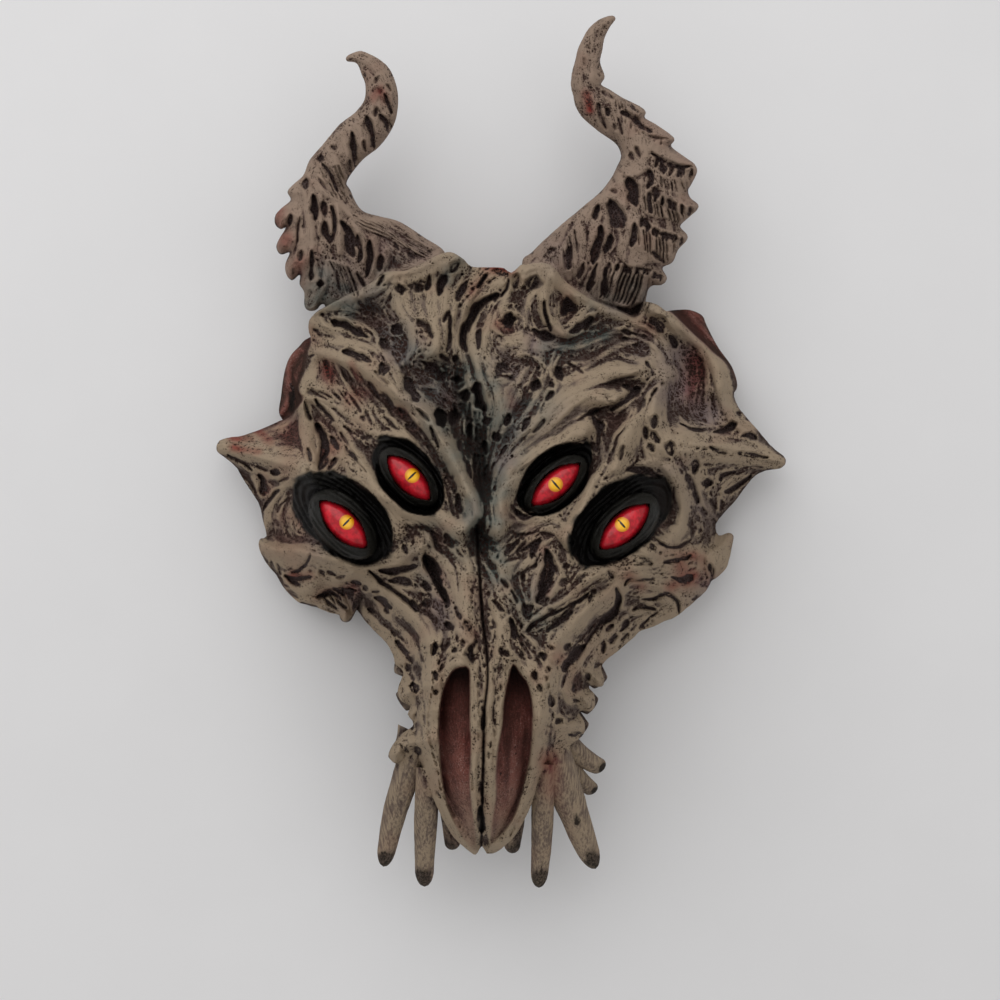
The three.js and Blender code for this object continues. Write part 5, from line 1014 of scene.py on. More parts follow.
bareHigh = formHigh.copy()
socketDark = np.zeros(mapShape)
pocket = np.zeros(mapShape, bool)
for eye in eyes.values():
    level = float(readMap(bareHigh, *eye["at"]))
    socketLevel = float(readMap(bareHigh, *eye["socketAt"]))
    bowl = (*eye["socket"], lidShape["socketDepth"])
    lean = eye["lean"]
    window = shapeByBall(eye["socketAt"], bowl, eye["socketTurn"], lean, socketLevel, raised=False)
    _, out = almondShare(eye["socketAt"], eye["socket"], eye["socketTurn"], window)
    frayed = 1.05 + 0.03 * softNoise(2.2, 42)[window] + 0.02 * coarseStreak[window]
    socketDark[window] = np.maximum(socketDark[window], ease((frayed - out) / 0.1))
    lid = (*(half * lidShape["lidShare"] for half in eye["socket"]), lidShape["lidHigh"])
    lidLevel = level - lidShape["lidSink"]
    shapeByBall(eye["at"], lid, eye["turn"], lean, lidLevel)
    room = (half + lidShape["coverWide"] for half in eye["eye"])
    cover = (*room, lidShape["dome"] + lidShape["coverHigh"])
    shapeByBall(eye["at"], cover, eye["turn"], lean, level - lidShape["coverSink"])
    window = windowRound(np.array([eye["at"]]), lidShape["foldReach"])
    almond, out = almondShare(eye["at"], eye["eye"], eye["turn"], window)
    fold = (out - 1) / lidShape["wrinkleStep"]
    wave = np.sin(fold * 2 * math.pi + 1.2 * softNoise(5, 41)[window]) * ease((out - 1.05) / 0.2)
    inSocket = socketDark[window] * ease((2.9 - out) / 0.6)
    formHigh[window] += lidShape["wrinkle"] * wave * inSocket
    edge = np.exp(-(((almond - 1.16) / 0.16) ** 2)) * lidShape["edge"]
    formHigh[window] += edge * inSocket
    hole = tuple(half + lidShape["gap"] for half in (*eye["eye"], lidShape["dome"]))
    window, inside, _, lower = ballHeights(eye["at"], hole, eye["turn"], lean, level)
    almond, _ = almondShare(eye["at"], eye["eye"], eye["turn"], window)
    seated = inside & (almond < 1.04)
    pocket[window] |= seated
    formHigh[window] = np.where(seated, np.minimum(formHigh[window], lower), formHigh[window])

muzzle = {
    "nostrilLeft": [-17, -97, 3, -1, 0.5, -9.5, 0, -13.5, 0.5, -13.5, -0.5, -13.5, 1, -12.5, 1.5, -11,
        0, -8.5, -4, 3.5, -4.5, 7, -4, 9.5, -2.5, 12, -1, 11, -0.5, 11.5, 0.5, 10.5, 2, 9, 3.5, 7],
    "nostrilRight": [6, -96, 3, -4, 3.5, -5, 2, -9, 0, -11.5, -1, -11.5, -2, -10, -2.5, -10, -3.5, -9,
        -5.5, -7, -4, -3.5, 0, 7.5, 2, 12, 0, 11, 1, 11.5, 2, 11, 1, 11.5, 2, 10],
    "nostrilTip": 8,  # the point of a nostril's line that is its lower tip
    "nostrilDeep": (15, 1.5),
    "cleft": [-10.5, -33.5, 0.5, -11, 1, -13.5, 0.5, -9, 1, -11.5, 1.5, -11, 0.5, -13.5, -1.5, -15,
        -0.5, -21, -0.5, -18, -0.5, -21.5],
    "cleftHalf": 0.45,
    "cleftDeep": 4.0,
}
nostrilTop, nostrilTip = pointsOf(muzzle["nostrilLeft"])[[0, muzzle["nostrilTip"]], 1]
nostrilShare = clamp01((nostrilTop - mapY) / (nostrilTop - nostrilTip))
nostrilDepth = np.maximum(depthMap(muzzle["nostrilLeft"], 8), depthMap(muzzle["nostrilRight"], 8))
nostrilIn = ease((nostrilDepth + 0.3) / 0.9)
nostrilDeep = nostrilIn * between(muzzle["nostrilDeep"], nostrilShare)
cleftPoints = smoothLine(muzzle["cleft"])
cleftWindow = windowRound(cleftPoints, 6)
cleftAway = nearLine(cleftPoints, cleftWindow, stray=False)[0]
cleftIn = np.zeros(mapShape)
cleftIn[cleftWindow] = ease((muzzle["cleftHalf"] + 0.6 - cleftAway) / 1.1)

# Everything put together: the height of what is seen from above.
surface = {
    "grainShare": (0.35, 0.65),  # of the grain, kept everywhere and added where the bone is rough
    "quietGrain": 0.12,  # fine grain in the sockets and nostrils
    "webThin": 0.35,
    "webTall": 0.42,  # height of the webs in a hole, as a share of its depth
    "holeInSocket": 0.7,  # share of a hole's depth that a socket takes away
    "reliefInPocket": 0.8,  # share of the relief that the eyes' pockets take away
    "fleshLevel": 24,
    "fleshSwell": 5,
    "fleshReach": 10,
    "fleshStripe": 0.7,
}
grainHigh = carving["coarseGrain"] * coarseStreak + carving["fineGrain"] * fineStreak
grainKept, grainAdded = surface["grainShare"]
boneWebs = grainHigh * (grainKept + grainAdded * rough)
quiet = 1 - clamp01(socketDark + nostrilIn)
relief = strandHigh - flankLow * clamp01(1 - strandHigh / 0.6)
relief += boneWebs * quiet + surface["quietGrain"] * fineStreak * (1 - quiet)
relief += holeLip * (1 - clamp01(holeDark * 1.4)) + carving["lip"] * pitLip * rough * quiet
webs = np.exp(-((coarseStreak / surface["webThin"]) ** 2))  # thin webs stay standing inside the holes
openShare = 1 - surface["holeInSocket"] * socketDark
relief -= holeDeep * openShare * (1 - surface["webTall"] * webs) + pitDeep * rough * quiet
relief -= muzzle["cleftDeep"] * cleftIn
relief *= 1 - surface["reliefInPocket"] * pocket
faceHigh = formHigh + relief - nostrilDeep
fleshStripe = streaks(softNoise(0.8, 51), 9)
fleshRise = np.sqrt(clamp01(fleshDepth / surface["fleshReach"]))
fleshTop = surface["fleshLevel"] + surface["fleshSwell"] * fleshRise
fleshTop = fleshTop - surface["fleshSwell"] + surface["fleshStripe"] * fleshStripe
underBone = clamp01((boneDepth + 0.6) / 0.9)
faceHigh = faceHigh * underBone + fleshTop * (1 - underBone)
print("face put together")

# Each horn: its outline as seen, round from the tip, and its stations from the root.
# A station holds the middle of the horn, its half width, the height of its middle and half its
# thickness.
horns = {
    "horn_left": {
        "outline": [-66.5, 179, -2.5, -1.5, 0, -2, 4.5, -1, 2.5, -5.5, 1.5, -4.5, -0.5, -6.5, -4, -5.5,
            -4.5, -3.5, -3.5, -3, -7, -8.5, -5.5, -6.5, -3, -7, -5, -4.5, -2, -3, 1.5, -3.5, -4, -3.5,
            -3, -3.5, 0, -4, 2.5, -2, 2.5, 1, -3.5, -6, -1, -3.5, 2, -3, 4, 1, -2, -5.5, 0.5, -4.5, 2.5,
            -2.5, 3.5, 2.5, 0, -4.5, 2, -3.5, 0, -5.5, 1.5, -2.5, 3.5, 0, 4, 2.5, 4.5, -11.5, 20.5, 0,
            22.5, 13.5, 6.5, 11.5, 0, 10, -9, 6.5, -11, 7, -9, 2.5, -7, 2, -3.5, 3.5, -3, 6.5, -1.5, 4,
            7, 9.5, 8, 6.5, 6, 9, 2, 9, -0.5, 8, -3, 8, -4.5, 4.5, -5.5, 3, -3.5, 1],
        "stations": [
            (-50.5, 59, 24, 27, 9), (-57.5, 77, 28, 28, 10), (-67.5, 87.5, 28, 31, 12),
            (-74.5, 97, 25, 34, 13), (-80, 106, 17, 36, 13), (-81, 116, 13.5, 36, 12),
            (-75.5, 126.5, 12.5, 36, 11), (-65.5, 138, 12.5, 36, 10.5), (-57.5, 146, 10, 37, 9.5),
            (-53.5, 155, 8, 38, 8), (-54, 164.5, 7, 39, 7), (-57, 173, 5.5, 40, 5.6),
            (-63, 177, 4, 40, 4), (-68.5, 177, 2.4, 39, 2.4),
        ],
    },
    "horn_right": {
        "outline": [50.5, 196, -4, -1, -3.5, -2, -3.5, -3.5, -2.5, -4.5, -2, -4.5, -1, -4.5, -1.5, -5.5,
            -0.5, -6, 1, -4.5, 1, -4.5, 2.5, -4.5, 3, -3, 3, -2.5, 2.5, -2, 6.5, -4.5, 2.5, -3.5, 0.5,
            -3.5, -1.5, -3.5, -2.5, -5, -3.5, -5, -4, -4, -5, -4, -4, -3.5, -5, -4, -9, -8, -5.5, -5.5,
            -4.5, -4.5, 3.5, -12.5, 13.5, -4.5, 18, -10, 18, -3.5, 2.5, 13.5, 2, 6, 5.5, 1, 2, 3, -2,
            4.5, 4.5, 2.5, 2.5, 5.5, 4, 4.5, 0, 2.5, -3, 3.5, 2.5, 3, 5, 4.5, 0.5, 2.5, -3.5, 3, -1,
            3.5, 1.5, 2.5, 2.5, 5.5, -1, 3.5, -4, 3, -6.5, 5, 1.5, 3, -2, 2.5, -6.5, 4.5, -5, 3, 0.5,
            2.5, -2.5, 2.5, -8, 4, -5.5, 3.5, -4, 2.5, 1.5, 3.5, -2, 6.5, 1, 5.5, 1, 5.5, 2.5, 5, 2.5,
            3.5],
        "stations": [
            (41, 63, 24, 27, 9), (39.5, 76.5, 28, 28, 10), (46, 84.5, 28, 31, 12),
            (53, 96, 25, 34, 13), (60.5, 106, 22, 36, 13.5), (65.5, 116, 18, 36, 13),
            (68, 126.5, 15, 36, 12), (63.5, 136, 12, 36, 11), (56, 143.5, 10, 36, 10),
            (49, 151, 10, 37, 9), (42, 158.5, 8, 38, 8), (38.5, 167, 7, 39, 7), (39, 178, 6, 40, 6),
            (41.5, 185.5, 5, 41, 5), (46, 191.5, 3.2, 42, 3.4), (50.5, 195.5, 2.2, 42, 2.2),
        ],
    },
}
hornShape = {
    "relief": 0.8,
    "backRelief": 0.7,  # of that, on the underside
    "outside": 3.0,
    "blend": 2.5,  # blurs the steps between stations
    "edge": 2.2,  # the relief starts this far in
    "sink": 0.5,
}


# Upper and lower side of a horn: a round form that swells from its outline, carved with the relief.
def hornHeights(horn):
    depth = depthMap(horn["outline"], 12, 1.0)
    stations = np.array(horn["stations"], float)
    route = smoothLine(stations[:, :2], 4)
    _, share, _, _ = nearLine(route, everywhere)
    place = share * (len(stations) - 1)
    index = np.arange(len(stations))
    halfWide, middle, halfThick = (np.interp(place, index, stations[:, k]) for k in (2, 3, 4))
    middle, halfWide, halfThick = (
        blur(field, hornShape["blend"]) for field in (middle, halfWide, halfThick)
    )
    inward = clamp01(depth / halfWide)
    swell = halfThick * np.sqrt(1 - (1 - inward) ** 2)
    swell = np.where(depth > 0, swell, depth * hornShape["outside"])
    carved = (strandHigh + boneWebs - holeDeep - pitDeep * rough + holeLip) * hornShape["relief"]
    keep = clamp01(depth / hornShape["edge"])
    swell = swell - hornShape["sink"] * keep
    lower = middle - swell + carved[:, ::-1] * keep * hornShape["backRelief"]
    return middle + swell + carved * keep, lower, depth


hornMaps = {name: hornHeights(horn) for name, horn in horns.items()}
print("horns put together")


# A mesh object from a bmesh.
def objectFrom(bm, name):
    mesh = bpy.data.meshes.new(name)
    bm.to_mesh(mesh)
    bm.free()
    made = bpy.data.objects.new(name, mesh)
    bpy.context.scene.collection.objects.link(made)
    return made


def places(mesh):
    flat = np.empty(len(mesh.vertices) * 3, np.float32)
    mesh.vertices.foreach_get("co", flat)
    return flat.reshape(-1, 3)


def setPlaces(mesh, points):
    mesh.vertices.foreach_set("co", np.asarray(points, np.float32).ravel())
    mesh.update()


# A block over a rectangle, in millimetres. One side follows a map of heights and the other is flat.
def heightBlock(name, field, low, high, spacing, flatAt):
    countX = int(round((high[0] - low[0]) / spacing))
    countY = int(round((high[1] - low[1]) / spacing))
    bm = bmesh.new()
    bmesh.ops.create_grid(bm, x_segments=countX, y_segments=countY, size=0.5)
    border = [edge for edge in bm.edges if edge.is_boundary]
    hung = bmesh.ops.extrude_edge_only(bm, edges=border)["geom"]
    skirt = [item for item in hung if isinstance(item, bmesh.types.BMVert)]
    for vertex in skirt:
        vertex.co.z = 1
    loop = [item for item in hung if isinstance(item, bmesh.types.BMEdge) and item.is_boundary]
    bmesh.ops.contextual_create(bm, geom=loop)
    if flatAt < field.mean():
        for vertex in skirt:
            vertex.co.z = -1
    bmesh.ops.recalc_face_normals(bm, faces=bm.faces)
    made = objectFrom(bm, name)
    points = places(made.data)
    onSkirt = np.abs(points[:, 2]) > 0.5
    x = low[0] + (points[:, 0] + 0.5) * (high[0] - low[0])
    y = low[1] + (points[:, 1] + 0.5) * (high[1] - low[1])
    z = np.where(onSkirt, flatAt, readMap(field, x, y))
    setPlaces(made.data, np.stack([x, y, z], 1))
    return made


# An upright block over a closed line.
def outlineBlock(name, points, low, high):
    bm = bmesh.new()
    corners = [bm.verts.new((x, y, low)) for x, y in points]
    base = bm.faces.new(corners)
    risen = bmesh.ops.extrude_face_region(bm, geom=[base])["geom"]
    for item in risen:
        if isinstance(item, bmesh.types.BMVert):
            item.co.z = high
    bmesh.ops.recalc_face_normals(bm, faces=bm.faces)
    return objectFrom(bm, name)


# A tube: a sheet of squares wrapped round by a function of its share round and its share along.
def tube(name, around, along, place):
    bm = bmesh.new()
    bmesh.ops.create_grid(bm, x_segments=around, y_segments=along, size=0.5)
    for vertex in bm.verts:
        vertex.co = place(vertex.co.x + 0.5, vertex.co.y + 0.5)
    bmesh.ops.remove_doubles(bm, verts=bm.verts, dist=1e-4)
    bmesh.ops.holes_fill(bm, edges=[edge for edge in bm.edges if edge.is_boundary], sides=0)
    bmesh.ops.recalc_face_normals(bm, faces=bm.faces)
    return objectFrom(bm, name)


def applyModifiers(made):
    bpy.context.view_layer.update()
    ready = made.evaluated_get(bpy.context.evaluated_depsgraph_get())
    mesh = bpy.data.meshes.new_from_object(ready)
    made.modifiers.clear()
    old = made.data
    made.data = mesh
    bpy.data.meshes.remove(old)


def combine(made, tool, operation):
    step = made.modifiers.new("combine", "BOOLEAN")
    step.operation = operation
    step.solver = "MANIFOLD"
    step.object = tool
    applyModifiers(made)
    bpy.data.objects.remove(tool)


def thinOut(made, triangles):
    count = sum(len(face.vertices) - 2 for face in made.data.polygons)
    if count > triangles:
        step = made.modifiers.new("thin out", "DECIMATE")
        step.ratio = triangles / count
        step.use_collapse_triangulate = True
        applyModifiers(made)
    return count


# From the place as seen in line to the true place in the frame, both in millimetres.
def trueX(x, z):
    return layout["viewX"] + (x - layout["viewX"]) * (1 - z / layout["viewDistance"]) - layout["boxX"]


def trueY(y, z):
    return layout["viewY"] + (y - layout["viewY"]) * (1 - z / layout["viewDistance"]) - layout["boxY"]


casting = {
    "grid": 0.5,
    "triangles": 186000,
    "top": 130.0,
    "wall": 7.0,
    "rimWidth": 7.0,
    "crownBlock": 24.0,
    "crownStart": 50.0,
    "spikeLift": 14.0,
    "liftWidth": 11.0,
    "undercut": 1.7,  # how far the side walls draw in below the edge
    "flute": 1.1,
    "low": (-133.0, -190.0),
    "high": (133.0, 90.0),
    "levels": 40,  # rows of squares up the side walls
    "wallReach": 9,  # how far off a carved hole still lowers the hollow
    "thinnest": 2.6,
    "hollowLow": 2,
}
low, high = casting["low"], casting["high"]


# The bone's block: its walls draw in below the edge and are fluted like the face.
def boneWalls():
    points = outlinePoints
    count = len(points)
    levels = casting["levels"]
    ahead = np.roll(points, -2, axis=0) - np.roll(points, 2, axis=0)
    outward = np.stack([ahead[:, 1], -ahead[:, 0]], 1)
    outward /= np.linalg.norm(outward, axis=1)[:, None] + 1e-9
    trial = readMap(boneDepth, *(points + outward * 1.0).T)
    outward[trial > 0] *= -1
    room = np.array([readMap(boneDepth, *(points - outward * reach).T) for reach in (2.0, 4.0, 6.0)])
    room = clamp01((room.min(0) - 0.8) / 2.0)
    edge = readMap(blur(faceHigh, 1.2), *(points - outward * 2.0).T)

    def place(shareRound, shareAlong):
        i = int(round(shareRound * count)) % count
        level = shareAlong * levels
        if level > levels - 0.5:
            return Vector((*points[i], casting["top"]))
        t = level / (levels - 1)
        z = -1 + (edge[i] + 3) * t
        below = min(1, max(0, (edge[i] - 0.5 - z) / 7))
        spot = Vector((points[i][0] * 0.16, points[i][1] * 0.16, z * 0.07))
        flute = noise.noise(spot) + 0.5 * noise.noise(spot * 2.3) - 0.35 * abs(noise.noise(spot * 4.1))
        draw = room[i] * below * (casting["undercut"] + casting["flute"] * flute)
        x, y = points[i] - outward[i] * max(0.0, draw)
        return Vector((x, y, z))

    return tube("bone block", count, levels, place)


# The hollow behind the face, which keeps its wall to every hole of the carving.
def hollowTop():
    carved = formHigh - nostrilDeep - muzzle["cleftDeep"] * cleftIn
    lowest = carved.copy()
    reach = casting["wallReach"] / cell
    for i in range(8):
        shiftX = int(round(reach * math.cos(i * math.pi / 4)))
        shiftY = int(round(reach * math.sin(i * math.pi / 4)))
        lowest = np.minimum(lowest, np.roll(carved, (shiftY, shiftX), (0, 1)))
    thin = faceHigh.copy()
    for shift in range(-4, 5):
        thin = np.minimum(thin, np.roll(faceHigh, shift * 2, 0))
    across = thin.copy()
    for shift in range(-4, 5):
        across = np.minimum(across, np.roll(thin, shift * 2, 1))
    roof = np.minimum(lowest - casting["wall"], across - casting["thinnest"])
    return np.maximum(roof, casting["hollowLow"])


def insetPoints(line, distanceAt):
    points = smoothLine(line, 5, closed=True)
    ahead = np.roll(points, -1, axis=0) - np.roll(points, 1, axis=0)
    inward = np.stack([-ahead[:, 1], ahead[:, 0]], 1) / np.linalg.norm(ahead, axis=1)[:, None]
    inward[readMap(rimDepth, *(points + inward).T) < 0] *= -1
    return points + inward * distanceAt(points[:, 1])[:, None]


# Fangs, teeth and knobs: root, tip, their heights, half widths, sideways bow.
teeth = {
    "fang outer left": (-37.5, -133, -52.5, -187, (60, 36), (6.6, 3.7), 1.5),
    "fang inner left": (-32, -142.5, -34, -196, (63, 34), (5.8, 3.8), 0.5),
    "fang inner right": (19.5, -141, 17.5, -196.5, (63, 34), (5.6, 3.7), -0.5),
    "fang outer right": (21, -131, 43, -188, (60, 36), (9.2, 3.8), 0),
    "tooth right high": (29.5, -131, 47, -143, (50, 40), (5.2, 3.4), 1),
    "tooth right low": (29.5, -140, 43, -153.5, (46, 34), (4.8, 3.2), 1),
    "tooth back left": (-21.5, -157, -21.5, -179.5, (44, 30), (5.4, 3), 0),
    "tooth back right": (6.5, -157, 5.5, -181, (44, 30), (5.4, 3), 0),
    "knob left high": (-39.5, -97.5, -47.5, -96, (40, 36), (5, 3.4), 0),
    "knob left middle": (-39.5, -110, -45, -113.5, (42, 38), (6, 4.2), 0),
    "knob left low": (-40.5, -125.5, -47.5, -140, (46, 38), (6, 4.2), -2),
    "barb left": (-66.5, -62.5, -70, -77, (34, 22), (5, 2.2), 0),
    "knob right high": (39.5, -97.5, 46, -105, (42, 38), (6, 3.8), 0),
    "knob right middle": (34, -109.5, 42.5, -115.5, (44, 38), (6, 4.2), 0),
    "knob right low": (29.5, -119, 38, -126.5, (46, 40), (6, 4.2), 0),
}
toothShape = {
    "taper": 1.4,
    "roundFrom": 0.87,
    "ridges": 0.12,
    "fineRidges": 0.05,
    "sides": 26,
    "steps": 34,
    "crowding": 1.25,  # draws the steps together towards the tip
}


def tooth(name, rootX, rootY, tipX, tipY, z, half, bow):
    length = math.hypot(tipX - rootX, tipY - rootY)
    side = ((tipY - rootY) / length, (rootX - tipX) / length)

    def place(shareRound, shareAlong):
        share = 1 - (1 - shareAlong) ** toothShape["crowding"]
        turn = shareRound * 2 * math.pi
        radius = half[0] + (half[1] - half[0]) * share ** toothShape["taper"]
        end = max(0.0, (share - toothShape["roundFrom"]) / (1 - toothShape["roundFrom"]))
        radius *= math.sqrt(max(0.0, 1 - end**2))
        spot = Vector((math.cos(turn) * 2.6, math.sin(turn) * 2.6, share * length * 0.05 + tipX))
        ridge = toothShape["ridges"] * noise.noise(spot)
        ridge += toothShape["fineRidges"] * noise.noise(spot * 3)
        radius *= 1 + ridge
        sideways = math.cos(turn) * radius + bow * math.sin(share * math.pi)
        x = rootX + (tipX - rootX) * share + side[0] * sideways
        y = rootY + (tipY - rootY) * share + side[1] * sideways
        return Vector((x, y, z[0] + (z[1] - z[0]) * share + math.sin(turn) * radius))

    return tube(name, toothShape["sides"], toothShape["steps"], place)


def maskPiece():
    mask = heightBlock("mask relief", faceHigh, low, high, casting["grid"], 0)
    block = boneWalls()
    for name, line in (("flesh left", fleshLeft), ("flesh right", fleshRight)):
        edge = smoothLine(line, closed=True)
        combine(block, outlineBlock(name, edge, -1, casting["top"]), "UNION")
    combine(mask, block, "INTERSECT")
    print("mask cut out of its block")
    outside = -rimDepth
    lift = casting["spikeLift"] * ease(outside / casting["liftWidth"]) - 1
    under = np.maximum(lift, tableValue(faceProfile["underside"], mapY) - 1)
    combine(mask, heightBlock("under the mask", under, low, high, 3, -5), "DIFFERENCE")
    core = heightBlock("hollow", hollowTop(), low, high, 2.5, -2)
    behind = (casting["crownBlock"], casting["rimWidth"])
    inset = insetPoints(rim, lambda y: np.where(y > casting["crownStart"], *behind))
    combine(core, outlineBlock("hollow outline", inset, -3, casting["top"]), "INTERSECT")
    combine(mask, core, "DIFFERENCE")
    print("mask hollowed")
    for name, row in teeth.items():
        combine(mask, tooth(name, *row), "UNION")
    print("fangs and knobs joined on")
    return mask


# Wash in the hollows and dry brush on the heights, worked out from the relief at three scales: partly
# the casting's own wash and dry brush, partly painted shade in the hollows and painted light on the
# heights.
washAndShadeScales = {
    "small": (0.8, 0.6, 0.34),  # reach, depth that turns it full, share
    "middle": (2.4, 1.2, 0.36),
    "wide": (7.0, 2.8, 0.34),
}


def liftOf(field):
    total = np.zeros(mapShape)
    for reach, full, share in washAndShadeScales.values():
        total += share * np.tanh((field - blur(field, reach)) / full)
    return total


seenHigh = faceHigh.copy()
offObject = (boneDepth < 0) & (fleshDepth < 0)
for upper, _, depth in hornMaps.values():
    seenHigh = np.where((depth > 0) & (boneDepth < 0), upper, seenHigh)
    offObject &= depth < 0
seenHigh = np.where(offObject, blur(seenHigh, 2), seenHigh)
brush = {
    "coarseGrain": 0.12,
    "fineGrain": 0.1,
    "plain": 0.455,
    "lift": 0.6,
    "tan": 0.2,
    # outward and cheek: painted light on the sides and on the cheeks
    "outward": 0.17,
    "cheek": 0.13,
}
grainLift = brush["coarseGrain"] * coarseStreak + brush["fineGrain"] * fineStreak
lift = liftOf(seenHigh) + grainLift

# Colour that doesn't follow the relief: each patch has its line, half width and strength.
patches = {
    "red": [
        ([-6, 81, 5, 0, 5, -1], 2.4, 0.4), ([-121, 6, 9, -1], 1.4, 0.5), ([-120, 2, 11, -2], 1.8, 0.5),
        ([-110, 9, 6, -5], 2.4, 0.65), ([-97, 9, 7, -9], 7, 0.45), ([-99, 9, 9, -11], 7, 0.35),
        ([-68, 23, 12, 4], 4, 0.3), ([-78, 38, 1, -4], 4, 0.5), ([-94, -31, 4, -14], 6, 0.45),
        ([88, 38, -2, -11], 6, 0.8), ([79, -49, 4, -9], 5, 0.55), ([-57, 159, 3, 3, 2, -3], 2.2, 0.85),
        ([-99, 108, -1, -7], 3.5, 0.45), ([-97, 95, -1, -7], 4.2, 0.5), ([-91, 85, -1, -8], 4.2, 0.5),
        ([39, 161, 1, -7], 2.2, 0.95), ([22, -132, 0, -21], 5, 0.4), ([-79, 9, 4, -11], 5, 0.6),
        ([-107, -13, 2, -5], 3, 0.5), ([-81, -66, 13, 4], 3, 0.6), ([-94, -56, 8, 0], 2.5, 0.5),
        ([-18, -76, 6, -6], 3, 0.2), ([-45, 18, 6, -7], 2.5, 0.4), ([-29, -56, 4, -10], 3, 0.5),
        ([26, -94, 7, -6], 3, 0.15), ([20, -45, 1, -18], 2.4, 0.3), ([-66, 40, 4, -8], 1.6, 0.4),
        ([-7, 83, 6, 0, 6, -2], 2.4, 0.8), ([-12, 72, 6, 9], 4, 0.35), ([0, 56, 4, -1], 2.5, 0.3),
        ([5, 21, -1, 6], 3, 0.3), ([-85, 54, 3, -4], 4, 0.35), ([63, 60, 5, -6], 4, 0.3),
        ([30, 68, 0, -5], 3, 0.35), ([63, -61, -4, 4], 3, 0.3), ([74, -47, 12, 0], 3, 0.55),
        ([77, -61, 10, 5], 3, 0.55), ([91, -49, 3, -11], 3, 0.3),
    ],
    "green": [
        ([-18, 85, -6, -7], 4, 0.7), ([-56, 70, -2, -3], 8, 0.5), ([-46, 51, 6, -7], 7, 0.6),
        ([-34, 40, 7, -5], 6, 0.6), ([-36, 29, 14, -6], 6, 0.6), ([-2, 27, 11, -8], 8, 0.5),
        ([0, 14, -4, -23, -3, -22], 12, 0.75), ([-14, 32, 3, -27], 11, 0.7),
        ([-27, 9, 13, -18], 9, 0.5), ([18, 21, -18, -21], 8, 0.35), ([22, 45, 23, 7], 6, 0.6),
        ([-8, -40, 8, -16], 8, 0.55), ([9, -67, 11, -9], 7, 0.45), ([-81, 75, 11, -7], 9, 0.7),
        ([-90, 65, 7, 3], 4, 0.6), ([-31, -36, 11, -9], 7, 0.35), ([-54, 81, 9, 4], 4, 0.3),
        ([63, 72, -18, -4], 8, 0.35), ([-22, -108, 1, -31], 3, 0.2), ([-40, -47, 6, -11], 4, 0.25),
    ],
    "frost": [
        ([78, 41, 1, -18], 9, 0.8), ([86, 21, 6, -3], 8, 0.7), ([-46, 52, 2, -7], 8, 0.55),
        ([-34, 30, 7, -7], 8, 0.45), ([-70, 82, 10, -10], 9, 0.4), ([-29, -61, 4, -15], 6, 0.6),
        ([20, -49, -2, -14], 5, 0.5), ([-36, 23, 9, 4], 8, 0.4), ([2, 38, 3, -2], 6, 0.5),
        ([85, -13, 5, -12], 5, 0.5), ([16, 47, 5, 0], 6, 0.5), ([-85, -20, 3, -24], 6, 0.4),
        ([63, 45, 11, 0], 7, 0.45), ([2, 38, 3, -4], 6, 0.35), ([68, -10, 9, 1], 5, 0.35),
        ([86, -9, 6, -18], 8, 0.35), ([90, -67, 5, 7], 6, 0.4), ([-76, -70, 9, 5], 5, 0.3),
        ([29, 21, -11, -12], 4, 0.2), ([54, 65, 9, 3], 7, 0.35), ([9, 14, -9, -23], 6, 0.3),
        ([-49, 92, 15, -4], 8, 0.25), ([25, 90, -7, -5], 8, 0.3),
    ],
    # Partly painted shade, in the valley between the brows and under the brows, partly dark paint; it
    # shows only where the surface lies low.
    "dark": [
        ([-17, 30, 6, -21, 3, -22, 0, -18], 9, 0.5), ([-28, 18, 2, -9], 4, 0.7),
        ([-6, 9, -1, -31], 5, 0.45), ([50, -140, -5, -4], 4, 0.45), ([44, -150, -3, -5], 4, 0.45),
        ([-94, 25, 0, -6], 3, 0.6), ([-100, 104, 0, -4], 2.6, 1), ([-98, 92, 1, -4], 3.2, 1),
        ([-93, 81, 2, -5], 3.2, 1), ([-87, 67, 1, -3], 2.8, 0.75), ([-86, 60, 0, -7], 4, 0.5),
        ([-82, 63, -4, 2], 5, 0.4), ([-70, -77, 1, 5], 2.5, 0.4), ([33, -164, 1, -3], 2, 0.9),
        ([9, 14, -12, -23], 4, 0.3), ([-88, -16, -3, -9], 4, 0.6), ([72, -16, 2, -8], 5, 0.8),
        ([66, 65, -5, -5], 5, 0.4), ([-8, -157, -1, -16], 3, 0.5), ([66, -9, 6, -1], 4, 0.4),
    ],
    "tips": [
        ([-51, -184, -2, -5], 6, 0.62), ([-34, -191, 0, -7], 5.6, 0.62), ([18, -191, 0, -7], 5.6, 0.62),
        ([42, -184, 2, -7], 5.6, 0.62), ([-22, -174, 0, -6], 5, 0.6), ([5, -174, 0, -7], 5, 0.6),
        ([47, -143, 4, -3], 3.0, 0.6), ([43, -153, 3, -4], 3.0, 0.6),
    ],
    "tan": [
        ([-31, -99, -1, -31, 3, -20, 9, -18], 5, 0.35),
        ([18, -108, -1, -23, -3, -22, -9, -18], 5, 0.35), ([-5, -108, 0, -63], 3.5, 0.3),
        ([90, 50, 11, -12, 3, -15, 6, -9], 6, 0.4),
        ([-72, 41, 27, -18, 13, -11, 14, -21, 7, -18], 3.5, 0.4),
        ([2, -18, 0, -11, 18, -1, 12, -8], 5, 0.35), ([-50, -22, 14, -6, 14, -3], 4, 0.3),
        ([-31, -92, 9, -4, 9, -2], 4, 0.3), ([53, 24, -18, -3, -15, -12], 4, 0.4),
        ([40, 9, -17, -4, -16, -13], 4, 0.35), ([62, 36, -20, -4, -15, -11], 3, 0.35),
        ([63, -56, -16, -10, -16, -15, -9, -11], 4, 0.35), ([-52, 79, 18, 5, 14, 3], 3.5, 0.3),
        ([-44, 72, 4, -18, 8, 5], 7, 0.25), ([6, 81, 16, 1, 18, -14, 23, -8], 3, 0.25),
        ([58, 9, -6, -17], 4, 0.3), ([-90, -11, -9, -7, -5, -13], 3, 0.3),
    ],
}


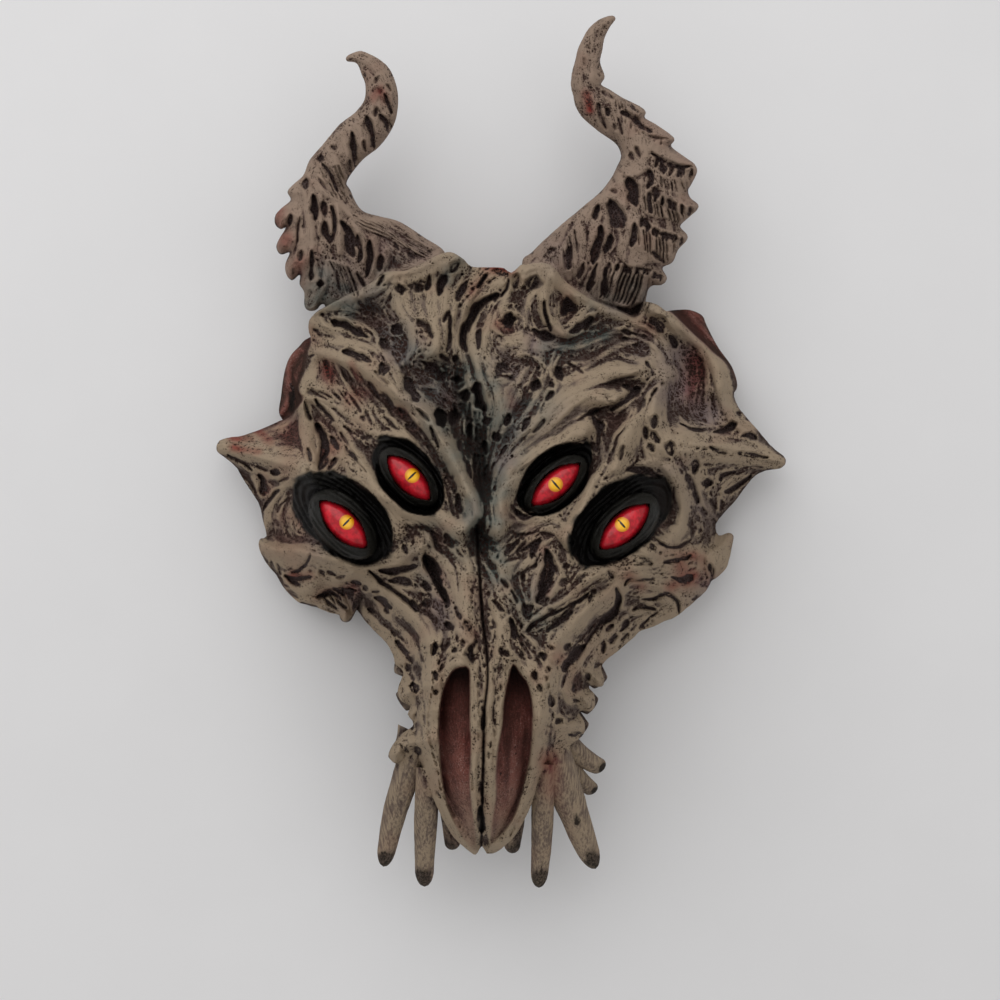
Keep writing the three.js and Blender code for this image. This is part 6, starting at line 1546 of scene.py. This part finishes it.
def patchMap(name):
    made = np.zeros(mapShape)
    for line, wide, strength in patches[name]:
        points = smoothLine(line)
        window = windowRound(points, wide * 2.2)
        distance = nearLine(points, window)[0]
        made[window] = np.maximum(made[window], strength * np.exp(-((distance / wide) ** 2)))
    return made


mottle = softNoise(3.2, 61)
outward = ease((np.abs(mapX) - 45) / 35)  # painted light: the sides, which face away from the lamps above, are painted lighter, the cheeks most of all
cheek = ease((np.abs(mapX) - 25) / 25) * ease((-25 - mapY) / 20)


# The lift as painted: dry brush from the relief and the tan patches, with painted light on the sides
# and cheeks.
def liftPaint(field):
    lifted = brush["plain"] + brush["lift"] * field + brush["tan"] * patchMap("tan")
    return clamp01(lifted + brush["outward"] * outward + brush["cheek"] * cheek)


paint = {
    "lift": liftPaint(lift),
    "frost": clamp01(patchMap("frost") * (1 + 0.3 * mottle)),
    "hole": holeDark * clamp01(holeDeep / 2) * (1 - 0.68 * webs)
    + 0.75 * clamp01(pitDeep * rough / 1.3),
    # painted shade and dark paint, kept to the low places
    "black": patchMap("dark") * clamp01(1.5 - 1.1 * liftPaint(lift)),
    "red": patchMap("red") * (1 + 0.4 * mottle) + 0.1 * clamp01(mottle - 0.6),
    "green": clamp01(patchMap("green") * (1.35 + 0.4 * softNoise(1.6, 62))),
    "flesh": clamp01((1 - underBone) * (fleshDepth > -1)) + clamp01(nostrilDeep / 7) * 0.95,
    "lid": clamp01(socketDark * 1.3),
    "tips": ease((patchMap("tips") - 0.26) / 0.12),
}
# Painted shade: the holes are painted blacker the deeper they are.
paint["black"] += 0.45 * holeDark * clamp01(holeDeep / 5 - 0.4)
paint["red"] = clamp01(paint["red"] + 0.3 * nostrilIn * (1 - nostrilShare))
paint["hole"] = clamp01(paint["hole"])
# Painted shade: the nostrils are black at their deep upper ends and painted darker from their tips
# upwards, and the cleft is black along its length.
nostrilBlack = 0.62 * nostrilIn * clamp01(1 - 2.6 * nostrilShare)
paint["black"] = np.maximum(clamp01(paint["black"]), np.maximum(0.6 * cleftIn, nostrilBlack))
nostrilLift = 0.1 + 0.6 * nostrilShare + 0.12 * fleshStripe
paint["lift"] = paint["lift"] * (1 - nostrilIn) + nostrilIn * nostrilLift
paint["smooth"] = clamp01(calm)
print("colour drawn")


# One value, colour or vector of a material; sums on it add their nodes.
class Wire:
    def __init__(self, shader, socket):
        self.shader = shader
        self.socket = socket

    def math(self, operation, *values):
        return self.shader.node("ShaderNodeMath", {"operation": operation}, dict(enumerate(values)))

    def __add__(self, other):
        return self.math("ADD", self, other)

    def __radd__(self, other):
        return self.math("ADD", other, self)

    def __sub__(self, other):
        return self.math("SUBTRACT", self, other)

    def __rsub__(self, other):
        return self.math("SUBTRACT", other, self)

    def __mul__(self, other):
        return self.math("MULTIPLY", self, other)

    def __rmul__(self, other):
        return self.math("MULTIPLY", other, self)

    def atLeast(self, least):
        return self.math("MAXIMUM", self, least)

    def clamp(self):
        return self.shader.node("ShaderNodeClamp", {}, {"Value": self})

    # Runs from 0 to 1 as this value goes from one bound to the other.
    def step(self, low, high):
        sockets = {"Value": self, "From Min": low, "From Max": high}
        return self.shader.node("ShaderNodeMapRange", {"interpolation_type": "SMOOTHSTEP"}, sockets)


class Shader:
    def __init__(self, name):
        self.material = bpy.data.materials.new(name)
        self.material.use_nodes = True
        self.tree = self.material.node_tree
        self.surface = self.tree.nodes["Principled BSDF"]

    def plug(self, socket, value):
        if isinstance(value, Wire):
            self.tree.links.new(value.socket, socket)
        elif isinstance(value, tuple) and len(value) == 3 and socket.type == "RGBA":
            socket.default_value = (*value, 1)
        else:
            socket.default_value = value

    def node(self, kind, settings, sockets, output=0):
        made = self.tree.nodes.new(kind)
        for key, value in settings.items():
            setattr(made, key, value)
        for key, value in sockets.items():
            self.plug(made.inputs[key], value)
        return Wire(self, made.outputs[output])

    def painted(self, name):
        return self.node("ShaderNodeAttribute", {"attribute_name": name}, {}, "Fac")

    def place(self):
        return self.node("ShaderNodeTexCoord", {}, {}, "Object")

    # Noise of a size in millimetres.
    def grain(self, size, detail=3.0, rough=0.55):
        sockets = {"Vector": self.place(), "Scale": 1000 / size, "Detail": detail, "Roughness": rough}
        return self.node("ShaderNodeTexNoise", {}, sockets, "Fac")

    # Noise drawn out lengthwise, of a width and a length in millimetres.
    def drawnOut(self, wide, long):
        sockets = {0: self.place(), 1: (1, wide / long, 1)}
        spot = self.node("ShaderNodeVectorMath", {"operation": "MULTIPLY"}, sockets)
        sockets = {"Vector": spot, "Scale": 1000 / wide, "Detail": 2.0}
        return self.node("ShaderNodeTexNoise", {}, sockets, "Fac")

    # Noise drawn out along the grain that is painted on the piece.
    def streaked(self, size, length, count=5):
        grain = self.node("ShaderNodeAttribute", {"attribute_name": "grain"}, {}, "Vector")
        total = 0
        for i in range(count):
            reach = (i / (count - 1) - 0.5) * length / 1000
            sockets = {0: grain, 1: (reach, reach, reach), 2: self.place()}
            spot = self.node("ShaderNodeVectorMath", {"operation": "MULTIPLY_ADD"}, sockets)
            sockets = {"Vector": spot, "Scale": 1000 / size, "Detail": 1.0}
            total = self.node("ShaderNodeTexNoise", {}, sockets, "Fac") + total
        return total * (1 / count)

    # Cells of spongy bone of a size in millimetres: 0 at their walls, about a half in the middle.
    def cells(self, size, bend):
        sockets = {"Vector": self.place(), "Scale": 450 / size, "Detail": 1.0}
        noise = self.node("ShaderNodeTexNoise", {}, sockets, "Color")
        reach = bend * size / 1000
        sockets = {0: noise, 1: (reach, reach, reach), 2: self.place()}
        spot = self.node("ShaderNodeVectorMath", {"operation": "MULTIPLY_ADD"}, sockets)
        sockets = {"Vector": spot, "Scale": 1000 / size}
        return self.node("ShaderNodeTexVoronoi", {"feature": "DISTANCE_TO_EDGE"}, sockets, "Distance")

    # Distance from scattered points, in shares of their spacing, unevenly bent.
    def pores(self, size, bend):
        sockets = {0: (0.0012, 0.0008, 0.001), "Scale": bend}
        push = self.node("ShaderNodeVectorMath", {"operation": "SCALE"}, sockets)
        spot = self.node("ShaderNodeVectorMath", {"operation": "ADD"}, {0: push, 1: self.place()})
        return self.node("ShaderNodeTexVoronoi", {}, {"Vector": spot, "Scale": 1000 / size}, "Distance")

    def blend(self, share, first, second, kind="MIX"):
        made = self.tree.nodes.new("ShaderNodeMix")
        made.data_type = "RGBA"
        made.blend_type = kind
        made.clamp_factor = True
        self.plug(made.inputs["Factor"], share)
        self.plug(made.inputs[6], first)
        self.plug(made.inputs[7], second)
        return Wire(self, made.outputs[2])

    def bump(self, height, distance, strength=1.0):
        sockets = {"Height": height, "Distance": distance, "Strength": strength}
        return self.node("ShaderNodeBump", {}, sockets)

    def finish(self, **sockets):
        for name, value in sockets.items():
            self.plug(self.surface.inputs[name.replace("_", " ")], value)
        return self.material


# Colours are linear shares of red, green and blue.
boneFinish = {
    "wash": (0.074, 0.051, 0.042),
    "fleshInShade": (0.036, 0.020, 0.015),
    "middle": (0.142, 0.106, 0.085),
    "dryBrush": (0.300, 0.232, 0.162),
    "frost": (0.190, 0.150, 0.146),
    "pit": (0.034, 0.0175, 0.0135),
    # painted shade in the deep middles of the holes
    "deep": (0.020, 0.0105, 0.0088),
    "black": (0.0085, 0.0062, 0.0052),
    "red": (0.175, 0.018, 0.014),
    "green": (0.025, 0.034, 0.032),
    "greenCrest": (0.132, 0.144, 0.128),
    "flesh": (0.155, 0.055, 0.044),
    "fleshSpeck": (0.36, 0.25, 0.225),
    "lid": (0.0032, 0.0027, 0.0024),
    # painted sheen on the crests of the lids' folds
    "lidSheen": (0.014, 0.0135, 0.0115),
    "speckFrom": 0.21,  # less gives more dark specks along the grain
}
hornFinish = dict(boneFinish)
hornFinish.update({
    "wash": (0.072, 0.045, 0.039),
    "middle": (0.126, 0.084, 0.071),
    "dryBrush": (0.274, 0.201, 0.153),
    "pit": (0.046, 0.024, 0.020),
    # painted shade in the deep middles of the holes
    "deep": (0.026, 0.0135, 0.0118),
    "speckFrom": 0.12,
})


def boneMaterial(name, finish):
    shader = Shader(name)
    streak = (shader.streaked(0.42, 3.6, 7) - 0.5) * 1.7 + 0.5
    fine = shader.grain(0.6, 4.0, 0.65)
    cloud = shader.grain(9.0, 3.0)
    patch = shader.grain(3.2, 2.0)
    wide = shader.cells(2.4, 1.1)
    small = shader.cells(1.15, 0.8)
    smooth = shader.painted("smooth")
    painted = shader.painted("lift")
    flesh = shader.painted("flesh")
    lid = shader.painted("lid")
    fang = shader.painted("fang")
    bare = 1 - fang * 0.8
    along = shader.drawnOut(0.8, 14.0)
    lift = painted + smooth * 0.08 + (streak - 0.5) * (1.0 - smooth * 0.35) * bare
    lift = lift + (fine - 0.5) * 0.5 * bare + (cloud - 0.5) * 0.2 + (along - 0.5) * 1.2 * fang
    colour = shader.blend(lift.step(0.12, 0.42), finish["wash"], finish["middle"])
    colour = shader.blend(lift.step(0.38, 0.78), colour, finish["dryBrush"])
    greenTone = shader.blend(lift.step(0.25, 0.9), finish["green"], finish["greenCrest"])
    green = (shader.painted("green") * (1.4 - lift * 0.6)).clamp() * 0.9
    colour = shader.blend(green, colour, greenTone)
    # flesh in the low places is painted darker: painted shade, most of all in the nostrils
    fleshTone = shader.blend(lift.step(0.1, 0.7), finish["fleshInShade"], finish["flesh"])
    fleshSpeck = ((fine - 0.5) * 3 + (streak - 0.5) * 2.4 + (patch - 0.5)).step(0.0, 0.8)
    fleshSpeck = fleshSpeck * lift.step(0.2, 0.9) * 0.75
    fleshTone = shader.blend(fleshSpeck, fleshTone, finish["fleshSpeck"])
    colour = shader.blend((flesh * 0.95).clamp(), colour, fleshTone)
    red = (shader.painted("red") * (0.5 + cloud) + (streak - 0.5) * 0.3 * flesh).clamp()
    colour = shader.blend(red, colour, finish["red"])
    fog = shader.painted("frost") * (0.75 + (fine - 0.5) * 1.2 + (streak - 0.5))
    colour = shader.blend(fog.clamp(), colour, finish["frost"])
    # Pits of the spongy bone: wide open where the wash lies, only dots on the heights.
    crowd = (cloud - 0.5) * 0.5 + (patch - 0.5) * 0.5
    ground = lift * 0.9 + smooth * 0.28 + 0.04 - crowd * 0.8 + fang * 0.3
    pits = (wide - (ground - 0.27).atLeast(0.13)).step(0.0, 0.06)
    dots = (small - (ground - 0.16).atLeast(0.18)).step(0.0, 0.09)
    pore = (crowd * 1.6 + 0.3 - smooth * 0.16 - shader.pores(1.25, patch)).step(0.0, 0.09)
    speck = (0.5 - streak) * 2.6 + (0.5 - fine) * 1.4 + crowd * 1.2 + (0.6 - painted) * 0.22
    speck = speck.step(finish["speckFrom"], finish["speckFrom"] + 0.18)
    stipple = (pits * 0.9 + dots * 0.8 + pore * 0.85 + speck * 0.75).clamp()
    stipple = stipple * (1 - flesh * 0.75) * (1 - fang * 0.88)
    colour = shader.blend(stipple, colour, finish["pit"])
    ragged = (small - 0.22) * 0.7 + (fine - 0.5) * 0.8 + (0.5 - streak)
    hole = (shader.painted("hole") + ragged).step(0.4, 0.6)
    frost = (0.12 - small + (fine - 0.5) * 0.3 + (streak - 0.5) * 0.2).step(0.0, 0.07) * 0.3
    # Inside a hole: the dark wash at its rim, and painted shade, darker still, where it is deep.
    inner = (shader.painted("hole") + (fine - 0.5) * 0.5).step(0.3, 0.8)
    depths = shader.blend(inner, finish["pit"], finish["deep"])
    depths = shader.blend(frost, depths, finish["frost"])
    colour = shader.blend(hole * 0.94, colour, depths)
    # Painted sheen: the crests of the lids' folds are painted a lighter grey.
    lidSheenShare = (painted + (streak - 0.5) * 0.8).step(0.55, 1.1)
    lidTone = shader.blend(lidSheenShare, finish["lid"], finish["lidSheen"])
    colour = shader.blend(lid, colour, lidTone)
    tips = shader.painted("tips") * 0.55 + (along - 0.5) * 0.8 * fang
    black = (shader.painted("black") + (fine - 0.5) * 0.3 + tips).clamp()
    colour = shader.blend(black.step(0.25, 0.65) * 0.94, colour, finish["black"])
    roughness = 0.7 + (fine - 0.5) * 0.25 - lid * 0.26
    dents = stipple * 0.8 + hole * (small.step(0.0, 0.3) * 0.5)
    height = fine * 0.35 + streak * 0.6 + along * fang * 0.8 - dents * (1 - lid)
    bump = shader.bump(height, 0.0006, 0.9)
    return shader.finish(Base_Color=colour, Roughness=roughness, Normal=bump, Specular_IOR_Level=0.1)


eyeFinish = {
    "red": (0.62, 0.012, 0.026),
    "deep": (0.30, 0.006, 0.012),
    "yellow": (0.86, 0.46, 0.012),
    "ring": (0.62, 0.22, 0.006),
    "slit": (0.004, 0.003, 0.003),
    "irisHalf": 3.3,
    "slitHalf": (3.7, 0.5),
}


def eyeMaterial():
    shader = Shader("glossy red eye")
    cloud = shader.grain(2.4, 3.0)
    colour = shader.blend(cloud.step(0.3, 0.7), eyeFinish["deep"], eyeFinish["red"])
    # Painted shade: the eye is darker towards its rim, under the lids.
    colour = shader.blend(shader.painted("eyeRimShade") * 0.7, colour, eyeFinish["deep"])
    iris = shader.painted("iris")
    gold = shader.blend(iris.step(0.5, 1.0), eyeFinish["yellow"], eyeFinish["ring"])
    colour = shader.blend(iris.step(0.98, 1.04), gold, colour)
    colour = shader.blend(shader.painted("slit").step(1.05, 0.9), colour, eyeFinish["slit"])
    roughness = 0.3 + (cloud - 0.5) * 0.1
    gloss = {"Specular_IOR_Level": 0.35, "Coat_Weight": 0.12, "Coat_Roughness": 0.1}
    return shader.finish(Base_Color=colour, Roughness=roughness, **gloss)


def addPaint(mesh, name, values):
    layer = mesh.attributes.new(name, "FLOAT", "POINT")
    layer.data.foreach_set("value", np.asarray(values, np.float32))


# Noise over points that the map doesn't show, such as the walls and the back.
def sideTone(points):
    tones = np.empty(len(points), np.float32)
    for i, (x, y, z) in enumerate(points):
        spot = Vector((x * 0.16, y * 0.16, z * 0.09))
        tones[i] = noise.noise(spot) + 0.6 * noise.noise(spot * 3.1) + 0.3 * noise.noise(spot * 8.3)
    return tones


sharpFrom = 70  # degrees between faces that make their edge sharp


# Finishes a piece: paints it, moves it from its place as seen to its true place, in metres.
def finishPiece(made, name, topMap, covered):
    points = places(made.data).astype(float)
    x, y, z = points.T
    drop = readMap(topMap, x, y) - z
    hidden = ease((drop - 1.2) / 2.5)
    tones = np.zeros(len(points))
    beside = ease(-readMap(covered, x, y) / 1.5)
    chosen = (hidden > 0.02) | (beside > 0.02)
    tones[chosen] = sideTone(points[chosen])
    plain = {
        "lift": 0.42 + 0.34 * tones,
        "hole": 0.8 * clamp01(-0.3 - tones),
        "red": 0.12 * clamp01(tones - 0.3),
    }
    for key, field in paint.items():
        value = readMap(field, x, y)
        if key == "lift":
            value = value * (1 - beside) + (0.6 + 0.2 * tones) * beside
        elif key in ("hole", "flesh"):
            value = value * (1 - beside)
        elif key == "tips":
            value = value * beside
        other = plain.get(key, np.zeros(len(points)))
        addPaint(made.data, key, value * (1 - hidden) + other * hidden)
    addPaint(made.data, "fang", beside * (1 - hidden) if name == "mask_shell" else 0 * beside)
    layer = made.data.attributes.new("grain", "FLOAT_VECTOR", "POINT")
    upright = np.sign(grainY) + (grainY == 0)
    grain = [readMap(part * upright, x, y) * (1 - hidden) for part in (grainX, grainY)] + [hidden]
    layer.data.foreach_set("vector", np.stack(grain, 1).astype(np.float32).ravel())
    moved = np.stack([trueX(x, z), trueY(y, z), z], 1) * millimetre
    setPlaces(made.data, moved)
    made.data.shade_smooth()
    made.data.set_sharp_from_angle(angle=math.radians(sharpFrom))
    made.name = name
    made.data.name = name
    return made


mask = maskPiece()
before = thinOut(mask, casting["triangles"])
print("mask has", before, "triangles, thinned to", len(mask.data.polygons))
solidTop = np.where((boneDepth > -0.5) | (fleshDepth > -0.5), faceHigh, -100.0)
finishPiece(mask, "mask_shell", solidTop, np.maximum(boneDepth, fleshDepth))
mask.data.materials.clear()
mask.data.materials.append(boneMaterial("painted bone", boneFinish))
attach(mask, "root")
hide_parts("mask")
print("mask finished")

hornMaterial = boneMaterial("painted horn", hornFinish)
hornCare = {"grid": 0.5, "triangles": 60000}
for name, (upper, lower, depth) in hornMaps.items():
    paint["lift"] = liftPaint(liftOf(np.where(depth > 0, upper, blur(upper, 2))) + grainLift)
    edge = pointsOf(horns[name]["outline"])
    lowCorner, highCorner = edge.min(0) - 3, edge.max(0) + 3
    horn = heightBlock(name + " upper", upper, lowCorner, highCorner, hornCare["grid"], -60)
    under = heightBlock(name + " lower", lower, lowCorner, highCorner, hornCare["grid"], 120)
    combine(horn, under, "INTERSECT")
    before = thinOut(horn, hornCare["triangles"])
    print(name, "has", before, "triangles, thinned to", len(horn.data.polygons))
    finishPiece(horn, name + "_carved", upper, np.ones(mapShape))
    horn.data.materials.clear()
    horn.data.materials.append(hornMaterial)
    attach(horn, "root")
    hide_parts(name)

# The eyes: smooth balls, painted on top.
ballSquares = {"u_segments": 72, "v_segments": 48}
eyeCoat = eyeMaterial()
for name, eye in eyes.items():
    level = float(readMap(bareHigh, *eye["at"]))
    bm = bmesh.new()
    bmesh.ops.create_uvsphere(bm, **ballSquares, radius=1)
    ball = objectFrom(bm, name + "_glass")
    points = places(ball.data).astype(float) * (*eye["eye"], lidShape["dome"])
    t, n = math.radians(eye["turn"]), math.radians(eye["lean"])
    x = points[:, 0] * math.cos(t) - points[:, 1] * math.sin(t)
    y = points[:, 0] * math.sin(t) + points[:, 1] * math.cos(t)
    x, z = x * math.cos(n) + points[:, 2] * math.sin(n), points[:, 2] * math.cos(n) - x * math.sin(n)
    x, y, z = x + eye["at"][0], y + eye["at"][1], z + level
    dx, dy = x - eye["iris"][0], y - eye["iris"][1]
    along = dx * math.cos(t) + dy * math.sin(t)
    across = dy * math.cos(t) - dx * math.sin(t)
    addPaint(ball.data, "iris", np.hypot(dx, dy) / eyeFinish["irisHalf"])
    slitTall, slitWide = eyeFinish["slitHalf"]
    addPaint(ball.data, "slit", np.abs(along) / slitWide + (across / slitTall) ** 2)
    out = np.hypot(points[:, 0] / eye["eye"][0], points[:, 1] / eye["eye"][1])
    # painted shade towards the eye's rim
    addPaint(ball.data, "eyeRimShade", clamp01((out - 0.62) * 2))
    setPlaces(ball.data, np.stack([trueX(x, z), trueY(y, z), z], 1) * millimetre)
    ball.data.shade_smooth()
    ball.data.materials.append(eyeCoat)
    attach(ball, "root")
    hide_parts(name)
print("eyes set in")

studio = {
    "floorSize": 6.0,
    "floorColour": (0.76, 0.76, 0.77),
    "floorSpots": 0.985,  # how light the floor's darker spots are
    "aimAt": (0, 0, 0.03),
    "cameraAt": (-0.0005, -0.0196, 0.8),
    "lens": 64.0,
    "keyAt": (-0.45, 1.1, 1.05),
    "keySize": 2.2,
    "keyPower": 15.0,
    "fillAt": (0.9, 0.5, 1.5),
    "fillSize": 1.6,
    "fillPower": 1.0,
    "worldColour": (1.0, 0.985, 0.97),
    "worldPower": 0.6,
}


def floorMaterial():
    shader = Shader("pale paper")
    pale = studio["floorColour"]
    spots = tuple(studio["floorSpots"] * part for part in pale)
    tone = shader.blend(shader.grain(60.0).step(0.3, 0.7), pale, spots)
    return shader.finish(Base_Color=tone, Roughness=0.9)


bm = bmesh.new()
bmesh.ops.create_grid(bm, x_segments=8, y_segments=8, size=studio["floorSize"] / 2)
floor = objectFrom(bm, "floor")
floor.data.materials.append(floorMaterial())


def softLight(name, at, size, power):
    lamp = bpy.data.lights.new(name, "AREA")
    lamp.shape = "DISK"
    lamp.size = size
    lamp.energy = power
    made = bpy.data.objects.new(name, lamp)
    made.location = at
    made.rotation_euler = (Vector(studio["aimAt"]) - Vector(at)).to_track_quat("-Z", "Y").to_euler()
    bpy.context.scene.collection.objects.link(made)


softLight("key", studio["keyAt"], studio["keySize"], studio["keyPower"])
softLight("fill", studio["fillAt"], studio["fillSize"], studio["fillPower"])
world = bpy.data.worlds.new("studio")
bpy.context.scene.world = world
world.use_nodes = True
sky = world.node_tree.nodes["Background"]
sky.inputs["Color"].default_value = (*studio["worldColour"], 1)
sky.inputs["Strength"].default_value = studio["worldPower"]

camera = bpy.data.objects.new("camera", bpy.data.cameras.new("camera"))
camera.data.lens = studio["lens"]
camera.data.clip_end = 20
camera.location = studio["cameraAt"]
bpy.context.scene.collection.objects.link(camera)
bpy.context.scene.camera = camera
bpy.context.scene.view_settings.view_transform = "Standard"
